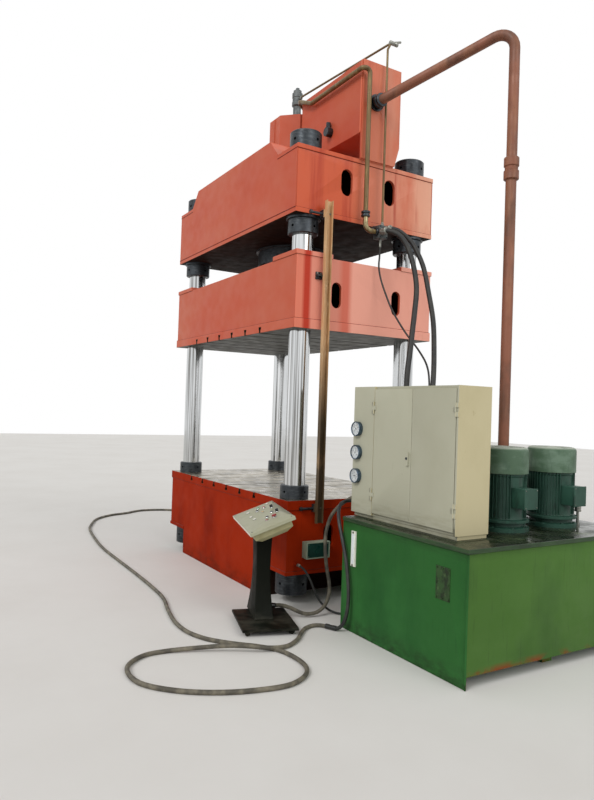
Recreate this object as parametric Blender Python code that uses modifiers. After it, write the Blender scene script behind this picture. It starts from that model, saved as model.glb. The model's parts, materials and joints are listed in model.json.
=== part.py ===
"""Four-column hydraulic press with its power unit and operator's console.

Metres, +Z up. The origin is the middle of the press's footprint on the floor.
-Y is the operator's front, where the table's slots end, and +X is the side on
which the power unit stands.
"""

import math

import bmesh
import bpy
from mathutils import Matrix, Vector

# Clearances, and how far a cutter or a joined shape runs past a face
GAP = 0.0003
RUNNING_GAP = 0.0005
OVERRUN = 0.020
OVERLAP = 0.004
MERGE = 0.0001

# Sides of round shapes
FINE = 24
ROUND = 16
SMALL = 8
HEXAGON = 6
BAR_HOLE_SIDES = 6
ARC_STEPS = 4
BEND_STEPS = 3

# Columns
COLUMN_PITCH_X = 2.376
COLUMN_PITCH_Y = 1.174
COLUMN_D = 0.190
COLUMN_CHAMFER = 0.012

# Base, a welded box with a slotted table plate and an arm at each end, its overhangs from the columns
TABLE_HEIGHT = 0.890
BASE_OVERHANG_X = 0.179
BASE_OVERHANG_Y = 0.1665
FOOT_INSET = 0.228
ARM_BOTTOM = 0.265
TABLE_PLATE = 0.080
FLANGE_PLATE = 0.030
PLATE_LIP = 0.008
WALL = 0.030
COLUMN_SLEEVE_D = 0.230
CENTRE_CELL = 0.600
BASE_HOLE_PITCH = 0.660
BASE_HOLE_WIDTH = 0.100
BASE_HOLE_HEIGHT = 0.220
BASE_HOLE_DROP = 0.3255

# T slots of the table and of the slider
SLOT_COUNT = 6
SLOT_PITCH = 0.300
SLOT_NECK = 0.028
SLOT_NECK_DEPTH = 0.030
SLOT_HEAD = 0.050
SLOT_HEAD_DEPTH = 0.022

# Slider
OPEN_HEIGHT = 1.4585
SLIDER_OVERHANG_X = 0.1835
SLIDER_OVERHANG_Y = 0.165
SLIDER_HEIGHT = 0.6265
SLIDER_PLATE = 0.082
SLIDER_RIB_X = 0.400
SLIDER_END_RIB_INSET = 0.233
PAD_HEIGHT = 0.037
PAD_LENGTH = 0.4165
PAD_DEPTH = 0.372
SLIDER_HOLE_PITCH = 0.660
SLIDER_HOLE_WIDTH = 0.100
SLIDER_HOLE_HEIGHT = 0.225
SLIDER_HOLE_RISE = 0.315

# Crown
CROWN_CLEARANCE = 0.358
CROWN_OVERHANG_X = 0.157
CROWN_OVERHANG_Y = 0.1705
CROWN_HEIGHT = 0.582
CROWN_PLATE = 0.040
CROWN_SHELF = 0.038
CROWN_RIB_X = 0.400
CROWN_END_RIB_INSET = 0.198
CROWN_HOLE_PITCH = 0.477
CROWN_HOLE_WIDTH = 0.120
CROWN_HOLE_HEIGHT = 0.236
CROWN_HOLE_RISE = 0.3445
HOOD_HEIGHT = 0.164
HOOD_SLOPE = 0.150
CYLINDER_SLEEVE_D = 0.580

# Nuts and collars on the columns
UPPER_NUT_D = 0.280
UPPER_NUT_HEIGHT = 0.158
LOWER_NUT_D = 0.267
LOWER_NUT_HEIGHT = 0.130
WASHER_D = 0.300
WASHER_HEIGHT = 0.023
COLLAR_D = 0.250
COLLAR_HEIGHT = 0.115
FOOT_NUT_D = 0.280
FOOT_NUT_HEIGHT = 0.210
NUT_CHAMFER = 0.008
BAR_HOLE_D = 0.026
BAR_HOLE_DEPTH = 0.028
BAR_HOLE_COUNT = 4
BAR_HOLE_ANGLE = math.radians(16)
COLUMN_SET_BACK = 0.012

# Main cylinder, ram and cover
CYLINDER_D = 0.490
CYLINDER_BORE = 0.400
CYLINDER_FLANGE_D = 0.764
CYLINDER_FLANGE = 0.020
GLAND_D = 0.720
GLAND_HEIGHT = 0.153
CYLINDER_HEAD_RISE = 0.521
CYLINDER_HEAD = 0.070
HEAD_PORT_D = 0.050
RAM_D = 0.360
RAM_STROKE_UP = 0.150
PISTON_HEIGHT = 0.120
END_CUSHION = 0.020
COVER_FLATS = 0.527
COVER_HEIGHT = 0.641
COVER_WALL = 0.012
COVER_SEAM = 0.014

# Prefill valve on the cylinder head
VALVE_NECK_D = 0.085
VALVE_NECK_RISE = 0.200
VALVE_BODY_D = 0.112
VALVE_BODY_HEIGHT = 0.140
VALVE_CAP_D = 0.087
VALVE_CAP_HEIGHT = 0.030
VALVE_STEM_D = 0.040
VALVE_STEM_HEIGHT = 0.030
VALVE_FLANGE_D = 0.150
VALVE_FLANGE = 0.022
BRANCH_D = 0.050
BRANCH_REACH = 0.120

# Oil tank on the crown
OIL_TANK_LEFT = 0.315
OIL_TANK_DEPTH = 0.430
OIL_TANK_FRONT = -0.120
OIL_TANK_CLEARANCE = 0.076
OIL_TANK_HEIGHT = 0.655
OIL_TANK_WALL = 0.008
END_PLATE = 0.025
END_PLATE_OVERHANG = 0.025
END_PLATE_TAPER_DEPTH = 0.050
END_PLATE_TAPER_HEIGHT = 0.180
SADDLE_LENGTH = 0.080
DRAIN_D = 0.090
DRAIN_REACH = 0.060
DRAIN_X = 0.865
DRAIN_DROP = 0.500

# Pipes
PRESSURE_PIPE_D = 0.042
PILOT_PIPE_D = 0.020
RETURN_PIPE_D = 0.085
PIPE_BEND = 0.090
PIPE_FLANGE = 0.018
PRESSURE_FLANGE_D = 0.090
RETURN_FLANGE_D = 0.150
RETURN_COUPLING_D = 0.120
RETURN_COUPLING = 0.180
RETURN_PORT_RISE = 0.288
RETURN_PORT_Y = 0.026
RETURN_TOP_RISE = 0.650
RETURN_FOOT_FROM_RIGHT = 0.802
RETURN_FOOT_FROM_FRONT = 1.171
PRESSURE_SET_OFF = 0.126
TEE_D = 0.038
TEE_LENGTH = 0.070
STUB_LENGTH = 0.107

# Manifold under the crown's right edge
MANIFOLD_LENGTH = 0.090
MANIFOLD_DEPTH = 0.090
MANIFOLD_HEIGHT = 0.115
MANIFOLD_OFFSET = 0.030
MANIFOLD_Y = 0.085
MANIFOLD_BRACKET = 0.014
MANIFOLD_BRACKET_REACH = 0.060
HOSE_D = 0.045
SECOND_HOSE_D = 0.042
PILOT_HOSE_D = 0.016
FITTING_D = 0.034
FITTING_HEIGHT = 0.040
HOSE_SPREAD = 0.0225
HOSE_1_RISE = 0.052
HOSE_2_RISE = 0.080

# Limit rail and the trigger that passes it
RAIL_WIDTH = 0.080
RAIL_DEPTH = 0.040
RAIL_OFFSET = 0.060
RAIL_BEHIND_COLUMN = 0.112
RAIL_BELOW_TABLE = 0.190
RAIL_UP_CROWN = 0.117
RAIL_WALL = 0.006
BRACKET_WIDTH = 0.110
BRACKET_HEIGHT = 0.066
TRIGGER_OFFSET = 0.0475
TRIGGER_WIDTH = 0.063
TRIGGER_THICK = 0.012
TRIGGER_REACH = 0.036
TRIGGER_RISE = 0.460
TRIGGER_EYE_D = 0.022

# Ejector cylinder under the table
EJECTOR_D = 0.270
EJECTOR_BORE = 0.160
EJECTOR_LENGTH = 0.610
EJECTOR_END = 0.040
EJECTOR_GLAND = 0.050
EJECTOR_FLANGE_D = 0.340
EJECTOR_FLANGE = 0.030
EJECTOR_ROD_D = 0.120
EJECTOR_PISTON = 0.060
EJECTOR_SET_DOWN = 0.002

# Junction box on the base's right face
JUNCTION_WIDTH = 0.232
JUNCTION_HEIGHT = 0.139
JUNCTION_DEPTH = 0.080
JUNCTION_FROM_FRONT = 0.2755
JUNCTION_RISE_SHARE = 0.350485
JUNCTION_RIM = 0.010

# Power unit: tank and lid, placed from the base's right and front faces
UNIT_DISTANCE = 0.593
UNIT_LENGTH = 1.302
UNIT_SET_BACK = 0.1625
UNIT_DEPTH = 1.741
UNIT_HEIGHT = 0.848
UNIT_CLEARANCE = 0.076
UNIT_LID = 0.030
UNIT_LID_LIP = 0.010
UNIT_WALL = 0.008
SKIRT = 0.012
SKID_WIDTH = 0.100
LEVEL_GAUGE_WIDTH = 0.050
LEVEL_GAUGE_HEIGHT = 0.264
LEVEL_GAUGE_INSET = 0.140
LEVEL_GAUGE_Z = 0.627
LEVEL_GAUGE_DEPTH = 0.014
PATCH_WIDTH = 0.127
PATCH_HEIGHT = 0.210
PATCH_INSET = 0.2105
PATCH_Z = 0.595
PATCH_DEPTH = 0.005
SOCKET_WALL = 0.012
SOCKET_HEIGHT = 0.045
FILLER_D = 0.022
FILLER_HEIGHT = 0.145
FILLER_CAP_D = 0.050
FILLER_CAP_HEIGHT = 0.040
FILLER_FROM_RIGHT = 0.352
FILLER_FROM_BACK = 0.240
HOSE_1_FROM_LEFT = 0.110
HOSE_1_FROM_FRONT = 0.486
HOSE_2_FROM_LEFT = 0.350
HOSE_2_FROM_FRONT = 0.526
PILOT_FROM_LEFT = 0.230
PILOT_FROM_FRONT = 0.621

# Valve cabinet on the power unit
CABINET_OVERHANG = 0.055
CABINET_LENGTH = 1.135
CABINET_BACK_FROM_FRONT = 0.401
CABINET_DEPTH = 0.300
CABINET_HEIGHT = 1.002
CABINET_SHEET = 0.004
CABINET_PLINTH = 0.030
CABINET_PLINTH_SET_BACK = 0.008
GAUGE_STRIP = 0.255
DOOR_THICK = 0.020
DOOR_MARGIN = 0.020
DOOR_REBATE = 0.014
DOOR_SEAM = 0.003
DOOR_HEM = 0.003
KNUCKLE_D = 0.012
KNUCKLE_PROUD = 0.0065
KNUCKLE_HEIGHT = 0.030
KNUCKLE_LEAF = 0.022
KNUCKLE_LEAF_THICK = 0.002
HINGE_INSET_SHARE = 0.15
GAUGE_D = 0.113
GAUGE_REACH = 0.030
GAUGE_RIM = 0.006
GAUGE_FROM_LEFT = 0.064
GAUGE_TOP_RISE = 0.676
GAUGE_PITCH = 0.1815
GAUGE_COUNT = 3
LOCK_WIDTH = 0.024
LOCK_HEIGHT = 0.090
LOCK_REACH = 0.018
LOCK_RISE = 0.489

# Electric motors of the pumps
MOTOR_FROM_RIGHT = 0.462
MOTOR_FROM_FRONT = 0.791
MOTOR_PITCH = 0.530
MOTOR_FLANGE_D = 0.380
MOTOR_FLANGE = 0.082
MOTOR_BODY_D = 0.300
FIN_HEIGHT = 0.020
FIN_COUNT = 20
FIN_SHARE = 0.40
MOTOR_BODY_HEIGHT = 0.320
COWL_D = 0.355
COWL_HEIGHT = 0.220
COWL_WALL = 0.004
COWL_LAP = 0.030
COWL_CORNER = 0.030
COWL_SLOT_COUNT = 8
COWL_RIM = 0.045
SHAFT_D = 0.048
SHAFT_HOUSED = 0.120
SHAFT_PROUD = 0.130
FAN_D = 0.270
FAN_HUB_D = 0.090
FAN_HEIGHT = 0.050
FAN_BLADES = 6
FAN_BLADE_THICK = 0.005
TERMINAL_LENGTH = 0.130
TERMINAL_WIDTH = 0.110
TERMINAL_HEIGHT = 0.140

# Operator's console, placed from the base's right and front faces
CONSOLE_FROM_BASE = 0.137
CONSOLE_BEFORE_BASE = 0.3145
CONSOLE_YAW = math.radians(-16.8)
CONSOLE_TILT = math.radians(21.3)
PANEL_HEIGHT = 0.806
PANEL_WIDTH = 0.823
PANEL_DEPTH = 0.358
PANEL_SHEET = 0.004
PANEL_RIM = 0.026
HOUSING_WIDTH = 0.740
HOUSING_DEPTH = 0.300
HOUSING_HEIGHT = 0.105
HOUSING_FLOOR_WIDTH = 0.640
HOUSING_FLOOR_DEPTH = 0.200
POST_WIDTH_TOP = 0.140
POST_WIDTH_FOOT = 0.290
POST_DEPTH_TOP = 0.150
POST_DEPTH_WAIST = 0.110
POST_DEPTH_FOOT = 0.150
POST_FLARE_HEIGHT = 0.380
POST_SET_RIGHT = 0.042
POST_STEPS = 8
CONSOLE_BASE_WIDTH = 0.520
CONSOLE_BASE_DEPTH = 0.420
CONSOLE_BASE_PLATE = 0.020
CONSOLE_BASE_HEIGHT = 0.055
CONSOLE_BASE_RIGHT = 0.180
CONSOLE_BASE_BACK = 0.010
CASTER_D = 0.044
CASTER_WIDTH = 0.022

# Controls of the console
BEZEL_D = 0.030
BEZEL_HEIGHT = 0.006
BUTTON_D = 0.022
BUTTON_HEIGHT = 0.012
BUTTON_STEM = 0.026
KNOB_D = 0.026
KNOB_HEIGHT = 0.014
KNOB_BAR = 0.008
KNOB_BAR_RISE = 0.008
STOP_D = 0.040
STOP_HEIGHT = 0.014
STOP_NECK_D = 0.022
STOP_TRAVEL = 0.005
STOP_CROWN_SHARE = 0.7
STOP_EDGE_SHARE = 0.15
STOP_SIDE_SHARE = 0.5
LAMP_D = 0.020
LAMP_HEIGHT = 0.008

# Places of the controls, as shares of the panel's width and depth from its middle
BUTTON_SHARES = {
    "button_start": (-0.351, 0.078),
    "button_down": (-0.250, 0.010),
    "button_up": (-0.300, 0.200),
    "button_return": (0.018, 0.230),
    "button_eject": (0.150, 0.060),
}
KNOB_SHARES = {"selector_mode": (-0.181, 0.330), "selector_heat": (0.079, 0.330)}
STOP_SHARES = (0.240, 0.180)
LAMP_SHARES = (
    (-0.328, -0.184), (-0.108, -0.206), (0.033, -0.187), (-0.418, 0.330), (-0.140, 0.092), (0.250, 0.000),
)

# Drain hose fitting at the base's right front corner
DRAIN_FITTING_D = 0.034
DRAIN_FITTING_REACH = 0.040
DRAIN_FITTING_FROM_FRONT = 0.0935
DRAIN_FITTING_UP_ARM = 0.095
DRAIN_HOSE_D = 0.018
DRAIN_HOSE_FROM_FRONT = 0.276
DRAIN_HOSE_Z = 0.110

# Cords on the floor and between the press, the power unit and the console
FLOOR_CABLE_D = 0.030
FLOOR_CABLE_Y = 0.300
FLOOR_CABLE_Z = 0.060
FLOOR_CABLE_TO_UNIT = 0.025
FLOOR_CABLE_BEFORE_UNIT = 0.109
CABLE_ON_FLOOR_Z = 0.0155
SUPPLY_CABLE_D = 0.028
SUPPLY_FROM_BACK = 0.188
SUPPLY_UP_CABINET = 0.092
CONSOLE_CABLE_D = 0.030
CONSOLE_CABLE_FROM_BACK = 0.110
CONSOLE_CABLE_UP_CABINET = 0.152
CONSOLE_CABLE_X = 0.0612
CONSOLE_CABLE_Y = 0.0573
CONSOLE_CABLE_Z = 0.110

# Spacing of a cord's points, in shares of its diameter
HOSE_SPACING_SHARE = 3
PILOT_SPACING_SHARE = 8
DRAIN_SPACING_SHARE = 4
FLOOR_SPACING_SHARE = 7
CABLE_SPACING_SHARE = 2.5

# Routes of the cords, chosen by hand
HOSE_1_ROUTE = (
    (1.4653, 0.0625, 3.262), (1.500, 0.0625, 3.262), (1.548, 0.083, 3.258), (1.594, 0.125, 3.235),
    (1.632, 0.170, 3.183), (1.672, 0.205, 3.088), (1.740, 0.215, 2.912), (1.820, 0.181, 2.720),
    (1.895, 0.103, 2.502), (1.950, 0.038, 2.330), (2.005, -0.027, 2.160), (2.042, -0.080, 1.963),
    (2.062, -0.100, 1.700), (2.068, -0.105, 1.400), (2.070, -0.105, 1.150), (2.070, -0.105, 0.8933),
)
HOSE_2_ROUTE = (
    (1.4653, 0.1075, 3.290), (1.495, 0.1075, 3.290), (1.532, 0.140, 3.289), (1.567, 0.199, 3.262),
    (1.600, 0.252, 3.210), (1.645, 0.286, 3.140), (1.760, 0.300, 2.939), (1.880, 0.268, 2.678),
    (2.000, 0.217, 2.425), (2.150, 0.099, 2.161), (2.260, 0.000, 1.936), (2.300, -0.050, 1.700),
    (2.308, -0.065, 1.400), (2.310, -0.065, 1.150), (2.310, -0.065, 0.8933),
)
PILOT_HOSE_ROUTE = (
    (1.420, 0.085, 3.2097), (1.420, 0.085, 3.150), (1.420, 0.083, 3.050), (1.426, 0.075, 2.957),
    (1.450, 0.085, 2.840), (1.515, 0.099, 2.690), (1.600, 0.110, 2.542), (1.750, 0.128, 2.353),
    (1.950, 0.120, 2.174), (2.100, 0.080, 2.030), (2.175, 0.040, 1.850), (2.190, 0.030, 1.600),
    (2.190, 0.030, 1.200), (2.190, 0.030, 0.8933),
)
FLOOR_CABLE_ROUTE = (
    (-0.9603, 0.300, 0.060), (-1.060, 0.300, 0.060), (-1.180, 0.303, 0.046), (-1.320, 0.322, 0.024),
    (-1.550, 0.362, 0.0158), (-1.900, 0.420, 0.0155), (-2.700, 0.480, 0.0155), (-3.400, 0.420, 0.0155),
    (-3.840, 0.160, 0.0155), (-3.940, -0.245, 0.0155), (-3.760, -0.560, 0.0155), (-3.640, -0.828, 0.0155),
    (-3.380, -1.090, 0.0155), (-2.935, -1.282, 0.0155), (-2.581, -1.382, 0.0155), (-1.916, -1.473, 0.0155),
    (-1.384, -1.518, 0.0155), (-0.798, -1.526, 0.0155), (-0.198, -1.531, 0.0155), (0.351, -1.545, 0.0155),
    (0.721, -1.573, 0.0155), (1.057, -1.651, 0.0155), (1.363, -1.707, 0.0155), (1.589, -1.707, 0.0155),
    (1.750, -1.665, 0.0155), (1.857, -1.606, 0.0155), (1.977, -1.503, 0.0155), (2.113, -1.362, 0.0155),
    (2.251, -1.275, 0.0155), (2.469, -1.256, 0.0155), (2.620, -1.308, 0.0155), (2.722, -1.433, 0.0155),
    (2.748, -1.591, 0.0155), (2.682, -1.871, 0.0155), (2.540, -2.120, 0.0155), (2.330, -2.290, 0.0155),
    (2.080, -2.290, 0.0155), (1.930, -2.150, 0.0155), (1.910, -1.980, 0.016), (1.986, -1.764, 0.031),
    (2.075, -1.600, 0.047), (2.144, -1.480, 0.047), (2.190, -1.340, 0.030), (2.180, -1.200, 0.0165),
    (2.105, -1.075, 0.0156), (2.000, -0.975, 0.0155), (1.915, -0.890, 0.0155), (1.880, -0.800, 0.0155),
    (1.905, -0.735, 0.0155), (1.950, -0.7159, 0.0155), (1.985, -0.700, 0.0155),
)
SUPPLY_CABLE_ROUTE = (
    (1.9853, -0.6998, 0.0155), (2.020, -0.684, 0.0155), (2.062, -0.666, 0.042), (2.092, -0.650, 0.098),
    (2.103, -0.638, 0.180), (2.100, -0.630, 0.280), (2.086, -0.628, 0.380), (2.062, -0.628, 0.490),
    (2.027, -0.628, 0.600), (1.983, -0.627, 0.705), (1.930, -0.617, 0.795), (1.870, -0.585, 0.868),
    (1.818, -0.535, 0.914), (1.789, -0.480, 0.933), (1.790, -0.430, 0.939), (1.816, -0.393, 0.940),
    (1.855, -0.378, 0.940), (1.9047, -0.378, 0.940),
)
CONSOLE_CABLE_ROUTE = (
    (1.9047, -0.300, 1.000), (1.870, -0.300, 1.000), (1.823, -0.309, 0.996), (1.772, -0.336, 0.978),
    (1.712, -0.378, 0.938), (1.635, -0.418, 0.872), (1.560, -0.445, 0.778), (1.516, -0.458, 0.645),
    (1.512, -0.460, 0.500), (1.560, -0.470, 0.350), (1.630, -0.485, 0.215), (1.665, -0.530, 0.110),
    (1.675, -0.610, 0.045), (1.660, -0.700, 0.030), (1.640, -0.765, 0.045), (1.615, -0.845, 0.085),
    (1.595, -0.912, 0.107), (1.5805, -0.960, 0.110), (1.5652, -1.0107, 0.110),
)
DRAIN_HOSE_ROUTE = (
    (1.3993, -0.660, 0.360), (1.430, -0.660, 0.360), (1.480, -0.650, 0.345), (1.520, -0.632, 0.305),
    (1.548, -0.610, 0.245), (1.568, -0.588, 0.175), (1.592, -0.560, 0.110), (1.625, -0.522, 0.057),
    (1.664, -0.478, 0.024), (1.705, -0.435, 0.0125), (1.748, -0.393, 0.0165), (1.788, -0.358, 0.036),
    (1.832, -0.330, 0.068), (1.880, -0.317, 0.098), (1.925, -0.315, 0.110), (1.9597, -0.315, 0.110),
)

# Places worked out from the sizes above
column_x = COLUMN_PITCH_X / 2
column_y = COLUMN_PITCH_Y / 2
column_r = COLUMN_D / 2
base_x = column_x + BASE_OVERHANG_X
base_y = column_y + BASE_OVERHANG_Y
foot_x = column_x - FOOT_INSET
arm_top = ARM_BOTTOM + FLANGE_PLATE
base_hole_z = TABLE_HEIGHT - BASE_HOLE_DROP
slider_bottom = TABLE_HEIGHT + OPEN_HEIGHT
slider_top = slider_bottom + SLIDER_HEIGHT
slider_x = column_x + SLIDER_OVERHANG_X
slider_y = column_y + SLIDER_OVERHANG_Y
slider_end_rib_x = column_x - SLIDER_END_RIB_INSET
crown_bottom = slider_top + CROWN_CLEARANCE
crown_shelf_top = crown_bottom + CROWN_HEIGHT
crown_top = crown_shelf_top + HOOD_HEIGHT
crown_x = column_x + CROWN_OVERHANG_X
crown_y = column_y + CROWN_OVERHANG_Y
crown_end_rib_x = column_x - CROWN_END_RIB_INSET
head_top = crown_top + CYLINDER_HEAD_RISE
head_bottom = head_top - CYLINDER_HEAD
cover_bottom = crown_top + GAP
cover_top = crown_top + COVER_HEIGHT
oil_tank_bottom = crown_top + OIL_TANK_CLEARANCE
oil_tank_top = oil_tank_bottom + OIL_TANK_HEIGHT
oil_tank_right = crown_x + END_PLATE_OVERHANG
oil_tank_back = OIL_TANK_FRONT + OIL_TANK_DEPTH
manifold_left = crown_x + MANIFOLD_OFFSET
manifold_right = manifold_left + MANIFOLD_LENGTH
manifold_top = crown_bottom - PLATE_LIP
manifold_bottom = manifold_top - MANIFOLD_HEIGHT
rail_y = -column_y + RAIL_BEHIND_COLUMN
trigger_y = rail_y - TRIGGER_OFFSET
junction_y = -base_y + JUNCTION_FROM_FRONT
junction_z = arm_top + JUNCTION_RISE_SHARE * (TABLE_HEIGHT - TABLE_PLATE - arm_top)
drain_fitting_y = -base_y + DRAIN_FITTING_FROM_FRONT
drain_fitting_z = ARM_BOTTOM + DRAIN_FITTING_UP_ARM
unit_left = base_x + UNIT_DISTANCE
unit_right = unit_left + UNIT_LENGTH
unit_front = -base_y + UNIT_SET_BACK
unit_back = unit_front + UNIT_DEPTH
return_foot_x = unit_right - RETURN_FOOT_FROM_RIGHT
return_foot_y = unit_front + RETURN_FOOT_FROM_FRONT
lid_bottom = UNIT_HEIGHT - UNIT_LID
cabinet_left = unit_left - CABINET_OVERHANG
cabinet_right = cabinet_left + CABINET_LENGTH
cabinet_back = unit_front + CABINET_BACK_FROM_FRONT
cabinet_front = cabinet_back - CABINET_DEPTH
cabinet_bottom = UNIT_HEIGHT + GAP
cabinet_top = UNIT_HEIGHT + CABINET_HEIGHT
motor_x = unit_right - MOTOR_FROM_RIGHT
motor_front_y = unit_front + MOTOR_FROM_FRONT
console_x = base_x + CONSOLE_FROM_BASE
console_y = -base_y - CONSOLE_BEFORE_BASE

# Ends of the cords
socket_top = UNIT_HEIGHT + SOCKET_HEIGHT + GAP
hose_face = manifold_right + GAP
hose_1_start = (hose_face, MANIFOLD_Y - HOSE_SPREAD, manifold_bottom + HOSE_1_RISE)
hose_2_start = (hose_face, MANIFOLD_Y + HOSE_SPREAD, manifold_bottom + HOSE_2_RISE)
pilot_hose_start = (manifold_left + MANIFOLD_LENGTH / 2, MANIFOLD_Y, manifold_bottom - GAP)
hose_1_end = (unit_left + HOSE_1_FROM_LEFT, unit_front + HOSE_1_FROM_FRONT, socket_top)
hose_2_end = (unit_left + HOSE_2_FROM_LEFT, unit_front + HOSE_2_FROM_FRONT, socket_top)
pilot_hose_end = (unit_left + PILOT_FROM_LEFT, unit_front + PILOT_FROM_FRONT, socket_top)
floor_cable_start = (-foot_x - GAP, FLOOR_CABLE_Y, FLOOR_CABLE_Z)
floor_cable_end = (unit_left + FLOOR_CABLE_TO_UNIT, unit_front - FLOOR_CABLE_BEFORE_UNIT, CABLE_ON_FLOOR_Z)
supply_cable_start = (floor_cable_end[0] + GAP, floor_cable_end[1] + GAP / 2, CABLE_ON_FLOOR_Z)
supply_cable_end = (cabinet_left - GAP, cabinet_back - SUPPLY_FROM_BACK, UNIT_HEIGHT + SUPPLY_UP_CABINET)
console_cable_start = (
    cabinet_left - GAP, cabinet_back - CONSOLE_CABLE_FROM_BACK, UNIT_HEIGHT + CONSOLE_CABLE_UP_CABINET
)
console_cable_end = (console_x + CONSOLE_CABLE_X, console_y + CONSOLE_CABLE_Y, CONSOLE_CABLE_Z)
drain_hose_start = (base_x - PLATE_LIP + DRAIN_FITTING_REACH + GAP, drain_fitting_y, drain_fitting_z)
drain_hose_end = (unit_left - GAP, unit_front + DRAIN_HOSE_FROM_FRONT, DRAIN_HOSE_Z)

# Paint, metal, rubber and glass colours: red, green, blue, then roughness and metallic
FINISHES = {
    "crown_red": ((0.52, 0.09, 0.05), 0.45, 0),
    "base_red": ((0.45, 0.03, 0.01), 0.45, 0),
    "chrome": ((0.75, 0.76, 0.78), 0.12, 1),
    "dark_steel": ((0.05, 0.055, 0.06), 0.45, 1),
    "pipe_brown": ((0.13, 0.075, 0.035), 0.40, 1),
    "rubber": ((0.01, 0.01, 0.01), 0.60, 0),
    "cable_sheath": ((0.07, 0.05, 0.035), 0.60, 0),
    "unit_green": ((0.02, 0.10, 0.05), 0.45, 0),
    "cabinet_cream": ((0.58, 0.55, 0.45), 0.50, 0),
    "motor_green": ((0.015, 0.05, 0.055), 0.45, 0),
    "console_cream": ((0.62, 0.60, 0.48), 0.45, 0),
    "post_charcoal": ((0.02, 0.022, 0.022), 0.50, 0),
    "button_green": ((0.02, 0.22, 0.06), 0.35, 0),
    "button_red": ((0.45, 0.02, 0.02), 0.35, 0),
    "button_black": ((0.01, 0.01, 0.01), 0.35, 0),
}


def clear_scene():
    """Remove the objects that the file starts with."""
    for item in list(bpy.data.objects):
        bpy.data.objects.remove(item, do_unlink=True)


def add_collection(name):
    """A new collection in the scene."""
    group = bpy.data.collections.new(name)
    bpy.context.scene.collection.children.link(group)
    return group


clear_scene()
PRESS = add_collection("hydraulic_press")
TOOLS = add_collection("cutters_and_joined_shapes")
materials = {}


def finish_material(name):
    """The Principled material of one finish, made on its first use."""
    if name not in materials:
        colour, roughness, metallic = FINISHES[name]
        material = bpy.data.materials.new(name)
        material.use_nodes = True
        shader = material.node_tree.nodes["Principled BSDF"]
        shader.inputs["Base Color"].default_value = (*colour, 1)
        shader.inputs["Roughness"].default_value = roughness
        shader.inputs["Metallic"].default_value = metallic
        materials[name] = material
    return materials[name]


def add_object(name, data, finish=None):
    """Put a mesh or a curve in the press, or among the tools where it has no finish."""
    item = bpy.data.objects.new(name, data)
    if finish:
        PRESS.objects.link(item)
        data.materials.append(finish_material(finish))
    else:
        TOOLS.objects.link(item)
        item.hide_render = True
        item.display_type = "WIRE"
    return item


def box(name, low, high, finish=None):
    """A block between two corners."""
    size = [b - a for a, b in zip(low, high)]
    mesh = bpy.data.meshes.new(name)
    shape = bmesh.new()
    bmesh.ops.create_cube(shape, size=1, matrix=Matrix.Diagonal((*size, 1)))
    shape.to_mesh(mesh)
    shape.free()
    item = add_object(name, mesh, finish)
    item.location = [(a + b) / 2 for a, b in zip(low, high)]
    return item


def rod(name, radius, start, end, sides=ROUND, finish=None):
    """A plain cylinder between two points."""
    start, end = Vector(start), Vector(end)
    mesh = bpy.data.meshes.new(name)
    shape = bmesh.new()
    bmesh.ops.create_cone(
        shape, cap_ends=True, segments=sides, radius1=radius, radius2=radius, depth=(end - start).length
    )
    shape.to_mesh(mesh)
    shape.free()
    mesh.shade_smooth()
    mesh.set_sharp_from_angle(angle=math.radians(40))
    item = add_object(name, mesh, finish)
    item.location = (start + end) / 2
    item.rotation_mode = "QUATERNION"
    item.rotation_quaternion = (end - start).to_track_quat("Z", "Y")
    return item


def turned(name, profile, sides=ROUND, finish=None, ring=False, at=(0, 0, 0)):
    """A shape turned about Z from (radius, height) points that run down its outer side."""
    points = [(radius, 0, height) for radius, height in profile]
    edges = [(index, index + 1) for index in range(len(points) - 1)]
    if ring:
        edges.append((len(points) - 1, 0))
    mesh = bpy.data.meshes.new(name)
    mesh.from_pydata(points, edges, [])
    item = add_object(name, mesh, finish)
    item.location = at
    screw = item.modifiers.new("turn", "SCREW")
    screw.steps = sides
    screw.render_steps = sides
    screw.use_merge_vertices = True
    screw.merge_threshold = MERGE
    return item


def welded_mesh(curve_object):
    """The mesh of a curve object, with its caps welded on."""
    bpy.context.view_layer.update()
    graph = bpy.context.evaluated_depsgraph_get()
    mesh = bpy.data.meshes.new_from_object(curve_object.evaluated_get(graph))
    shape = bmesh.new()
    shape.from_mesh(mesh)
    bmesh.ops.remove_doubles(shape, verts=shape.verts, dist=MERGE)
    bmesh.ops.recalc_face_normals(shape, faces=shape.faces)
    shape.to_mesh(mesh)
    shape.free()
    return mesh


def slab(name, outline, thickness, facing, middle=(0, 0, 0), finish=None):
    """A flat outline made thick, half to each side of its plane.

    The outline's points are (x, z) where it faces Y, (y, z) where it faces X
    and (x, y) where it faces Z.
    """
    curve = bpy.data.curves.new(name, "CURVE")
    curve.dimensions = "2D"
    curve.fill_mode = "BOTH"
    curve.extrude = thickness / 2
    spline = curve.splines.new("POLY")
    spline.points.add(len(outline) - 1)
    for point, (across, along) in zip(spline.points, outline):
        point.co = (across, along, 0, 1)
    spline.use_cyclic_u = True
    guide = bpy.data.objects.new(name, curve)
    TOOLS.objects.link(guide)
    mesh = welded_mesh(guide)
    bpy.data.objects.remove(guide)
    turns = {
        "X": Matrix(((0, 0, 1), (1, 0, 0), (0, 1, 0))),
        "Y": Matrix(((1, 0, 0), (0, 0, -1), (0, 1, 0))),
        "Z": Matrix.Identity(3),
    }
    mesh.transform(turns[facing].to_4x4())
    item = add_object(name, mesh, finish)
    item.location = middle
    return item


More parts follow.
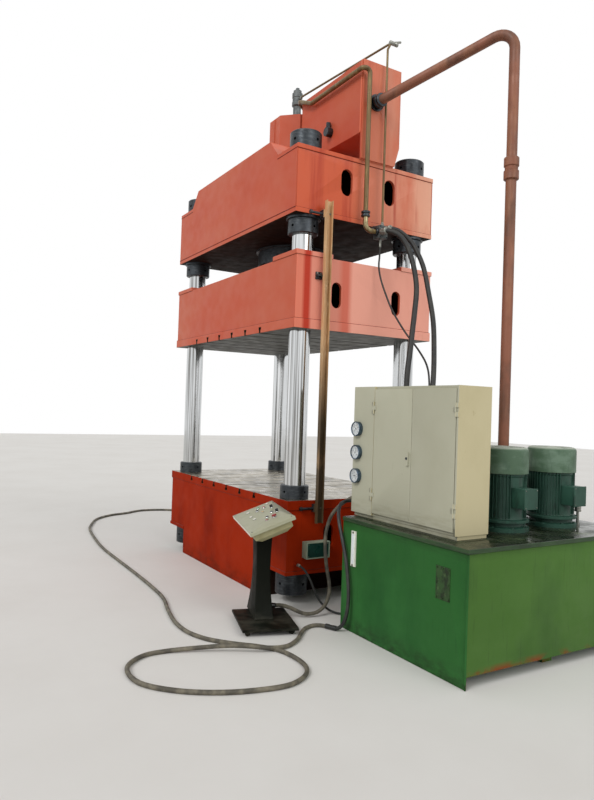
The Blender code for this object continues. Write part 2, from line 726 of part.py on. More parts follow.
def tube(name, points, diameter, finish=None, resolution=2, as_mesh=False):
    """A round bar or pipe along a list of points, with closed ends."""
    curve = bpy.data.curves.new(name, "CURVE")
    curve.dimensions = "3D"
    curve.bevel_depth = diameter / 2
    curve.bevel_resolution = resolution
    curve.use_fill_caps = True
    spline = curve.splines.new("POLY")
    spline.points.add(len(points) - 1)
    for point, place in zip(spline.points, points):
        point.co = (*place, 1)
    if not as_mesh:
        return add_object(name, curve, finish)
    guide = bpy.data.objects.new(name, curve)
    TOOLS.objects.link(guide)
    mesh = welded_mesh(guide)
    bpy.data.objects.remove(guide)
    return add_object(name, mesh, finish)


def rounded(route, bend, steps=BEND_STEPS):
    """A route of straight runs whose corners are arcs of the bend's radius."""
    route = [Vector(place) for place in route]
    points = [route[0]]
    for before, corner, after in zip(route, route[1:], route[2:]):
        run_in = (corner - before).normalized()
        run_out = (after - corner).normalized()
        turn = run_in.angle(run_out)
        room = min((corner - before).length, (after - corner).length) / 2
        reach = min(bend * math.tan(turn / 2), room)
        radius = reach / math.tan(turn / 2)
        middle = corner + (run_out - run_in).normalized() * radius / math.cos(turn / 2)
        start = corner - run_in * reach - middle
        axis = run_in.cross(run_out)
        for step in range(steps + 1):
            points.append(middle + Matrix.Rotation(turn * step / steps, 3, axis) @ start)
    points.append(route[-1])
    return points


def smooth_cord(route, spacing):
    """Evenly spaced points on a smooth curve through a cord's route, with a straight lead at each end."""
    places = [Vector(place) for place in route]
    fine = []
    for a, b, c, d in zip(places, places[1:], places[2:], places[3:]):
        for step in range(24):
            t = step / 24
            bow = (a * 2 - b * 5 + c * 4 - d) * t**2
            turn = (b * 3 - a - c * 3 + d) * t**3
            fine.append((b * 2 + (c - a) * t + bow + turn) / 2)
    fine.append(places[-2])
    length = sum((after - before).length for before, after in zip(fine, fine[1:]))
    count = max(2, round(length / spacing))
    points = [fine[0]]
    walked = 0
    for before, after in zip(fine, fine[1:]):
        step = (after - before).length
        while len(points) < count and walked + step >= length * len(points) / count:
            share = (length * len(points) / count - walked) / step
            points.append(before.lerp(after, share))
        walked += step
    return [places[0], *points, fine[-1], places[-1]]


def stretched(route, start, end):
    """A route whose two ends, with their straight leads, are moved to given places and the rest in step."""
    places = [Vector(place) for place in route]
    shift = Vector(start) - places[0]
    turn_out = Vector(end) - places[-1] - shift
    walked = [0, 0]
    for before, after in zip(places[1:-1], places[2:-1]):
        walked.append(walked[-1] + (after - before).length)
    walked.append(walked[-1])
    return [place + shift + turn_out * (run / walked[-1]) for place, run in zip(places, walked)]


def cord_tube(name, route, start, end, diameter, spacing_share, finish):
    """A hose or cable along its route, between the places where it leaves and where it ends."""
    points = smooth_cord(stretched(route, start, end), spacing_share * diameter)
    return tube(name, points, diameter, finish)


def shape_with(target, operation, tools):
    """Cut tools from a solid, or join them to it."""
    for tool in tools:
        step = target.modifiers.new(tool.name, "BOOLEAN")
        step.operation = operation
        step.solver = "EXACT"
        step.object = tool


def cut(target, *tools):
    shape_with(target, "DIFFERENCE", tools)


def join(target, *tools):
    shape_with(target, "UNION", tools)


def oval_outline(width, height, centre):
    """Outline of an upright slot with round ends."""
    radius = width / 2
    rise = height / 2 - radius
    points = []
    for side, turn in ((1, 0), (-1, math.pi)):
        for step in range(ARC_STEPS + 1):
            angle = turn + math.pi * step / ARC_STEPS
            across = centre[0] + radius * math.cos(angle)
            points.append((across, centre[1] + side * rise + radius * math.sin(angle)))
    return points


def oval_cutters(name, pitch, width, height, z, x_from, x_to):
    """Two oval bars along X, one on each side of the middle."""
    cutters = []
    for side in (-1, 1):
        outline = oval_outline(width, height, (side * pitch / 2, z))
        cutters.append(slab(name, outline, x_to - x_from, "X", ((x_from + x_to) / 2, 0, 0)))
    return cutters


def slot_cutters(name, face, direction, depth):
    """T slots that run along Y, cut from a face up or down into its plate."""
    neck = SLOT_NECK / 2
    head = SLOT_HEAD / 2
    cutters = []
    for index in range(SLOT_COUNT):
        x = (index - (SLOT_COUNT - 1) / 2) * SLOT_PITCH
        mouth = face - direction * OVERRUN
        shoulder = face + direction * SLOT_NECK_DEPTH
        bottom = shoulder + direction * SLOT_HEAD_DEPTH
        outline = (
            (x - neck, mouth), (x - neck, shoulder), (x - head, shoulder), (x - head, bottom),
            (x + head, bottom), (x + head, shoulder), (x + neck, shoulder), (x + neck, mouth),
        )
        cutters.append(slab(name, outline, depth + 2 * OVERRUN, "Y"))
    return cutters


def at_columns(make):
    """Call a maker once for each column, front left first."""
    return [make(side_x * column_x, side_y * column_y) for side_y in (-1, 1) for side_x in (-1, 1)]


def column_sleeves(name, z_from, z_to):
    """The thick tubes that the columns pass through inside a welded box."""
    radius = COLUMN_SLEEVE_D / 2
    return at_columns(lambda x, y: rod(name, radius, (x, y, z_from), (x, y, z_to), ROUND))


def column_holes(name, clearance, z_from, z_to):
    """Cutters for the columns' holes, with the columns' own facets."""
    radius = column_r + clearance
    profile = ((0, z_to), (radius, z_to), (radius, z_from), (0, z_from))
    return at_columns(lambda x, y: turned(name, profile, FINE, at=(x, y, 0)))


def make_base():
    """Welded base: foot, two arms, table plate, cells, sleeves, oval holes and slots."""
    body_x = base_x - PLATE_LIP
    body_y = base_y - PLATE_LIP
    plate_bottom = TABLE_HEIGHT - TABLE_PLATE
    joint = plate_bottom + OVERLAP
    outline = (
        (-foot_x, 0), (foot_x, 0), (foot_x, ARM_BOTTOM), (body_x, ARM_BOTTOM),
        (body_x, joint), (-body_x, joint), (-body_x, ARM_BOTTOM), (-foot_x, ARM_BOTTOM),
    )
    base = slab("base", outline, 2 * body_y, "Y", finish="base_red")
    join(base, box("table_plate", (-base_x, -base_y, plate_bottom), (base_x, base_y, TABLE_HEIGHT)))
    for side in (-1, 1):
        near, far = sorted((side * (foot_x - OVERLAP), side * base_x))
        join(base, box("arm_flange", (near, -base_y, ARM_BOTTOM - GAP), (far, base_y, arm_top)))
    rib = CENTRE_CELL / 2
    cell_y = body_y - WALL
    cells = [((-rib, -cell_y), (rib, cell_y), WALL)]
    for side in (-1, 1):
        for front, back in ((-cell_y, -WALL / 2), (WALL / 2, cell_y)):
            near, far = sorted((side * (rib + WALL), side * (foot_x - WALL)))
            cells.append(((near, front), (far, back), WALL))
        near, far = sorted((side * (foot_x + WALL), side * (body_x - WALL)))
        cells.append(((near, -cell_y), (far, cell_y), arm_top))
    for low, high, floor in cells:
        cut(base, box("base_cell", (*low, floor), (*high, plate_bottom)))
    join(base, *column_sleeves("base_sleeve", arm_top - OVERLAP, plate_bottom + OVERLAP))
    cut(base, *column_holes("base_column_hole", GAP, ARM_BOTTOM - OVERRUN, TABLE_HEIGHT + OVERRUN))
    reach = base_x + OVERRUN
    oval = (BASE_HOLE_PITCH, BASE_HOLE_WIDTH, BASE_HOLE_HEIGHT, base_hole_z)
    cut(base, *oval_cutters("base_oval", *oval, -reach, reach))
    cut(base, *slot_cutters("table_slot", TABLE_HEIGHT, -1, 2 * base_y))
    radius = EJECTOR_ROD_D / 2 + RUNNING_GAP
    hole = ((0, TABLE_HEIGHT + OVERRUN), (radius, TABLE_HEIGHT + OVERRUN), (radius, plate_bottom - OVERRUN),
            (0, plate_bottom - OVERRUN))
    cut(base, turned("ejector_hole", hole))
    place = (drain_fitting_y, drain_fitting_z)
    start = (body_x - OVERLAP, *place)
    end = (body_x + DRAIN_FITTING_REACH, *place)
    join(base, rod("drain_fitting", DRAIN_FITTING_D / 2, start, end, HEXAGON))


def make_slider():
    """Welded slider with guide sleeves, corner pads and slots in its underside."""
    body_x = slider_x - PLATE_LIP
    body_y = slider_y - PLATE_LIP
    plate_top = slider_bottom + SLIDER_PLATE
    slider = box("slider", (-body_x, -body_y, plate_top - OVERLAP), (body_x, body_y, slider_top), "crown_red")
    join(slider, box("slider_plate", (-slider_x, -slider_y, slider_bottom), (slider_x, slider_y, plate_top)))
    for side_x in (-1, 1):
        for side_y in (-1, 1):
            x_low, x_high = sorted((side_x * (slider_x - PAD_LENGTH), side_x * slider_x))
            y_low, y_high = sorted((side_y * (slider_y - PAD_DEPTH), side_y * slider_y))
            low = (x_low, y_low, slider_top - OVERLAP)
            join(slider, box("corner_pad", low, (x_high, y_high, slider_top + PAD_HEIGHT)))
    half = WALL / 2
    cell_y = body_y - WALL
    edges = (
        (-body_x + WALL, -slider_end_rib_x - half), (-slider_end_rib_x + half, -SLIDER_RIB_X - half),
        (-SLIDER_RIB_X + half, SLIDER_RIB_X - half), (SLIDER_RIB_X + half, slider_end_rib_x - half),
        (slider_end_rib_x + half, body_x - WALL),
    )
    for low, high in edges:
        cut(slider, box("slider_cell", (low, -cell_y, plate_top), (high, cell_y, slider_top - WALL)))
    join(slider, *column_sleeves("slider_sleeve", plate_top - OVERLAP, slider_top - WALL + OVERLAP))
    low_end = slider_bottom - OVERRUN
    high_end = slider_top + PAD_HEIGHT + OVERRUN
    cut(slider, *column_holes("guide_hole", RUNNING_GAP, low_end, high_end))
    z = slider_bottom + SLIDER_HOLE_RISE
    reach = slider_x + OVERRUN
    oval = (SLIDER_HOLE_PITCH, SLIDER_HOLE_WIDTH, SLIDER_HOLE_HEIGHT, z)
    cut(slider, *oval_cutters("slider_oval", *oval, -reach, reach))
    cut(slider, *slot_cutters("slider_slot", slider_bottom, 1, 2 * slider_y))


def make_crown():
    """Welded crown with a sloped hood, cells, sleeves and the cylinder's bore."""
    body_x = crown_x - PLATE_LIP
    body_y = crown_y - PLATE_LIP
    shelf_bottom = crown_shelf_top - CROWN_SHELF
    hood_foot = crown_end_rib_x
    hood_top = hood_foot - HOOD_SLOPE
    hood_seat = crown_shelf_top - OVERLAP
    outline = (
        (-body_x, crown_bottom + OVERLAP), (body_x, crown_bottom + OVERLAP), (body_x, hood_seat),
        (hood_foot, hood_seat), (hood_top, crown_top), (-hood_top, crown_top), (-hood_foot, hood_seat),
        (-body_x, hood_seat),
    )
    crown = slab("crown", outline, 2 * body_y, "Y", finish="crown_red")
    plate_top = crown_bottom + CROWN_PLATE
    join(crown, box("crown_plate", (-crown_x, -crown_y, crown_bottom), (crown_x, crown_y, plate_top)))
    for side in (-1, 1):
        near, far = sorted((side * (hood_foot - OVERLAP), side * crown_x))
        join(crown, box("crown_shelf", (near, -crown_y, shelf_bottom), (far, crown_y, crown_shelf_top)))
    half = WALL / 2
    ceiling = crown_top - WALL
    cell_y = body_y - WALL
    hood_inner = hood_top - WALL
    cell_x = CROWN_RIB_X - half
    cut(crown, box("centre_cell", (-cell_x, -cell_y, plate_top), (cell_x, cell_y, ceiling)))
    for side in (-1, 1):
        cell = (
            (side * (CROWN_RIB_X + half), plate_top), (side * (crown_end_rib_x - half), plate_top),
            (side * (crown_end_rib_x - half), shelf_bottom), (side * hood_inner, ceiling),
            (side * (CROWN_RIB_X + half), ceiling),
        )
        cut(crown, slab("hood_cell", cell, 2 * cell_y, "Y"))
        near, far = sorted((side * (crown_end_rib_x + half), side * (body_x - WALL)))
        cut(crown, box("end_cell", (near, -cell_y, plate_top), (far, cell_y, shelf_bottom)))
    join(crown, *column_sleeves("crown_sleeve", plate_top - OVERLAP, shelf_bottom + OVERLAP))
    sleeve = CYLINDER_SLEEVE_D / 2
    join(crown, rod("cylinder_sleeve", sleeve, (0, 0, plate_top - OVERLAP), (0, 0, ceiling + OVERLAP), FINE))
    cut(crown, *column_holes("crown_column_hole", GAP, crown_bottom - OVERRUN, crown_shelf_top + OVERRUN))
    bore = CYLINDER_D / 2 + GAP
    low_end = crown_bottom - OVERRUN
    high_end = crown_top + OVERRUN
    profile = ((0, high_end), (bore, high_end), (bore, low_end), (0, low_end))
    cut(crown, turned("cylinder_hole", profile, FINE))
    z = crown_bottom + CROWN_HOLE_RISE
    inner = CROWN_RIB_X - WALL
    outer = crown_x + OVERRUN
    oval = (CROWN_HOLE_PITCH, CROWN_HOLE_WIDTH, CROWN_HOLE_HEIGHT, z)
    for x_from, x_to in ((-outer, -inner), (inner, outer)):
        cut(crown, *oval_cutters("crown_oval", *oval, x_from, x_to))


def bar_hole_cutters(name, outer, z, x, y):
    """Blind holes round a nut, for the bar that turns it."""
    cutters = []
    for index in range(BAR_HOLE_COUNT):
        angle = BAR_HOLE_ANGLE + math.tau * index / BAR_HOLE_COUNT
        way = Vector((math.cos(angle), math.sin(angle), 0))
        middle = Vector((x, y, z))
        start = middle + way * (outer - BAR_HOLE_DEPTH)
        cutters.append(rod(name, BAR_HOLE_D / 2, start, middle + way * (outer + OVERRUN), BAR_HOLE_SIDES))
    return cutters


def nut_profile(outer, bottom, top):
    """A round nut's section beside its bore, with chamfered rims."""
    inner = column_r + GAP
    return [
        (outer - NUT_CHAMFER, top), (outer, top - NUT_CHAMFER), (outer, bottom), (inner, bottom),
        (inner, top),
    ]


def make_columns_and_nuts():
    """Four columns with their base collars and foot nuts, and the crown's two nuts on each."""
    foot_nut_top = ARM_BOTTOM - 2 * GAP
    foot_nut_bottom = foot_nut_top - FOOT_NUT_HEIGHT
    foot = FOOT_NUT_D / 2
    collar = COLLAR_D / 2
    collar_bottom = TABLE_HEIGHT + GAP
    collar_top = TABLE_HEIGHT + COLLAR_HEIGHT
    nut_top = crown_shelf_top + UPPER_NUT_HEIGHT
    column_top = nut_top - COLUMN_SET_BACK
    column_profile = (
        (0, column_top), (column_r - COLUMN_CHAMFER, column_top), (column_r, column_top - COLUMN_CHAMFER),
        (column_r, collar_top), (collar - NUT_CHAMFER, collar_top), (collar, collar_top - NUT_CHAMFER),
        (collar, collar_bottom), (column_r, collar_bottom), (column_r, foot_nut_top),
        (foot, foot_nut_top), (foot, foot_nut_bottom), (0, foot_nut_bottom),
    )
    washer_top = crown_bottom - GAP
    washer_bottom = washer_top - WASHER_HEIGHT
    lower_bottom = washer_bottom - LOWER_NUT_HEIGHT
    lower = LOWER_NUT_D / 2
    washer = WASHER_D / 2
    inner = column_r + GAP
    lower_profile = (
        (washer, washer_top), (washer, washer_bottom), (lower, washer_bottom), (lower, lower_bottom),
        (inner, lower_bottom), (inner, washer_top),
    )
    upper = UPPER_NUT_D / 2
    upper_profile = nut_profile(upper, crown_shelf_top + GAP, nut_top)
    number = 0

    def make(x, y):
        nonlocal number
        number += 1
        turned("column_%d" % number, column_profile, FINE, "chrome", at=(x, y, 0))
        nut = turned("crown_nut_upper_%d" % number, upper_profile, FINE, "dark_steel", True, (x, y, 0))
        cut(nut, *bar_hole_cutters("upper_nut_hole", upper, crown_shelf_top + UPPER_NUT_HEIGHT / 2, x, y))
        nut = turned("crown_nut_lower_%d" % number, lower_profile, FINE, "dark_steel", True, (x, y, 0))
        cut(nut, *bar_hole_cutters("lower_nut_hole", lower, (washer_bottom + lower_bottom) / 2, x, y))

    at_columns(make)


def make_main_cylinder():
    """Cylinder hung from the crown's underside, with its gland, and the ram on the slider."""
    outer = CYLINDER_D / 2
    bore = CYLINDER_BORE / 2
    flange = CYLINDER_FLANGE_D / 2
    gland = GLAND_D / 2
    ram = RAM_D / 2
    flange_top = crown_bottom - GAP
    flange_bottom = flange_top - CYLINDER_FLANGE
    gland_bottom = flange_bottom - GLAND_HEIGHT
    port = HEAD_PORT_D / 2
    section = (
        (outer, head_top), (outer, flange_top), (flange, flange_top), (flange, flange_bottom),
        (gland, flange_bottom), (gland, gland_bottom + NUT_CHAMFER), (gland - NUT_CHAMFER, gland_bottom),
        (ram + RUNNING_GAP, gland_bottom), (ram + RUNNING_GAP, crown_bottom), (bore, crown_bottom),
        (bore, head_bottom), (port, head_bottom), (port, head_top),
    )
    turned("main_cylinder", section, FINE, "dark_steel", True)
    piston = bore - RUNNING_GAP
    ram_bottom = slider_top + GAP
    ram_top = head_bottom - END_CUSHION - RAM_STROKE_UP
    piston_bottom = ram_top - PISTON_HEIGHT
    ram_profile = (
        (0, ram_top), (piston, ram_top), (piston, piston_bottom), (ram, piston_bottom), (ram, ram_bottom),
        (0, ram_bottom),
    )
    turned("main_ram", ram_profile, FINE, "chrome")


def make_cover():
    """Eight-sided sheet cover round the cylinder's head, open at the bottom."""
    sides = 8
    corner_share = 1 / math.cos(math.pi / sides)

    def octagon(flats):
        radius = flats / 2 * corner_share
        angles = [math.tau * (index + 0.5) / sides for index in range(sides)]
        return [(radius * math.cos(angle), radius * math.sin(angle)) for angle in angles]

    middle = (cover_bottom + cover_top) / 2
    height = cover_top - cover_bottom
    cover = slab("cylinder_cover", octagon(COVER_FLATS), height, "Z", (0, 0, middle), "crown_red")
    inside_top = cover_top - COVER_WALL
    inside_bottom = cover_bottom - OVERRUN
    inside = slab("cover_inside", octagon(COVER_FLATS - 2 * COVER_WALL), inside_top - inside_bottom, "Z",
                  (0, 0, (inside_top + inside_bottom) / 2))
    cut(cover, inside)
    neck = VALVE_NECK_D / 2 + GAP
    cut(cover, rod("cover_neck_hole", neck, (0, 0, inside_top - OVERRUN), (0, 0, cover_top + OVERRUN)))
    face = -COVER_FLATS / 2
    half = COVER_SEAM / 2
    seam_low = (-half, face - half, cover_bottom)
    join(cover, box("cover_seam", seam_low, (half, face + COVER_WALL / 2, cover_top - COVER_WALL)))


def make_prefill_valve():
    """Valve that stands on the cylinder's head and rises through the cover."""
    neck = VALVE_NECK_D / 2
    flange = VALVE_FLANGE_D / 2
    body = VALVE_BODY_D / 2
    cap = VALVE_CAP_D / 2
    stem = VALVE_STEM_D / 2
    foot = head_top + GAP
    flange_top = foot + VALVE_FLANGE
    body_bottom = cover_top + VALVE_NECK_RISE
    body_top = body_bottom + VALVE_BODY_HEIGHT
    cap_top = body_top + VALVE_CAP_HEIGHT
    stem_top = cap_top + VALVE_STEM_HEIGHT
    profile = (
        (0, stem_top), (stem, stem_top), (stem, cap_top), (cap, cap_top), (cap, body_top), (body, body_top),
        (body, body_bottom), (neck, body_bottom), (neck, flange_top), (flange, flange_top), (flange, foot),
        (0, foot),
    )
    valve = turned("prefill_valve", profile, ROUND, "dark_steel")
    branch_z = cover_top + VALVE_NECK_RISE / 2
    branch = BRANCH_D / 2
    join(valve, rod("valve_branch", branch, (0, 0, branch_z), (-BRANCH_REACH, 0, branch_z), SMALL))
    end = -BRANCH_REACH - PIPE_FLANGE
    start = -BRANCH_REACH + OVERLAP
    join(valve, rod("branch_flange", branch + PIPE_FLANGE, (start, 0, branch_z), (end, 0, branch_z), SMALL))


def make_oil_tank():
    """Steel tank on the crown: hollow body, end plate down to the shelf, saddle and drain valve."""
    left = OIL_TANK_LEFT
    front = OIL_TANK_FRONT
    back = oil_tank_back
    plate_left = oil_tank_right - END_PLATE
    low = (left, front, oil_tank_bottom)
    tank = box("oil_tank", low, (plate_left + OVERLAP, back, oil_tank_top), "crown_red")
    foot = crown_shelf_top + GAP
    taper_z = foot + END_PLATE_TAPER_HEIGHT
    outline = (
        (front, foot), (back - END_PLATE_TAPER_DEPTH, foot), (back, taper_z), (back, oil_tank_top),
        (front, oil_tank_top),
    )
    plate_middle = ((plate_left + oil_tank_right) / 2, 0, 0)
    join(tank, slab("end_plate", outline, END_PLATE, "X", plate_middle))
    saddle_low = (left, front, crown_top + GAP)
    join(tank, box("saddle", saddle_low, (left + SADDLE_LENGTH, back, oil_tank_bottom + OVERLAP)))
    wall = OIL_TANK_WALL
    inside_high = (plate_left, back - wall, oil_tank_top - wall)
    cut(tank, box("tank_inside", (left + wall, front + wall, oil_tank_bottom + wall), inside_high))
    port_z = oil_tank_bottom + RETURN_PORT_RISE
    port = RETURN_PIPE_D / 2 - OVERLAP
    port_end = (oil_tank_right + OVERRUN, RETURN_PORT_Y, port_z)
    cut(tank, rod("return_port", port, (plate_left - OVERRUN, RETURN_PORT_Y, port_z), port_end, SMALL))
    drain_z = oil_tank_top - DRAIN_DROP
    drain_start = (DRAIN_X, front + wall / 2, drain_z)
    drain_end = (DRAIN_X, front - DRAIN_REACH, drain_z)
    join(tank, rod("drain_valve", DRAIN_D / 2, drain_start, drain_end, SMALL))
    bonnet = DRAIN_D / 2
    join(tank, rod("drain_bonnet", bonnet / 2, (DRAIN_X, front - DRAIN_REACH / 2, drain_z),
                   (DRAIN_X, front - DRAIN_REACH / 2, drain_z + DRAIN_D), SMALL))


def make_return_pipe():
    """Wide pipe from the oil tank's end over to the power unit, and down to its lid."""
    port_z = oil_tank_bottom + RETURN_PORT_RISE
    face = oil_tank_right + GAP
    lead = RETURN_FLANGE_D / 2 + PIPE_FLANGE
    top = oil_tank_bottom + RETURN_TOP_RISE
    foot = UNIT_HEIGHT + GAP
    route = (
        (face, RETURN_PORT_Y, port_z), (face + lead, RETURN_PORT_Y, port_z),
        (return_foot_x, return_foot_y, top), (return_foot_x, return_foot_y, foot),
    )
    pipe = tube("return_pipe", rounded(route, PIPE_BEND), RETURN_PIPE_D, "pipe_brown", 2, True)
    flange = RETURN_FLANGE_D / 2
    join(pipe, rod("return_flange", flange, route[0], (face + PIPE_FLANGE, RETURN_PORT_Y, port_z)))
    body_start = (face + 2 * PIPE_FLANGE, RETURN_PORT_Y, port_z)
    body_end = (face + lead, RETURN_PORT_Y, port_z)
    join(pipe, rod("return_valve", RETURN_COUPLING_D / 2, body_start, body_end))
    foot_top = (return_foot_x, return_foot_y, foot + PIPE_FLANGE)
    join(pipe, rod("foot_flange", flange, (return_foot_x, return_foot_y, foot), foot_top))
    coupling_z = crown_shelf_top - RETURN_COUPLING
    coupling_top = (return_foot_x, return_foot_y, coupling_z)
    coupling_foot = (return_foot_x, return_foot_y, coupling_z - RETURN_COUPLING)
    join(pipe, rod("return_coupling", RETURN_COUPLING_D / 2, coupling_foot, coupling_top))


def make_pressure_pipe():
    """Pipe from the cover's top past the oil tank's front and down to the manifold."""
    start_x = COVER_FLATS / 2 - PRESSURE_FLANGE_D
    foot = cover_top + GAP
    run_y = OIL_TANK_FRONT - PRESSURE_PIPE_D
    rise = foot + PRESSURE_FLANGE_D
    down_x = manifold_left + MANIFOLD_LENGTH / 2
    down_y = MANIFOLD_Y - MANIFOLD_DEPTH / 2 - PRESSURE_SET_OFF
    inlet_z = manifold_bottom + MANIFOLD_HEIGHT / 2
    run_z = foot - PRESSURE_PIPE_D / 2
    route = (
        (start_x, 0, foot), (start_x, 0, rise), (OIL_TANK_LEFT, run_y, rise), (DRAIN_X, run_y, run_z),
        (down_x, run_y, run_z), (down_x, down_y, run_z), (down_x, down_y, inlet_z),
        (down_x, MANIFOLD_Y - MANIFOLD_DEPTH / 2 - GAP, inlet_z),
    )
    pipe = tube("pressure_pipe", rounded(route, PIPE_BEND), PRESSURE_PIPE_D, "pipe_brown", 2, True)
    flange = PRESSURE_FLANGE_D / 2
    join(pipe, rod("pressure_foot", flange, route[0], (start_x, 0, foot + PIPE_FLANGE)))
    inlet_end = (down_x, route[-1][1] - PIPE_FLANGE, inlet_z)
    join(pipe, rod("pressure_inlet", flange - PIPE_FLANGE / 2, inlet_end, route[-1]))


def make_pilot_pipe():
    """Thin pipe from the prefill valve over the oil tank and down to the manifold's top."""
    valve_z = cover_top + VALVE_NECK_RISE + VALVE_BODY_HEIGHT / 2
    start_x = VALVE_BODY_D / 2 + GAP
    tee_x = manifold_left + TEE_D
    tee_y = MANIFOLD_Y + MANIFOLD_DEPTH / 4
    far_y = tee_y + TEE_D
    tee_z = valve_z + PILOT_PIPE_D
    foot = manifold_top + GAP
    route = (
        (start_x, 0, valve_z), (start_x + TEE_LENGTH, 0, valve_z), (tee_x, far_y, tee_z),
        (tee_x, tee_y, tee_z - TEE_LENGTH), (tee_x, tee_y, foot),
    )
    pipe = tube("pilot_pipe", rounded(route, TEE_D), PILOT_PIPE_D, "pipe_brown", 2, True)
    tee = TEE_D / 2
    join(pipe, rod("pilot_tee", tee, (tee_x, far_y - tee, tee_z), (tee_x, far_y + TEE_LENGTH, tee_z), SMALL))
    stub_end = (tee_x, far_y + STUB_LENGTH, tee_z + TEE_D)
    join(pipe, rod("pilot_stub", PILOT_PIPE_D / 2, (tee_x, far_y, tee_z), stub_end, SMALL))
    join(pipe, rod("pilot_fitting", FITTING_D / 2, route[-1], (tee_x, tee_y, foot + FITTING_HEIGHT), 6))
    nut_end = (start_x + FITTING_HEIGHT, 0, valve_z)
    join(pipe, rod("valve_fitting", FITTING_D / 2, route[0], nut_end, 6))


def make_manifold():
    """Valve block below the crown's right edge, hung on a bracket under the crown's plate."""
    half = MANIFOLD_DEPTH / 2
    low = (manifold_left, MANIFOLD_Y - half, manifold_bottom)
    block = box("manifold", low, (manifold_right, MANIFOLD_Y + half, manifold_top), "dark_steel")
    bracket_low = (crown_x - MANIFOLD_BRACKET_REACH, MANIFOLD_Y - half, crown_bottom - GAP - MANIFOLD_BRACKET)
    bracket_high = (manifold_left + OVERLAP, MANIFOLD_Y + half, crown_bottom - GAP)
    join(block, box("manifold_bracket", bracket_low, bracket_high))


def make_hoses():
    """Rubber hoses from the manifold down to the power unit's lid."""
    cord_tube("hose_1", HOSE_1_ROUTE, hose_1_start, hose_1_end, HOSE_D, HOSE_SPACING_SHARE, "rubber")
    cord_tube("hose_2", HOSE_2_ROUTE, hose_2_start, hose_2_end, SECOND_HOSE_D, HOSE_SPACING_SHARE, "rubber")
    cord_tube("pilot_hose", PILOT_HOSE_ROUTE, pilot_hose_start, pilot_hose_end, PILOT_HOSE_D,
              PILOT_SPACING_SHARE, "cable_sheath")


def make_limit_rail():
    """Channel that stands beside the slider, on a bracket at the crown and one at the table."""
    inner = crown_x + RAIL_OFFSET
    outer = inner + RAIL_DEPTH
    half = RAIL_WIDTH / 2
    bottom = TABLE_HEIGHT - RAIL_BELOW_TABLE
    top = crown_bottom + RAIL_UP_CROWN
    rail = box("limit_rail", (inner, rail_y - half, bottom), (outer, rail_y + half, top), "pipe_brown")
    groove_low = (inner + RAIL_WALL, rail_y - half + RAIL_WALL, bottom - OVERRUN)
    groove_high = (outer + OVERRUN, rail_y + half - RAIL_WALL, top + OVERRUN)
    cut(rail, box("rail_groove", groove_low, groove_high))
    bracket = BRACKET_WIDTH / 2
    seats = ((crown_x, crown_bottom + CROWN_PLATE), (base_x, TABLE_HEIGHT - WALL))
    for face, top in seats:
        low = (face + GAP, rail_y - bracket, top - BRACKET_HEIGHT)
        join(rail, box("rail_bracket", low, (inner + RAIL_WALL / 2, rail_y + bracket, top)))


def make_trigger():
    """Arm with an eye on the slider's right face, beside the limit rail."""
    face = slider_x - PLATE_LIP + GAP
    half = TRIGGER_WIDTH / 2
    z = slider_bottom + TRIGGER_RISE
    thick = TRIGGER_THICK
    plate_low = (face, trigger_y - half, z - half)
    arm = box("trigger_arm", plate_low, (face + thick, trigger_y + half, z + half), "dark_steel")
    tongue_high = (face + TRIGGER_REACH, trigger_y + half, z + thick / 2)
    join(arm, box("trigger_tongue", (face + thick / 2, trigger_y - half, z - thick / 2), tongue_high))
    eye = TRIGGER_EYE_D / 2
    eye_x = face + (thick + TRIGGER_REACH) / 2
    eye_low = (eye_x, trigger_y, z - thick)
    cut(arm, rod("trigger_eye", eye / 2, eye_low, (eye_x, trigger_y, z + thick), SMALL))


def make_ejector():
    """Ejector cylinder bolted under the table plate, and its rod."""
    seat = TABLE_HEIGHT - TABLE_PLATE - GAP
    bottom = seat - EJECTOR_LENGTH
    rod_r = EJECTOR_ROD_D / 2
    bore = EJECTOR_BORE / 2
    flange = EJECTOR_FLANGE_D / 2
    body = EJECTOR_D / 2
    section = (
        (flange, seat), (flange, seat - EJECTOR_FLANGE), (body, seat - EJECTOR_FLANGE), (body, bottom),
        (0, bottom), (0, bottom + EJECTOR_END), (bore, bottom + EJECTOR_END), (bore, seat - EJECTOR_GLAND),
        (rod_r + RUNNING_GAP, seat - EJECTOR_GLAND), (rod_r + RUNNING_GAP, seat),
    )
    turned("ejector_cylinder", section + (section[0],), ROUND, "dark_steel")
    piston_bottom = bottom + EJECTOR_END + GAP
    piston_top = piston_bottom + EJECTOR_PISTON
    piston = bore - RUNNING_GAP
    top = TABLE_HEIGHT - EJECTOR_SET_DOWN
    profile = ((0, top), (rod_r, top), (rod_r, piston_top), (piston, piston_top), (piston, piston_bottom),
               (0, piston_bottom))
    turned("ejector_rod", profile, ROUND, "chrome")


def make_junction_box():
    """Small box on the base's right face, with a raised rim round its lid."""
    face = base_x - PLATE_LIP + GAP
    half_y = JUNCTION_WIDTH / 2
    half_z = JUNCTION_HEIGHT / 2
    front = face + JUNCTION_DEPTH
    low = (face, junction_y - half_y, junction_z - half_z)
    item = box("junction_box", low, (front, junction_y + half_y, junction_z + half_z), "unit_green")
    rim = JUNCTION_RIM
    recess_low = (front - rim / 2, junction_y - half_y + rim, junction_z - half_z + rim)
    recess_high = (front + OVERRUN, junction_y + half_y - rim, junction_z + half_z - rim)
    cut(item, box("junction_recess", recess_low, recess_high))


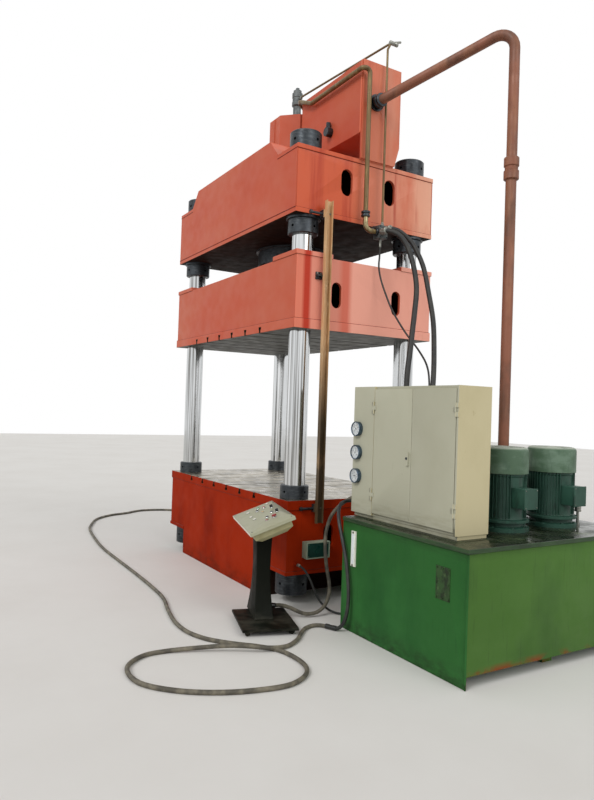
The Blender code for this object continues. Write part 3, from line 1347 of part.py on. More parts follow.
def make_power_tank():
    """Hollow steel tank on skids with a skirt at its front, and its flanged lid."""
    front = unit_front
    top = lid_bottom - GAP
    tank = box("power_tank", (unit_left, front, UNIT_CLEARANCE), (unit_right, unit_back, top), "unit_green")
    wall = UNIT_WALL
    join(tank, box("skirt", (unit_left, front, 0), (unit_right, front + SKIRT, UNIT_CLEARANCE + OVERLAP)))
    skids = (front + SKIRT / 2, (front + unit_back) / 2 - SKID_WIDTH / 2, unit_back - SKID_WIDTH)
    for y in skids:
        skid_low = (unit_left + SKID_WIDTH, y, 0)
        skid_high = (unit_right - SKID_WIDTH, y + SKID_WIDTH, UNIT_CLEARANCE + OVERLAP)
        join(tank, box("skid", skid_low, skid_high))
    inside_low = (unit_left + wall, front + wall, UNIT_CLEARANCE + wall)
    cut(tank, box("unit_inside", inside_low, (unit_right - wall, unit_back - wall, top + OVERRUN)))
    gauge_x = unit_left + LEVEL_GAUGE_INSET
    patch_x = unit_right - PATCH_INSET
    plates = (
        (gauge_x, LEVEL_GAUGE_WIDTH, LEVEL_GAUGE_Z, LEVEL_GAUGE_HEIGHT, LEVEL_GAUGE_DEPTH),
        (patch_x, PATCH_WIDTH, PATCH_Z, PATCH_HEIGHT, PATCH_DEPTH),
    )
    for x, width, z, height, depth in plates:
        low = (x - width / 2, front - depth, z - height / 2)
        join(tank, box("front_plate", low, (x + width / 2, front + wall / 2, z + height / 2)))

    lip = UNIT_LID_LIP
    lid_low = (unit_left - lip, front - lip, lid_bottom)
    lid = box("tank_lid", lid_low, (unit_right + lip, unit_back + lip, UNIT_HEIGHT), "unit_green")
    for end, diameter in ((hose_1_end, HOSE_D), (hose_2_end, SECOND_HOSE_D), (pilot_hose_end, PILOT_HOSE_D)):
        x, y = end[:2]
        radius = diameter / 2 + SOCKET_WALL
        top = UNIT_HEIGHT + SOCKET_HEIGHT
        join(lid, rod("hose_socket", radius, (x, y, UNIT_HEIGHT - OVERLAP), (x, y, top), SMALL))


def make_filler_cap():
    """Filler and breather post on the power unit's lid."""
    x = unit_right - FILLER_FROM_RIGHT
    foot = UNIT_HEIGHT + GAP
    top = foot + FILLER_HEIGHT
    pipe = FILLER_D / 2
    cap = FILLER_CAP_D / 2
    seat = pipe + SOCKET_WALL / 2
    neck = top - FILLER_CAP_HEIGHT
    profile = (
        (0, top), (cap - PATCH_DEPTH, top), (cap, top - PATCH_DEPTH), (cap, neck), (pipe, neck),
        (pipe, foot + PIPE_FLANGE), (seat, foot + PIPE_FLANGE), (seat, foot), (0, foot),
    )
    turned("filler_cap", profile, SMALL, "dark_steel", at=(x, unit_back - FILLER_FROM_BACK, 0))


def knuckle(name, x, z_from, z_to, side, carrier_y):
    """Hinge barrel with a small leaf that reaches back to the sheet that carries it."""
    axis_y = cabinet_front - KNUCKLE_PROUD
    barrel = rod(name, KNUCKLE_D / 2, (x, axis_y, z_from), (x, axis_y, z_to), SMALL)
    near, far = sorted((x, x + side * KNUCKLE_LEAF))
    leaf_front = axis_y - KNUCKLE_LEAF_THICK / 2
    leaf = box(name, (near, leaf_front, z_from), (far, carrier_y, z_to))
    return barrel, leaf


def make_cabinet():
    """Sheet cabinet with a fixed gauge strip and two hinged doors over its opening."""
    face = cabinet_front + DOOR_THICK
    sheet = CABINET_SHEET
    body_bottom = cabinet_bottom + CABINET_PLINTH
    cabinet = box("valve_cabinet", (cabinet_left, face, body_bottom - OVERLAP),
                  (cabinet_right, cabinet_back, cabinet_top), "cabinet_cream")
    strip_right = cabinet_left + GAUGE_STRIP
    strip_low = (cabinet_left, cabinet_front, body_bottom)
    join(cabinet, box("gauge_strip", strip_low, (strip_right, face + sheet, cabinet_top)))
    set_back = CABINET_PLINTH_SET_BACK
    plinth_low = (cabinet_left + set_back, face + set_back, cabinet_bottom)
    join(cabinet, box("plinth", plinth_low, (cabinet_right - set_back, cabinet_back - set_back, body_bottom)))
    inside_low = (cabinet_left + sheet, face + sheet, body_bottom + sheet)
    inside_high = (cabinet_right - sheet, cabinet_back - sheet, cabinet_top - sheet)
    cut(cabinet, box("cabinet_inside", inside_low, inside_high))
    leaf_left = strip_right
    leaf_right = cabinet_right - DOOR_MARGIN
    rebate = DOOR_REBATE
    opening_low = (leaf_left + rebate, face - OVERRUN, body_bottom + DOOR_MARGIN + rebate)
    opening_high = (leaf_right - rebate, face + OVERRUN, cabinet_top - DOOR_MARGIN - rebate)
    cut(cabinet, box("door_opening", opening_low, opening_high))
    jamb_low = (leaf_right + DOOR_HEM, cabinet_front, body_bottom)
    join(cabinet, box("right_jamb", jamb_low, (cabinet_right, face + sheet, cabinet_top)))

    bottom = body_bottom + DOOR_MARGIN
    top = cabinet_top - DOOR_MARGIN
    seam = (leaf_left + leaf_right) / 2
    hinge_inset = HINGE_INSET_SHARE * (top - bottom)
    doors = (
        ("door_left", leaf_left, leaf_left + DOOR_HEM, seam - DOOR_SEAM / 2, 1),
        ("door_right", leaf_right, seam + DOOR_SEAM / 2, leaf_right - DOOR_HEM, -1),
    )
    for name, axis_x, low_x, high_x, side in doors:
        door = box(name, (low_x, cabinet_front, bottom), (high_x, face - GAP, top), "cabinet_cream")
        pan_low = (low_x + DOOR_HEM, cabinet_front + DOOR_HEM, bottom + DOOR_HEM)
        cut(door, box(name + "_pan", pan_low, (high_x - DOOR_HEM, face + OVERRUN, top - DOOR_HEM)))
        for z in (bottom + hinge_inset, top - hinge_inset):
            half = KNUCKLE_HEIGHT / 2
            leaf_y = cabinet_front + DOOR_HEM / 2
            join(door, *knuckle(name + "_knuckle", axis_x, z - half, z + half, side, leaf_y))
            for start in (z - half - GAP - KNUCKLE_HEIGHT, z + half + GAP):
                end = start + KNUCKLE_HEIGHT
                join(cabinet, *knuckle("jamb_knuckle", axis_x, start, end, -side, cabinet_front + DOOR_HEM))
        if side > 0:
            lock_x = high_x - LOCK_WIDTH
            lock_z = cabinet_bottom + LOCK_RISE
            lock_low = (lock_x - LOCK_WIDTH / 2, cabinet_front - LOCK_REACH, lock_z - LOCK_HEIGHT / 2)
            lock_high = (lock_x + LOCK_WIDTH / 2, cabinet_front + DOOR_HEM / 2, lock_z + LOCK_HEIGHT / 2)
            join(door, box("door_lock", lock_low, lock_high))

    for index in range(GAUGE_COUNT):
        x = cabinet_left + GAUGE_FROM_LEFT
        z = UNIT_HEIGHT + GAUGE_TOP_RISE - index * GAUGE_PITCH
        radius = GAUGE_D / 2
        front = cabinet_front - GAUGE_REACH
        join(cabinet, rod("gauge_body", radius, (x, cabinet_front + sheet / 2, z), (x, front, z)))
        dial = radius - GAUGE_RIM
        cut(cabinet, rod("gauge_dial", dial, (x, front + GAUGE_RIM, z), (x, front - OVERRUN, z)))


def round_clearance(radius):
    """Radius of a small bore in which a small round part turns freely."""
    return (radius + RUNNING_GAP) / math.cos(math.pi / SMALL)


def fin_outline(inner, height, count, share):
    """Outline of a round body with cooling fins all round."""
    points = []
    pitch = math.tau / count
    for index in range(count):
        middle = index * pitch
        half = pitch * share / 2
        for radius, angle in (
            (inner, middle - half), (inner + height, middle - half), (inner + height, middle + half),
            (inner, middle + half),
        ):
            points.append((radius * math.cos(angle), radius * math.sin(angle)))
    return points


def make_motor(name, y):
    """Upright motor: flange and finned body, terminal box, rotor with its fan, and fan cowl."""
    foot = UNIT_HEIGHT + GAP
    flange_top = foot + MOTOR_FLANGE
    body_top = flange_top + MOTOR_BODY_HEIGHT
    outline = fin_outline(MOTOR_BODY_D / 2, FIN_HEIGHT, FIN_COUNT, FIN_SHARE)
    body_bottom = flange_top - OVERLAP
    middle = (motor_x, y, (body_top + body_bottom) / 2)
    motor = slab("motor_" + name, outline, body_top - body_bottom, "Z", middle, "motor_green")
    flange = MOTOR_FLANGE_D / 2
    flange_plate = foot + MOTOR_FLANGE / 3
    lantern = MOTOR_BODY_D / 2
    flange_profile = (
        (0, flange_top), (flange, flange_top), (flange, flange_top - MOTOR_FLANGE / 4),
        (lantern, flange_top - MOTOR_FLANGE / 4), (lantern, flange_plate), (flange, flange_plate),
        (flange, foot), (0, foot),
    )
    join(motor, turned("motor_flange", flange_profile, ROUND, at=(motor_x, y, 0)))
    box_reach = MOTOR_BODY_D / 2 + TERMINAL_WIDTH
    terminal_z = flange_top + MOTOR_BODY_HEIGHT / 2
    half = TERMINAL_LENGTH / 2
    terminal_low = (motor_x + MOTOR_BODY_D / 2 - FIN_HEIGHT, y - half, terminal_z - TERMINAL_HEIGHT / 2)
    terminal_high = (motor_x + box_reach, y + half, terminal_z + TERMINAL_HEIGHT / 2)
    join(motor, box("terminal_box", terminal_low, terminal_high))
    shaft = SHAFT_D / 2
    bore_bottom = body_top - SHAFT_HOUSED - GAP
    bore_r = round_clearance(shaft)
    bore = ((0, body_top + OVERRUN), (bore_r, body_top + OVERRUN), (bore_r, bore_bottom), (0, bore_bottom))
    cut(motor, turned("shaft_bore", bore, SMALL, at=(motor_x, y, 0)))

    cowl_outer = COWL_D / 2
    cowl_inner = cowl_outer - COWL_WALL
    cowl_bottom = body_top - COWL_LAP
    cowl_top = cowl_bottom + COWL_HEIGHT
    corner = COWL_CORNER
    seat = (MOTOR_BODY_D / 2 + FIN_HEIGHT + GAP) / math.cos(math.pi / ROUND)
    across = cowl_outer - corner
    up = cowl_top - corner
    angles = (0, math.pi / 4, math.pi / 2)
    outer_arc = [(across + corner * math.sin(angle), up + corner * math.cos(angle)) for angle in angles]
    inner_corner = corner - COWL_WALL
    inner_arc = [
        (across + inner_corner * math.sin(angle), up + inner_corner * math.cos(angle))
        for angle in reversed(angles)
    ]
    profile = [(0, cowl_top)] + outer_arc + [
        (cowl_outer, cowl_bottom), (seat, cowl_bottom), (seat, body_top), (cowl_inner, body_top),
    ] + inner_arc + [(0, cowl_top - COWL_WALL)]
    cowl = turned("cowl_" + name, profile, ROUND, "motor_green", at=(motor_x, y, 0))
    ring_in = FAN_HUB_D / 2
    ring_out = cowl_outer - COWL_RIM
    slot_pitch = math.tau / COWL_SLOT_COUNT
    half_slot = slot_pitch / 4
    for index in range(COWL_SLOT_COUNT):
        middle = index * slot_pitch
        outline = [
            (radius * math.cos(angle), radius * math.sin(angle))
            for radius, angle in (
                (ring_in, middle - half_slot), (ring_out, middle - half_slot), (ring_out, middle + half_slot),
                (ring_in, middle + half_slot),
            )
        ]
        cut(cowl, slab("cowl_slot", outline, 2 * OVERRUN, "Z", (motor_x, y, cowl_top)))

    shaft_bottom = body_top - SHAFT_HOUSED
    shaft_top = body_top + SHAFT_PROUD
    hub = FAN_HUB_D / 2
    hub_bottom = shaft_top - FAN_HEIGHT
    rotor_profile = (
        (0, shaft_top), (hub, shaft_top), (hub, hub_bottom), (shaft, hub_bottom), (shaft, shaft_bottom),
        (0, shaft_bottom),
    )
    rotor = turned("rotor_" + name, rotor_profile, SMALL, "dark_steel", at=(motor_x, y, 0))
    blade_half = FAN_BLADE_THICK / 2
    for index in range(FAN_BLADES // 2):
        blade = box("fan_blade", (-FAN_D / 2, -blade_half, hub_bottom + blade_half),
                    (FAN_D / 2, blade_half, shaft_top - blade_half))
        blade.location = (motor_x, y, (hub_bottom + shaft_top) / 2)
        blade.rotation_euler = (0, 0, math.pi * index / (FAN_BLADES // 2))
        join(rotor, blade)


def make_console():
    """Console on its post: wheeled base, flared post, sloped housing, lid and controls."""
    stand = bpy.data.objects.new("console_stand", None)
    PRESS.objects.link(stand)
    stand.location = (console_x, console_y, 0)
    stand.rotation_euler = (0, 0, CONSOLE_YAW)
    tilt = bpy.data.objects.new("console_tilt", None)
    PRESS.objects.link(tilt)
    tilt.parent = stand
    tilt.location = (0, 0, PANEL_HEIGHT)
    tilt.rotation_euler = (CONSOLE_TILT, 0, 0)

    def stand_tool(item):
        item.parent = stand
        return item

    def tilt_tool(item):
        item.parent = tilt
        return item

    plate_top = CONSOLE_BASE_HEIGHT
    plate_bottom = plate_top - CONSOLE_BASE_PLATE
    half_x = CONSOLE_BASE_WIDTH / 2
    half_y = CONSOLE_BASE_DEPTH / 2
    base_low = (CONSOLE_BASE_RIGHT - half_x, CONSOLE_BASE_BACK - half_y, plate_bottom)
    base_high = (CONSOLE_BASE_RIGHT + half_x, CONSOLE_BASE_BACK + half_y, plate_top)
    base = stand_tool(box("console_base", base_low, base_high, "post_charcoal"))
    wheel = CASTER_D / 2
    for side_x in (-1, 1):
        for side_y in (-1, 1):
            x = CONSOLE_BASE_RIGHT + side_x * (half_x - CASTER_D)
            y = CONSOLE_BASE_BACK + side_y * (half_y - CASTER_D)
            ends = ((x - CASTER_WIDTH / 2, y, wheel), (x + CASTER_WIDTH / 2, y, wheel))
            join(base, stand_tool(rod("console_caster", wheel, *ends, SMALL)))

    housing_top = -PANEL_SHEET - GAP
    housing_bottom = housing_top - HOUSING_HEIGHT
    shape = bmesh.new()
    rings = []
    for width, depth, z in (
        (HOUSING_FLOOR_WIDTH, HOUSING_FLOOR_DEPTH, housing_bottom),
        (HOUSING_WIDTH, HOUSING_DEPTH, housing_bottom + HOUSING_HEIGHT / 3),
        (HOUSING_WIDTH, HOUSING_DEPTH, housing_top),
    ):
        corners = ((-width, -depth), (width, -depth), (width, depth), (-width, depth))
        rings.append([shape.verts.new((x / 2, y / 2, z)) for x, y in corners])
    for lower, upper in zip(rings, rings[1:]):
        for index in range(4):
            after = (index + 1) % 4
            shape.faces.new((lower[index], lower[after], upper[after], upper[index]))
    shape.faces.new(list(reversed(rings[0])))
    shape.faces.new(rings[-1])
    mesh = bpy.data.meshes.new("console_housing")
    shape.to_mesh(mesh)
    shape.free()
    housing = tilt_tool(add_object("console_housing", mesh, "console_cream"))
    for width, depth, floor in (
        (HOUSING_FLOOR_WIDTH, HOUSING_FLOOR_DEPTH, housing_bottom + 2 * PANEL_SHEET),
        (HOUSING_WIDTH, HOUSING_DEPTH, housing_bottom + HOUSING_HEIGHT / 3),
    ):
        inside_x = width / 2 - PANEL_SHEET
        inside_y = depth / 2 - PANEL_SHEET
        hollow_high = (inside_x, inside_y, housing_top + OVERRUN)
        cut(housing, tilt_tool(box("housing_inside", (-inside_x, -inside_y, floor), hollow_high)))

    lid = tilt_tool(box("console_lid", (-PANEL_WIDTH / 2, -PANEL_DEPTH / 2, -PANEL_RIM),
                        (PANEL_WIDTH / 2, PANEL_DEPTH / 2, 0), "console_cream"))
    under_x = PANEL_WIDTH / 2 - PANEL_SHEET
    under_y = PANEL_DEPTH / 2 - PANEL_SHEET
    under_low = (-under_x, -under_y, -PANEL_RIM - OVERRUN)
    cut(lid, tilt_tool(box("lid_under", under_low, (under_x, under_y, -PANEL_SHEET))))

    def on_panel(shares):
        return shares[0] * PANEL_WIDTH, shares[1] * PANEL_DEPTH

    def bezel(shares, radius, bore):
        x, y = on_panel(shares)
        join(lid, tilt_tool(rod("bezel", radius, (x, y, -PANEL_SHEET / 2), (x, y, BEZEL_HEIGHT), SMALL)))
        cut(lid, tilt_tool(rod("bezel_bore", bore, (x, y, -OVERRUN), (x, y, BEZEL_HEIGHT + OVERRUN), SMALL)))

    plunger = BUTTON_D / 2
    for name, shares in BUTTON_SHARES.items():
        bezel(shares, BEZEL_D / 2, plunger + RUNNING_GAP)
        top = BEZEL_HEIGHT + BUTTON_HEIGHT / 2
        finish = "button_green" if name == "button_start" else "button_black"
        button = rod(name, plunger, (0, 0, top - BUTTON_STEM), (0, 0, top), SMALL, finish)
        x, y = on_panel(shares)
        button.location = (x, y, top - BUTTON_STEM / 2)
        tilt_tool(button)
    knob = KNOB_D / 2
    for name, shares in KNOB_SHARES.items():
        bezel(shares, BEZEL_D / 2, round_clearance(plunger))
        base_z = BEZEL_HEIGHT + GAP
        top = base_z + KNOB_HEIGHT
        profile = ((0, top), (knob, top), (knob, base_z), (plunger, base_z), (plunger, top - BUTTON_STEM),
                   (0, top - BUTTON_STEM))
        x, y = on_panel(shares)
        selector = tilt_tool(turned(name, profile, SMALL, "button_black", at=(x, y, 0)))
        bar_low = (x - KNOB_BAR / 2, y - knob + KNOB_BAR / 4, top - OVERLAP)
        bar_high = (x + KNOB_BAR / 2, y + knob - KNOB_BAR / 4, top + KNOB_BAR_RISE)
        join(selector, tilt_tool(box("selector_bar", bar_low, bar_high)))
    bezel(STOP_SHARES, BEZEL_D / 2, STOP_NECK_D / 2 + RUNNING_GAP)
    stop_bottom = BEZEL_HEIGHT + STOP_TRAVEL + GAP
    stop_top = stop_bottom + STOP_HEIGHT
    head = STOP_D / 2
    neck = STOP_NECK_D / 2
    stop_profile = (
        (0, stop_top), (head * STOP_CROWN_SHARE, stop_top - STOP_HEIGHT * STOP_EDGE_SHARE),
        (head, stop_top - STOP_HEIGHT * STOP_SIDE_SHARE), (head, stop_bottom), (neck, stop_bottom),
        (neck, stop_top - BUTTON_STEM), (0, stop_top - BUTTON_STEM),
    )
    x, y = on_panel(STOP_SHARES)
    tilt_tool(turned("emergency_stop", stop_profile, SMALL, "button_red", at=(x, y, 0)))
    for shares in LAMP_SHARES:
        x, y = on_panel(shares)
        lamp = rod("pilot_lamp", LAMP_D / 2, (x, y, -PANEL_SHEET / 2), (x, y, LAMP_HEIGHT), SMALL)
        join(lid, tilt_tool(lamp))

    post_foot = CONSOLE_BASE_HEIGHT + GAP
    post_top = PANEL_HEIGHT
    shape = bmesh.new()
    rings = []
    for step in range(POST_STEPS + 1):
        rise_share = step / POST_STEPS
        z = post_foot + (post_top - post_foot) * rise_share
        flare = max(0, 1 - (z - post_foot) / POST_FLARE_HEIGHT) ** 2
        width = POST_WIDTH_TOP + (POST_WIDTH_FOOT - POST_WIDTH_TOP) * flare
        bow = math.sin(math.pi * rise_share)
        depth = POST_DEPTH_TOP + (POST_DEPTH_WAIST - POST_DEPTH_TOP) * bow
        depth += (POST_DEPTH_FOOT - POST_DEPTH_TOP) * flare
        corners = ((-width, -depth), (width, -depth), (width, depth), (-width, depth))
        rings.append([shape.verts.new((x / 2, y / 2, z)) for x, y in corners])
    for lower, upper in zip(rings, rings[1:]):
        for index in range(4):
            after = (index + 1) % 4
            shape.faces.new((lower[index], lower[after], upper[after], upper[index]))
    shape.faces.new(list(reversed(rings[0])))
    shape.faces.new(rings[-1])
    mesh = bpy.data.meshes.new("console_post")
    shape.to_mesh(mesh)
    shape.free()
    post = stand_tool(add_object("console_post", mesh, "post_charcoal"))
    post.location = (POST_SET_RIGHT, 0, 0)
    above_low = (-PANEL_WIDTH, -PANEL_WIDTH, housing_bottom - GAP)
    cut(post, tilt_tool(box("above_post", above_low, (PANEL_WIDTH, PANEL_WIDTH, PANEL_WIDTH))))


def make_drain_hose():
    """Small hose at the base's right front corner, from its fitting down to the power unit."""
    cord_tube("drain_hose", DRAIN_HOSE_ROUTE, drain_hose_start, drain_hose_end, DRAIN_HOSE_D,
              DRAIN_SPACING_SHARE, "cable_sheath")


def make_cables():
    """Cables on the floor and down from the valve cabinet."""
    cord_tube("floor_cable", FLOOR_CABLE_ROUTE, floor_cable_start, floor_cable_end, FLOOR_CABLE_D,
              FLOOR_SPACING_SHARE, "cable_sheath")
    cord_tube("supply_cable", SUPPLY_CABLE_ROUTE, supply_cable_start, supply_cable_end, SUPPLY_CABLE_D,
              CABLE_SPACING_SHARE, "rubber")
    cord_tube("console_cable", CONSOLE_CABLE_ROUTE, console_cable_start, console_cable_end, CONSOLE_CABLE_D,
              CABLE_SPACING_SHARE, "cable_sheath")


make_base()
make_slider()
make_crown()
make_columns_and_nuts()
make_main_cylinder()
make_cover()
make_prefill_valve()
make_oil_tank()
make_return_pipe()
make_pressure_pipe()
make_pilot_pipe()
make_manifold()
make_hoses()
make_limit_rail()
make_trigger()
make_ejector()
make_junction_box()
make_power_tank()
make_filler_cap()
make_cabinet()
make_motor("front", motor_front_y)
make_motor("back", motor_front_y + MOTOR_PITCH)
make_console()
make_drain_hose()
make_cables()
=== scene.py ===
"""Looks of the four-column hydraulic press: its finishes, its detailed pieces, the stage and the camera.

Laid out as an add-on and run as a script. Metres, +Z up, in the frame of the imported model.
"""

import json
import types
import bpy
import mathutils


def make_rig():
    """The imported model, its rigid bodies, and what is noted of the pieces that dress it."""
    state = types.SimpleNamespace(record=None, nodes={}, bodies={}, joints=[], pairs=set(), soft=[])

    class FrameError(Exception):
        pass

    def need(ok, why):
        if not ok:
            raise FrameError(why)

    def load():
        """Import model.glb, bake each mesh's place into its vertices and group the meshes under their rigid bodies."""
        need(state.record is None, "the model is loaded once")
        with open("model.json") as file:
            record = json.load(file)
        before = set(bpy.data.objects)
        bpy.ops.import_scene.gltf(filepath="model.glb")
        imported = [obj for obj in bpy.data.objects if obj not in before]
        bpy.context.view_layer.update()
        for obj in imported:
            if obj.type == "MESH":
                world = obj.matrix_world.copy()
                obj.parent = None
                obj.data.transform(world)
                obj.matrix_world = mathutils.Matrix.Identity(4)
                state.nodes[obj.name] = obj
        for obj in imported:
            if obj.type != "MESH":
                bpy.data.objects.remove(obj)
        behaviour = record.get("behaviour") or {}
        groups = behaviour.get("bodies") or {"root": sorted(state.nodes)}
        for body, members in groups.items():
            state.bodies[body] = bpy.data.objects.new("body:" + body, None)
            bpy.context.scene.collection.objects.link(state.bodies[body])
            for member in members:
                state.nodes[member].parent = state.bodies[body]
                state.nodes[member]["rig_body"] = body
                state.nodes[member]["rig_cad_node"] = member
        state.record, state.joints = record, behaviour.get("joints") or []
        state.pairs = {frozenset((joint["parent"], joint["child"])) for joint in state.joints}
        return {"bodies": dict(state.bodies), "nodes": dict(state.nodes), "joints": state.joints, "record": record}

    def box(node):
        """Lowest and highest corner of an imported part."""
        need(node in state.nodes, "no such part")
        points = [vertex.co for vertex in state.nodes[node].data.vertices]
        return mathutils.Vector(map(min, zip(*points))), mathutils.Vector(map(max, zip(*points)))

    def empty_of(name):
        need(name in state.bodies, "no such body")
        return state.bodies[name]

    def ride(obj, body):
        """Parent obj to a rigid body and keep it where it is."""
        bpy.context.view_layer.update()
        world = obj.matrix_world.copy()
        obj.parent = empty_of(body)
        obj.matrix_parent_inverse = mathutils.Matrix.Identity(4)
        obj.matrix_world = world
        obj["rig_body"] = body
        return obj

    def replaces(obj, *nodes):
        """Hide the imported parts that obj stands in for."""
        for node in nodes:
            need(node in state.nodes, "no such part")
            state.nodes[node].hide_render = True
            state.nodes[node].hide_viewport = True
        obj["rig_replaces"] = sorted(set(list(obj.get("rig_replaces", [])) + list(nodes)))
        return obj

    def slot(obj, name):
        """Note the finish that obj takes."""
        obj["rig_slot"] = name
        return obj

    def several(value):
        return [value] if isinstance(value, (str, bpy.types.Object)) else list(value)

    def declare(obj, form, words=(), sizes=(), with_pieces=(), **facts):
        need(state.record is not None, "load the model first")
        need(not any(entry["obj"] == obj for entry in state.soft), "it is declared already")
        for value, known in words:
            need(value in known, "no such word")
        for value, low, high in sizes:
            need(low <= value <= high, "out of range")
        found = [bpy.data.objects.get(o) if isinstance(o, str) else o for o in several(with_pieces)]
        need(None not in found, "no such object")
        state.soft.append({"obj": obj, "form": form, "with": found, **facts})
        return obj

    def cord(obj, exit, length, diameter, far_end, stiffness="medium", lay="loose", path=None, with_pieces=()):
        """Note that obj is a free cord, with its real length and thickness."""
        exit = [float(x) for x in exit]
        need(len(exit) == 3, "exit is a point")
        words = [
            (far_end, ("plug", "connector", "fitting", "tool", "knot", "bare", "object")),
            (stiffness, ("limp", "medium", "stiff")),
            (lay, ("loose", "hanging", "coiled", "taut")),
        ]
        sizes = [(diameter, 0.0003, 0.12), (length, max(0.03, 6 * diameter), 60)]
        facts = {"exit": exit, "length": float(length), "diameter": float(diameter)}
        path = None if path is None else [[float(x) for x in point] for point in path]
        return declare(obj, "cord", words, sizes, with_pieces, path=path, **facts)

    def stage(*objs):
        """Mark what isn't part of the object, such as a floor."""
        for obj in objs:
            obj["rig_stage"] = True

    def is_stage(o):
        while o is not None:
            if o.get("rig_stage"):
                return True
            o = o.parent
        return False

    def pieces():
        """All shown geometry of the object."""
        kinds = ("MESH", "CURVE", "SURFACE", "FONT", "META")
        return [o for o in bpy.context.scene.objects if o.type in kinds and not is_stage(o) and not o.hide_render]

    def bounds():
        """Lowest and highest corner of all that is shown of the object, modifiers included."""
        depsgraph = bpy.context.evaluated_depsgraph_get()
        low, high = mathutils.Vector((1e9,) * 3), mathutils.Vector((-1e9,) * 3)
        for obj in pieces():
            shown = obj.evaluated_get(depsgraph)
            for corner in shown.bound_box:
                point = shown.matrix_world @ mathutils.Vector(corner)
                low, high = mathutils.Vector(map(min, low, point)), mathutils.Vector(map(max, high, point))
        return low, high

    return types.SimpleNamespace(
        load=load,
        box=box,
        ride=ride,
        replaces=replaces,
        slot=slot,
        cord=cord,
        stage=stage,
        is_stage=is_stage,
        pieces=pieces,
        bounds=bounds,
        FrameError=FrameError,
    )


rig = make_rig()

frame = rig.load()

import json
import math

import bmesh
import bpy
from bpy.props import FloatProperty, FloatVectorProperty, PointerProperty
from mathutils import Matrix, Vector

bl_info = {
    "name": "Four-column hydraulic press",
    "version": (1, 0, 0),
    "blender": (4, 5, 0),
    "location": "View3D > Sidebar > Press",
    "description": "Makes the looks of a hydraulic press round its packed model",
    "category": "Object",
}

CAD_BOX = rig.bounds()
SIZE_FILE = "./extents.json"

# The camera, fitted to the press's corners
CAMERA_PLACE = (6.161, -3.5705, 1.6524)
CAMERA_AZIMUTH = math.radians(59.061)
CAMERA_PITCH = math.radians(0.878)
CAMERA_ROLL = math.radians(1.932)
CAMERA_LENS = 29.93
SENSOR_WIDTH = 36

# The light: strength of the white surroundings, and each sun's turn in degrees, power and width in degrees
AMBIENT = 0.50
SUNS = (("key_sun", (52, 0, 20), 1.5, 25), ("side_sun", (58, 0, 100), 0.9, 40))
FLOOR_SIZE = 60

# The console's panel: where its middle is, how it is turned about Z and then tilted, and its size
CONSOLE_PLACE = (1.504, -1.068)
PANEL_Z = 0.806
CONSOLE_YAW = math.radians(-16.8)
CONSOLE_TILT = math.radians(21.3)
PANEL_SIZE = (0.823, 0.358)

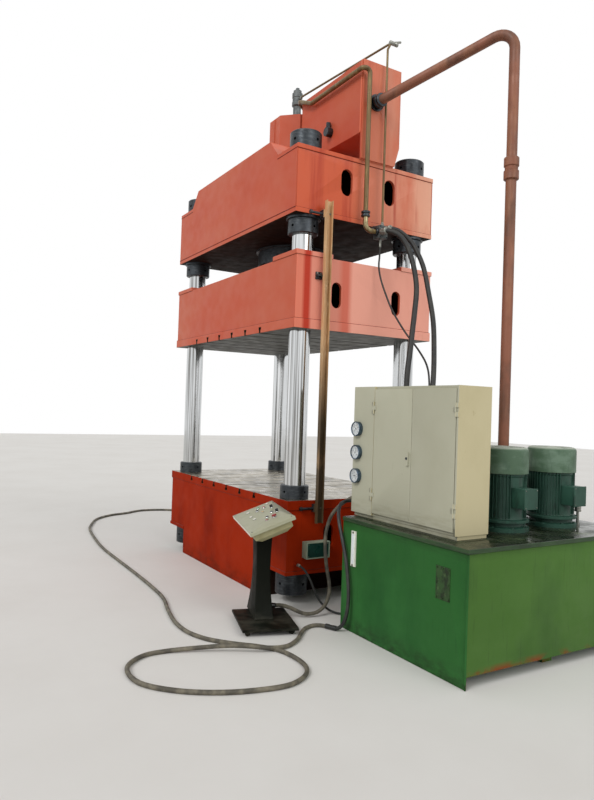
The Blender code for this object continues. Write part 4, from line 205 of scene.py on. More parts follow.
# Routes of the cords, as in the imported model: diameter, finish, stiffness, lay and the points they pass
CORDS = {
    "hose_1": (0.045, "hose_rubber", "stiff", "hanging", (
        (1.4653, 0.0625, 3.262), (1.500, 0.0625, 3.262), (1.548, 0.083, 3.258), (1.594, 0.125, 3.235),
        (1.632, 0.170, 3.183), (1.672, 0.205, 3.088), (1.740, 0.215, 2.912), (1.820, 0.181, 2.720),
        (1.895, 0.103, 2.502), (1.950, 0.038, 2.330), (2.005, -0.027, 2.160), (2.042, -0.080, 1.963),
        (2.062, -0.100, 1.700), (2.068, -0.105, 1.400), (2.070, -0.105, 1.150), (2.070, -0.105, 0.8933),
    )),
    "hose_2": (0.042, "hose_rubber", "stiff", "hanging", (
        (1.4653, 0.1075, 3.290), (1.495, 0.1075, 3.290), (1.532, 0.140, 3.289), (1.567, 0.199, 3.262),
        (1.600, 0.252, 3.210), (1.645, 0.286, 3.140), (1.760, 0.300, 2.939), (1.880, 0.268, 2.678),
        (2.000, 0.217, 2.425), (2.150, 0.099, 2.161), (2.260, 0.000, 1.936), (2.300, -0.050, 1.700),
        (2.308, -0.065, 1.400), (2.310, -0.065, 1.150), (2.310, -0.065, 0.8933),
    )),
    "pilot_hose": (0.016, "hose_rubber", "medium", "hanging", (
        (1.420, 0.085, 3.2097), (1.420, 0.085, 3.150), (1.420, 0.083, 3.050), (1.426, 0.075, 2.957),
        (1.450, 0.085, 2.840), (1.515, 0.099, 2.690), (1.600, 0.110, 2.542), (1.750, 0.128, 2.353),
        (1.950, 0.120, 2.174), (2.100, 0.080, 2.030), (2.175, 0.040, 1.850), (2.190, 0.030, 1.600),
        (2.190, 0.030, 1.200), (2.190, 0.030, 0.8933),
    )),
    "floor_cable": (0.030, "dusty_conduit", "medium", "loose", (
        (-0.9603, 0.300, 0.060), (-1.060, 0.300, 0.060), (-1.180, 0.303, 0.046), (-1.320, 0.322, 0.024),
        (-1.550, 0.362, 0.0158), (-1.900, 0.420, 0.0155), (-2.700, 0.480, 0.0155), (-3.400, 0.420, 0.0155),
        (-3.840, 0.160, 0.0155), (-3.940, -0.245, 0.0155), (-3.760, -0.560, 0.0155), (-3.640, -0.828, 0.0155),
        (-3.380, -1.090, 0.0155), (-2.935, -1.282, 0.0155), (-2.581, -1.382, 0.0155),
        (-1.916, -1.473, 0.0155),
        (-1.384, -1.518, 0.0155), (-0.798, -1.526, 0.0155), (-0.198, -1.531, 0.0155), (0.351, -1.545, 0.0155),
        (0.721, -1.573, 0.0155), (1.057, -1.651, 0.0155), (1.363, -1.707, 0.0155), (1.589, -1.707, 0.0155),
        (1.750, -1.665, 0.0155), (1.857, -1.606, 0.0155), (1.977, -1.503, 0.0155), (2.113, -1.362, 0.0155),
        (2.251, -1.275, 0.0155), (2.469, -1.256, 0.0155), (2.620, -1.308, 0.0155), (2.722, -1.433, 0.0155),
        (2.748, -1.591, 0.0155), (2.682, -1.871, 0.0155), (2.540, -2.120, 0.0155), (2.330, -2.290, 0.0155),
        (2.080, -2.290, 0.0155), (1.930, -2.150, 0.0155), (1.910, -1.980, 0.016), (1.986, -1.764, 0.031),
        (2.075, -1.600, 0.047), (2.144, -1.480, 0.047), (2.190, -1.340, 0.030), (2.180, -1.200, 0.0165),
        (2.105, -1.075, 0.0156), (2.000, -0.975, 0.0155), (1.915, -0.890, 0.0155), (1.880, -0.800, 0.0155),
        (1.905, -0.735, 0.0155), (1.950, -0.7159, 0.0155), (1.985, -0.700, 0.0155),
    )),
    "supply_cable": (0.028, "cable_jacket", "medium", "hanging", (
        (1.9853, -0.6998, 0.0155), (2.020, -0.684, 0.0155), (2.062, -0.666, 0.042), (2.092, -0.650, 0.098),
        (2.103, -0.638, 0.180), (2.100, -0.630, 0.280), (2.086, -0.628, 0.380), (2.062, -0.628, 0.490),
        (2.027, -0.628, 0.600), (1.983, -0.627, 0.705), (1.930, -0.617, 0.795), (1.870, -0.585, 0.868),
        (1.818, -0.535, 0.914), (1.789, -0.480, 0.933), (1.790, -0.430, 0.939), (1.816, -0.393, 0.940),
        (1.855, -0.378, 0.940), (1.9047, -0.378, 0.940),
    )),
    "console_cable": (0.030, "dusty_conduit", "medium", "hanging", (
        (1.9047, -0.300, 1.000), (1.870, -0.300, 1.000), (1.823, -0.309, 0.996), (1.772, -0.336, 0.978),
        (1.712, -0.378, 0.938), (1.635, -0.418, 0.872), (1.560, -0.445, 0.778), (1.516, -0.458, 0.645),
        (1.512, -0.460, 0.500), (1.560, -0.470, 0.350), (1.630, -0.485, 0.215), (1.665, -0.530, 0.110),
        (1.675, -0.610, 0.045), (1.660, -0.700, 0.030), (1.640, -0.765, 0.045), (1.615, -0.845, 0.085),
        (1.595, -0.912, 0.107), (1.5805, -0.960, 0.110), (1.5652, -1.0107, 0.110),
    )),
    "drain_hose": (0.018, "hose_rubber", "medium", "hanging", (
        (1.3993, -0.660, 0.360), (1.430, -0.660, 0.360), (1.480, -0.650, 0.345), (1.520, -0.632, 0.305),
        (1.548, -0.610, 0.245), (1.568, -0.588, 0.175), (1.592, -0.560, 0.110), (1.625, -0.522, 0.057),
        (1.664, -0.478, 0.024), (1.705, -0.435, 0.0125), (1.748, -0.393, 0.0165), (1.788, -0.358, 0.036),
        (1.832, -0.330, 0.068), (1.880, -0.317, 0.098), (1.925, -0.315, 0.110), (1.9597, -0.315, 0.110),
    )),
}

FINISH = {}

# Sizes in metres that several finishes share: runs of dirt, chips of paint, and the bumps of rolled enamel,
# of bare or thinly coated metal and of powder coat
LONG_RUNS = (0.03, 0.03, 0.7)
CHIPS = (0.012, 0.012, 0.012)
ROLLED_SKIN = (0.005, 0.0002)
FINE_SKIN = (0.003, 0.0001)
POWDER_SKIN = (0.002, 0.00008)
# Shift between the patterns of a finish's layers, so that they don't lie over one another
LAYER_SHIFT = (3.7, 1.3)
# Scale at which one unit of a wave texture's coordinate is one wave
WAVE_PITCH = 0.3183

# Directions in which pieces face
UP, DOWN = (0, 0, 1), (0, 0, -1)
RIGHT, LEFT = (1, 0, 0), (-1, 0, 0)
FRONT, BACK = (0, -1, 0), (0, 1, 0)
SIDES = (-1, 1)
CORNERS = [(a, b) for a in SIDES for b in SIDES]

# Measures in metres that several pieces share. Height of the crown's shelf over its underside:
SHELF_RISE = 0.582
# Distance of the seams from a frame's outer faces, and the share of a weld's width that shows at them
SEAM_INSET = 0.008
SEAM_SHARE = 0.7
# Depth within which a frame's faces belong to its walls
WALL = 0.045
# Radius inside the collars and nuts, which stand just off the columns
COLUMN_BORE = 0.0953
# Radius and depth of the holes for the bar that turns the nuts
NUT_HOLE = (0.013, 0.028)
# Depth of the T slots, and how far they reach to either side
SLOT_DEPTH = 0.0535
SLOT_REACH = 0.80
# Gap between a fitting and the face that it sits on
SEAT_GAP = 0.0003
# Width of the valve block
MANIFOLD_WIDTH = 0.090
# Height of the prefill valve's body over the cylinder's cover
VALVE_RISE = 0.200
# Oval openings in the frames' ends: pitch, width, height, and the middle over the frame's underside
OVALS = {
    "base": (0.660, 0.100, 0.220, 0.5645),
    "slider": (0.660, 0.100, 0.225, 0.315),
    "crown": (0.477, 0.120, 0.236, 0.3445),
}

# Lamps and controls of the panel: their shares of its width and depth, and their finishes
LAMPS = {
    "lamp_1": ((-0.328, -0.184), "lamp_white"),
    "lamp_2": ((-0.108, -0.206), "lamp_white"),
    "lamp_3": ((0.033, -0.187), "lamp_white"),
    "lamp_4": ((-0.418, 0.330), "lamp_white"),
    "lamp_5": ((-0.140, 0.092), "lamp_amber"),
    "lamp_6": ((0.250, 0.000), "lamp_red"),
}
CONTROLS = {
    "button_start": ((-0.351, 0.078), "button_green"),
    "button_down": ((-0.250, 0.010), "button_black"),
    "button_up": ((-0.300, 0.200), "lamp_red"),
    "button_return": ((0.018, 0.230), "button_black"),
    "button_eject": ((0.150, 0.060), "button_black"),
    "selector_mode": ((-0.181, 0.330), "button_black"),
    "selector_heat": ((0.079, 0.330), "button_black"),
    "emergency_stop": ((0.240, 0.180), "button_red"),
}

# Profiles of the lamps' and the controls' rings
LAMP_RING = ((0.0120, 0), (0.0150, 0), (0.0150, 0.003), (0.0135, 0.0045), (0.0120, 0.0045))
CONTROL_RING = ((0.0128, 0), (0.0165, 0), (0.0165, 0.004), (0.0150, 0.0062), (0.0128, 0.0062))

# Sizes of the cords' fittings: the nuts of thick and thin hoses and the cables' glands
HOSE_NUT, THIN_NUT, GLAND_LENGTH = 0.022, 0.014, 0.055


def linear(code):
    """The linear colour of an sRGB hex code."""
    shares = [int(code[place:place + 2], 16) / 255 for place in (0, 2, 4)]
    return tuple(share / 12.92 if share <= 0.04045 else ((share + 0.055) / 1.055) ** 2.4 for share in shares)


class PressSizes(bpy.types.PropertyGroup):
    """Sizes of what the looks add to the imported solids."""
    plate_edge: FloatProperty(
        name="Plate edge", description="Rounding of the welded plates' edges", default=0.0035, min=0,
        unit="LENGTH",
    )
    sheet_edge: FloatProperty(
        name="Sheet edge", description="Rounding of the sheet metal's folds", default=0.002, min=0,
        unit="LENGTH",
    )
    weld: FloatProperty(
        name="Weld bead", description="Width of the fillet welds between the plates", default=0.012,
        min=0.001, unit="LENGTH",
    )


class PressColours(bpy.types.PropertyGroup):
    """Colours that a user would change."""
    crown: FloatVectorProperty(
        name="Crown and slider", description="Enamel of the crown, slider and oil tank", subtype="COLOR",
        default=linear("BC5238"), min=0, max=1,
    )
    base: FloatVectorProperty(
        name="Base", description="Enamel of the base", subtype="COLOR", default=linear("962708"), min=0, max=1
    )
    unit: FloatVectorProperty(
        name="Power unit", description="Enamel of the power unit's tank", subtype="COLOR",
        default=linear("2C5E2C"), min=0, max=1,
    )
    cabinet: FloatVectorProperty(
        name="Cabinet", description="Powder coat of the valve cabinet", subtype="COLOR",
        default=linear("AEAD99"), min=0, max=1,
    )
    motor: FloatVectorProperty(
        name="Motors", description="Enamel of the electric motors", subtype="COLOR", default=linear("26473A"),
        min=0, max=1,
    )


# Making of materials


def shade(colour):
    """A colour's linear values: it comes as an sRGB hex code or, from a property, already linear."""
    return linear(colour) if isinstance(colour, str) else tuple(colour)


def blank(name):
    """A node material and its shader."""
    material = bpy.data.materials.new(name)
    material.use_nodes = True
    return material, material.node_tree.nodes["Principled BSDF"]


def add_node(material, kind, links=None, values=None, **settings):
    """One node of a material, with its settings, its sockets' values and the links into it."""
    node = material.node_tree.nodes.new(kind)
    for name, value in settings.items():
        setattr(node, name, value)
    for name, value in (values or {}).items():
        node.inputs[name].default_value = value
    for name, source in (links or {}).items():
        material.node_tree.links.new(source, node.inputs[name])
    return node


def coating(name, base, layers, roughness, skin=None, metallic=0.0, shine=0.5):
    """A finish: its base colour, layers of other tones, a slowly changing gloss and a fine bumpy skin.

    A layer is a tone, the sizes of its patches along X, Y and Z in metres, the noise between which it comes
    in, its strength and, where it fades out, the axis and the places on it where it is full and gone.
    The skin is the size and the height of its bumps in metres.
    """
    material, shader = blank(name)
    place = add_node(material, "ShaderNodeTexCoord").outputs["Object"]
    heights = add_node(material, "ShaderNodeSeparateXYZ", {0: place})
    base = shade(base)
    colour = None
    for number, (tone, size, start, full, strength, *fade) in enumerate(layers):
        patches = add_node(
            material, "ShaderNodeMapping", {"Vector": place},
            {"Location": (number * LAYER_SHIFT[0], number * LAYER_SHIFT[1], 0),
             "Scale": [1 / length for length in size]},
        )
        noise = add_node(
            material, "ShaderNodeTexNoise", {"Vector": patches.outputs[0]},
            {"Scale": 1, "Detail": 5, "Roughness": 0.6},
        )
        share = add_node(
            material, "ShaderNodeMapRange", {"Value": noise.outputs[0]},
            {"From Min": start, "From Max": full, "To Max": strength},
        ).outputs[0]
        if fade:
            axis, full_at, gone_at = fade
            reach = add_node(
                material, "ShaderNodeMapRange", {"Value": heights.outputs[axis]},
                {"From Min": gone_at, "From Max": full_at},
            )
            share = add_node(
                material, "ShaderNodeMath", {0: share, 1: reach.outputs[0]}, operation="MULTIPLY"
            ).outputs[0]
        mix = add_node(
            material, "ShaderNodeMix", {0: share}, {6: (*base, 1), 7: (*shade(tone), 1)}, data_type="RGBA"
        )
        if colour:
            material.node_tree.links.new(colour, mix.inputs[6])
        colour = mix.outputs[2]
    if colour:
        material.node_tree.links.new(colour, shader.inputs["Base Color"])
    else:
        shader.inputs["Base Color"].default_value = (*base, 1)
    shader.inputs["Metallic"].default_value = metallic
    shader.inputs["Specular IOR Level"].default_value = shine
    gloss = add_node(material, "ShaderNodeTexNoise", {"Vector": place}, {"Scale": 9, "Detail": 4})
    spread = add_node(
        material, "ShaderNodeMapRange", {"Value": gloss.outputs[0]},
        {"From Min": 0.35, "From Max": 0.65, "To Min": roughness[0], "To Max": roughness[1]},
    )
    material.node_tree.links.new(spread.outputs[0], shader.inputs["Roughness"])
    if skin:
        size, height = skin
        grain = add_node(
            material, "ShaderNodeTexNoise", {"Vector": place},
            {"Scale": 1 / size, "Detail": 3, "Roughness": 0.5},
        )
        bump = add_node(
            material, "ShaderNodeBump", {"Height": grain.outputs[0]}, {"Strength": 1, "Distance": height}
        )
        material.node_tree.links.new(bump.outputs[0], shader.inputs["Normal"])
    FINISH[name] = material
    return material


def cord_finish(name, base, dust, pitch, lean, height, roughness):
    """A cord's cover: rings or wound ridges at a pitch along its UV map, which is in metres, and dust."""
    material, shader = blank(name)
    place = add_node(material, "ShaderNodeTexCoord")
    ridges = add_node(
        material, "ShaderNodeMapping", {"Vector": place.outputs["UV"]},
        {"Scale": (1 / pitch, lean, 1)},
    )
    wave = add_node(
        material, "ShaderNodeTexWave", {"Vector": ridges.outputs[0]},
        {"Scale": WAVE_PITCH, "Distortion": 0.4},
        bands_direction="DIAGONAL" if lean else "X",
    )
    bump = add_node(material, "ShaderNodeBump", {"Height": wave.outputs["Fac"]}, {"Distance": height})
    patches = add_node(
        material, "ShaderNodeTexNoise", {"Vector": place.outputs["Object"]}, {"Scale": 14, "Detail": 4}
    )
    share = add_node(
        material, "ShaderNodeMapRange", {"Value": patches.outputs[0]}, {"From Min": 0.4, "From Max": 0.7}
    )
    mix = add_node(
        material, "ShaderNodeMix", {0: share.outputs[0]}, {6: (*linear(base), 1), 7: (*linear(dust), 1)},
        data_type="RGBA",
    )
    material.node_tree.links.new(mix.outputs[2], shader.inputs["Base Color"])
    material.node_tree.links.new(bump.outputs[0], shader.inputs["Normal"])
    shader.inputs["Roughness"].default_value = roughness
    FINISH[name] = material


def make_finishes(colours):
    """Every finish of the press, each named for what the real one is and, where it carries painted light or shade, for
    that too.
    """
    # Alkyd enamel rolled over welded plate: semi-gloss, with patches of painted sky light that turn the long faces a
    # dusty pink
    coating("crown_enamel", colours.crown, (
        ("BE6A50", (1.4, 1.4, 0.9), 0.36, 0.66, 0.65),
        ("B2452E", (0.7, 0.7, 0.7), 0.52, 0.72, 0.40),
        ("8A3424", LONG_RUNS, 0.62, 0.82, 0.22),
        ("5E2C20", CHIPS, 0.71, 0.78, 0.5),
    ), (0.38, 0.52), ROLLED_SKIN, shine=0.15)
    # Shaded copy of the same enamel for the ends and the shelf's top, without the painted sky light: orange red at the
    # operator's side, paler away from it as painted light, with darker vertical bands of painted reflection
    coating("crown_enamel_ends", "CC5A36", (
        ("EAB094", (0.9, 0.35, 1.4), 0.20, 0.50, 0.95, "Y", 0.80, -0.30),
        ("A8321A", (0.5, 0.16, 3.0), 0.54, 0.66, 0.65),
        ("8A3424", LONG_RUNS, 0.62, 0.82, 0.25),
        ("5E2C20", CHIPS, 0.70, 0.78, 0.5),
    ), (0.32, 0.46), ROLLED_SKIN, shine=0.3)
    # The slider's ends, a chalky pink copy of the enamel as painted light, with vertical bands of painted reflection
    # and shade near the front corner, one of them orange red, and darker vertical streaks towards the back
    coating("slider_enamel_ends", "F0A894", (
        ("DA8C76", (0.9, 0.5, 1.6), 0.46, 0.70, 0.70),
        ("CE5E48", (0.5, 0.5, 1.8), 0.20, 0.40, 0.80, "Y", -0.21, -0.16),
        ("E29480", (0.5, 0.5, 1.4), 0.10, 0.30, 0.85, "Y", -0.32, -0.26),
        ("B8321C", (0.5, 0.5, 1.8), 0.10, 0.30, 0.95, "Y", -0.615, -0.585),
        ("E08068", (0.5, 0.5, 1.4), 0.10, 0.30, 0.95, "Y", -0.685, -0.655),
        ("B86450", (0.10, 0.10, 2.5), 0.58, 0.70, 0.45, "Y", 0.80, 0.25),
        ("5E2C20", CHIPS, 0.71, 0.78, 0.5),
    ), (0.36, 0.50), ROLLED_SKIN, shine=0.15)
    # Painted shadow along the seams: the welds made dark, dull red to stand for the shade in the joints
    coating("seam_dirt", "7C2A1A", (
        ("4A1C12", (0.05, 0.05, 0.02), 0.45, 0.65, 0.7),
    ), (0.5, 0.7), shine=0.2)
    # The same enamel, fresher and deeper, on the base, scuffed dark near the floor
    coating("base_enamel", colours.base, (
        ("A63216", (0.9, 0.9, 0.7), 0.45, 0.68, 0.45),
        ("701606", (0.5, 0.5, 0.9), 0.50, 0.68, 0.60),
        ("4E1208", LONG_RUNS, 0.60, 0.80, 0.35),
        ("3A2014", (0.10, 0.10, 0.05), 0.40, 0.60, 0.55, "Z", 0.0, 0.16),
    ), (0.42, 0.56), ROLLED_SKIN, shine=0.02)
    # Painted shade as a nearly black brown, dull primer on the undersides and the insides of the frames, where shade
    # falls
    coating("dark_primer", "21130C", (
        ("33190F", (0.3, 0.3, 0.3), 0.45, 0.65, 0.6),
        ("0F0907", (0.15, 0.15, 0.15), 0.5, 0.7, 0.6),
    ), (0.6, 0.8), (0.004, 0.0002), shine=0.1)
    # Planed steel that nobody cleans, below the slider and in the table's slots: brown grey with old oil and darkened
    # further as painted shade, the planer's lines along Y
    coating("oiled_steel", "35342A", (
        ("56564A", (0.012, 0.9, 0.5), 0.48, 0.66, 0.8),
        ("1E1B14", (0.25, 0.60, 0.30), 0.46, 0.66, 0.85),
    ), (0.40, 0.56), FINE_SKIN, metallic=0.15, shine=0.2)
    # Planed steel with a film of oil: grey, fine lines along Y from the planer, dark oily patches
    coating("planed_steel", "9C9484", (
        ("BDB6A6", (0.010, 0.9, 0.5), 0.45, 0.65, 0.8),
        ("5F5848", (0.30, 0.45, 0.30), 0.46, 0.64, 0.85),
        ("352C20", (0.09, 0.12, 0.09), 0.60, 0.72, 0.8),
    ), (0.22, 0.42), FINE_SKIN, metallic=0.9)
    # Hard chrome on ground bar, wiped with oil: mirror bright, with painted reflections as soft grey and bright
    # streaks along the bar
    coating("hard_chrome", "D3D5D6", (
        ("66645F", (0.022, 0.022, 2.2), 0.48, 0.62, 0.85),
        ("F0F1F2", (0.030, 0.030, 2.2), 0.52, 0.66, 0.9),
        ("A39A88", (0.05, 0.05, 0.08), 0.66, 0.80, 0.4),
    ), (0.07, 0.16), metallic=1.0)
    # Turned steel, blackened and oiled: dark blue grey with a soft sheen
    coating("blackened_steel", "3B3F43", (
        ("565A5C", (0.05, 0.05, 0.012), 0.48, 0.68, 0.7),
        ("1E1F20", (0.06, 0.06, 0.06), 0.52, 0.70, 0.7),
    ), (0.30, 0.48), FINE_SKIN, metallic=0.85)
    # Grey cast iron body, raw and oily: sandy skin and brown tinge
    coating("cast_iron", "565B5B", (
        ("787C7C", (0.05, 0.05, 0.05), 0.45, 0.65, 0.6),
        ("3D3A35", (0.04, 0.04, 0.06), 0.52, 0.70, 0.7),
    ), (0.40, 0.60), (0.003, 0.0003), metallic=0.55)
    # Zinc-plated screws and bolts, dulled
    coating("zinc_plate", "8E8F88", (
        ("5E5B50", (0.02, 0.02, 0.02), 0.48, 0.68, 0.7),
    ), (0.30, 0.45), metallic=0.9)
    # Drawn pipe in thin olive primer, rubbed to brown metal
    coating("olive_primer", "6F5A36", (
        ("5A4526", (0.05, 0.05, 0.35), 0.46, 0.66, 0.8),
        ("A0905C", (0.03, 0.03, 0.25), 0.55, 0.70, 0.5),
        ("2E2418", (0.03, 0.03, 0.04), 0.62, 0.74, 0.6),
    ), (0.35, 0.55), (0.003, 0.00015), metallic=0.3)
    # Return pipe in red-brown primer, weathered darker along its run
    coating("oxide_primer", "84503A", (
        ("4E3424", (0.25, 0.25, 0.5), 0.42, 0.64, 0.8),
        ("9A6A4C", (0.08, 0.08, 0.5), 0.50, 0.70, 0.6),
        ("33211A", (0.03, 0.03, 0.03), 0.64, 0.76, 0.5),
    ), (0.45, 0.65), (0.004, 0.0002), metallic=0.1)
    # Rail channel, tan paint worn by the trigger down its middle and greasy in its lower half
    coating("rail_paint", "C49C70", (
        ("8E6A42", (0.04, 0.04, 0.30), 0.50, 0.70, 0.7),
        ("DCC49C", (0.02, 0.02, 0.12), 0.54, 0.68, 0.7),
        ("332A18", (0.30, 0.30, 0.50), 0.10, 0.40, 0.92, "Z", 1.55, 2.25),
    ), (0.40, 0.60), FINE_SKIN, metallic=0.1)
    # Enamel of the power unit: mid green, dulled by dust, with vertical oily runs and a dirty foot
    coating("unit_enamel", colours.unit, (
        ("38703A", (0.8, 0.8, 0.6), 0.42, 0.66, 0.55),
        ("1F4A24", (0.5, 0.5, 0.9), 0.50, 0.70, 0.60),
        ("16301A", (0.02, 0.02, 0.45), 0.60, 0.78, 0.45),
        ("20241A", (0.10, 0.10, 0.05), 0.40, 0.62, 0.75, "Z", 0.02, 0.14),
        ("22381E", (0.20, 0.20, 0.03), 0.30, 0.56, 0.60, "Z", 0.82, 0.76),
    ), (0.42, 0.58), ROLLED_SKIN, shine=0.1)
    # The same enamel as a lit copy for the end that faces the light, made yellower and lighter as painted light, with
    # runs of oil and rust along its foot
    coating("unit_enamel_end", "466A2E", (
        ("527639", (0.9, 0.9, 0.5), 0.42, 0.66, 0.55),
        ("3A5A2C", (0.5, 0.5, 0.9), 0.50, 0.70, 0.55),
        ("2E4424", (0.02, 0.02, 0.30), 0.60, 0.76, 0.55),
        ("3C5A2A", (0.20, 0.20, 0.03), 0.30, 0.56, 0.60, "Z", 0.82, 0.76),
        ("7E4420", (0.30, 0.30, 0.20), 0.44, 0.56, 0.95, "Z", 0.088, 0.125),
    ), (0.42, 0.58), ROLLED_SKIN, shine=0.1)
    # Green sheet under oily fingers and dust: the clean-out cover
    coating("grimy_cover", "2F4A26", (
        ("1C2616", (0.05, 0.05, 0.07), 0.44, 0.60, 0.9),
        ("5A7048", (0.03, 0.03, 0.04), 0.60, 0.74, 0.6),
    ), (0.40, 0.60), (0.003, 0.0003), shine=0.25)
    # Edge of the unit's lid: green darkened by the oil that runs over it
    coating("lid_edge", "2C4426", (
        ("1C2A1A", (0.25, 0.25, 0.02), 0.44, 0.62, 0.8),
        ("46603A", (0.30, 0.30, 0.02), 0.56, 0.70, 0.6),
    ), (0.30, 0.50), shine=0.3)
    # The unit's lid under a pool of old oil: black green and shiny, matt where it has dried
    coating("oily_lid", "27301F", (
        ("12140F", (0.4, 0.4, 0.4), 0.42, 0.62, 0.85),
        ("5E6A4A", (0.15, 0.15, 0.15), 0.58, 0.72, 0.6),
    ), (0.10, 0.42))
    # Powder coat on folded sheet: warm white, satin, with rub marks and fine dirt towards its foot
    coating("cabinet_coat", colours.cabinet, (
        ("A09E88", (0.6, 0.6, 0.9), 0.46, 0.70, 0.50),
        ("847C62", (0.03, 0.03, 0.20), 0.66, 0.80, 0.30),
        ("635B45", (0.014, 0.014, 0.010), 0.70, 0.76, 0.7),
        ("7A7254", (0.15, 0.15, 0.03), 0.42, 0.62, 0.45, "Z", 0.86, 1.02),
    ), (0.42, 0.56), POWDER_SKIN, shine=0.25)
    # The same coat as a lit copy for the end that faces the light, made warmer and lighter as painted light
    coating("cabinet_coat_end", "C2B894", (
        ("B0A680", (0.5, 0.5, 0.8), 0.48, 0.70, 0.50),
        ("8E7A50", (0.05, 0.05, 0.10), 0.66, 0.78, 0.45),
    ), (0.42, 0.56), POWDER_SKIN, shine=0.25)
    # Smooth enamel on the motors' cast bodies: deep green blue, oily
    coating("motor_enamel", colours.motor, (
        ("35594A", (0.12, 0.12, 0.2), 0.48, 0.68, 0.5),
        ("141F19", (0.05, 0.05, 0.12), 0.52, 0.70, 0.6),
    ), (0.38, 0.56), (0.003, 0.0002), shine=0.3)
    # Pressed cowl of the motors, faded and dusty: grey green
    coating("cowl_enamel", "48604A", (
        ("6F8573", (0.2, 0.2, 0.1), 0.44, 0.64, 0.6),
        ("37503F", (0.04, 0.04, 0.15), 0.52, 0.72, 0.6),
        ("B8BEB0", (0.1, 0.1, 0.02), 0.26, 0.46, 0.9, "Z", 1.440, 1.424),
    ), (0.40, 0.60), FINE_SKIN, shine=0.3)
    # Powder coat of the console's panel, paler than the cabinet's
    coating("console_coat", "A0A088", (
        ("98957C", (0.15, 0.15, 0.15), 0.48, 0.70, 0.5),
        ("6A644C", (0.008, 0.008, 0.008), 0.68, 0.78, 0.6),
    ), (0.38, 0.52), POWDER_SKIN, shine=0.25)
    # White body of the unit's level gauge; the console panel's front fold takes it too, as painted light where the
    # fold catches the light
    coating("white_strip", "E4E4D8", (
        ("C8C4B0", (0.05, 0.05, 0.05), 0.50, 0.70, 0.5),
    ), (0.38, 0.52))
    # The console's housing in the same coat, yellowed by dirty hands
    coating("housing_coat", "AAA47E", (
        ("8A8058", (0.12, 0.12, 0.12), 0.48, 0.70, 0.6),
    ), (0.40, 0.55), POWDER_SKIN, shine=0.25)
    # Satin black-grey enamel of the console's cast post and foot, dusty low down
    coating("post_enamel", "0D0F09", (
        ("171A14", (0.15, 0.15, 0.25), 0.48, 0.68, 0.6),
        ("45433A", (0.12, 0.12, 0.04), 0.40, 0.64, 0.6, "Z", 0.04, 0.12),
    ), (0.48, 0.62), FINE_SKIN, shine=0.08)
    # Dark green plastic of the junction box with its pale moulded rim
    coating("junction_plastic", "163A33", (
        ("2C5A4E", (0.05, 0.05, 0.05), 0.48, 0.68, 0.5),
    ), (0.25, 0.40))
    coating("rim_plastic", "9AA892", (
        ("7C9280", (0.03, 0.03, 0.03), 0.48, 0.68, 0.6),
    ), (0.40, 0.55))
    # Moulded caps of the controls and lenses of the lamps, glossy, and the rubber of glands
    for name, code in (
        ("button_green", "2E8A52"), ("button_red", "862420"), ("button_black", "1B1B1C"),
        ("lamp_amber", "B89A6A"), ("lamp_white", "D6D4C6"), ("lamp_red", "9A5246"),
        ("gasket_rubber", "20201F"),
    ):
        coating(name, code, (
            (tuple(share * 0.6 for share in linear(code)), (0.01, 0.01, 0.01), 0.5, 0.75, 0.5),
        ), (0.20, 0.34))
    # Bright trim: turned aluminium rings of the lamps and controls
    coating("bright_trim", "B9BABA", (
        ("7E8082", (0.02, 0.02, 0.004), 0.48, 0.68, 0.6),
    ), (0.15, 0.30), metallic=1.0)
    # Blued steel of the pressure gauges' cases
    coating("gauge_case", "5C6E80", (
        ("2E3A46", (0.03, 0.03, 0.03), 0.46, 0.64, 0.8),
    ), (0.18, 0.32), metallic=0.9)
    # Cast brass of the elbow at the valve block: yellow grey, tarnished
    coating("brass", "A39674", (
        ("5E523A", (0.02, 0.02, 0.02), 0.46, 0.66, 0.8),
    ), (0.22, 0.38), (0.002, 0.0001), metallic=1.0)
    # Enamelled dial face and the sight tube's milky plastic
    coating("dial_white", "E6EAEA", (
        ("C4D0D8", (0.04, 0.04, 0.04), 0.45, 0.70, 0.6),
    ), (0.35, 0.5))
    coating("dial_ink", "22303E", (), (0.4, 0.5))
    # Clear glass of the gauges
    glass, shader = blank("gauge_glass")
    shader.inputs["Base Color"].default_value = (1, 1, 1, 1)
    shader.inputs["Roughness"].default_value = 0.02
    shader.inputs["Transmission Weight"].default_value = 1
    shader.inputs["IOR"].default_value = 1.45
    FINISH[glass.name] = glass
    # Cover of hydraulic hose: black rubber with the wound print of its wrap, 2.5 mm pitch drawn at 5 mm
    cord_finish("hose_rubber", "0F1010", "26251F", 0.005, 1.5, 0.0006, 0.55)
    # Corrugated conduit grey with shop dust: 4 mm rings drawn at 8 mm
    cord_finish("dusty_conduit", "4A463C", "7C7564", 0.008, 0, 0.0015, 0.65)
    # Jacket of the supply cable: smooth black compound with dust
    cord_finish("cable_jacket", "131514", "32342F", 0.02, 0, 0.0002, 0.5)


# Making of shapes


def clear_selection():
    """Leave edit mode and deselect every object."""
    if bpy.context.object and bpy.context.object.mode != "OBJECT":
        bpy.ops.object.mode_set(mode="OBJECT")
    bpy.ops.object.select_all(action="DESELECT")


def pick(item):
    """Make one piece the only selected and the active object."""
    clear_selection()
    item.select_set(True)
    bpy.context.view_layer.objects.active = item


def settle(item, at=(0, 0, 0), turn=(0, 0, 0)):
    """Turn and move a piece, with its place put into its mesh."""
    pick(item)
    item.rotation_mode = "XYZ"
    item.rotation_euler = turn
    item.location = at
    bpy.ops.object.transform_apply(location=True, rotation=True, scale=True)
    return item


def face_along(item, at, facing):
    """Stand a piece made along +Z at a place, facing a direction."""
    turn = Vector((0, 0, 1)).rotation_difference(Vector(facing)).to_euler()
    return settle(item, at, turn)


def twin(item):
    """A copy of a piece with its own mesh."""
    copy = item.copy()
    copy.data = item.data.copy()
    bpy.context.scene.collection.objects.link(copy)
    return copy


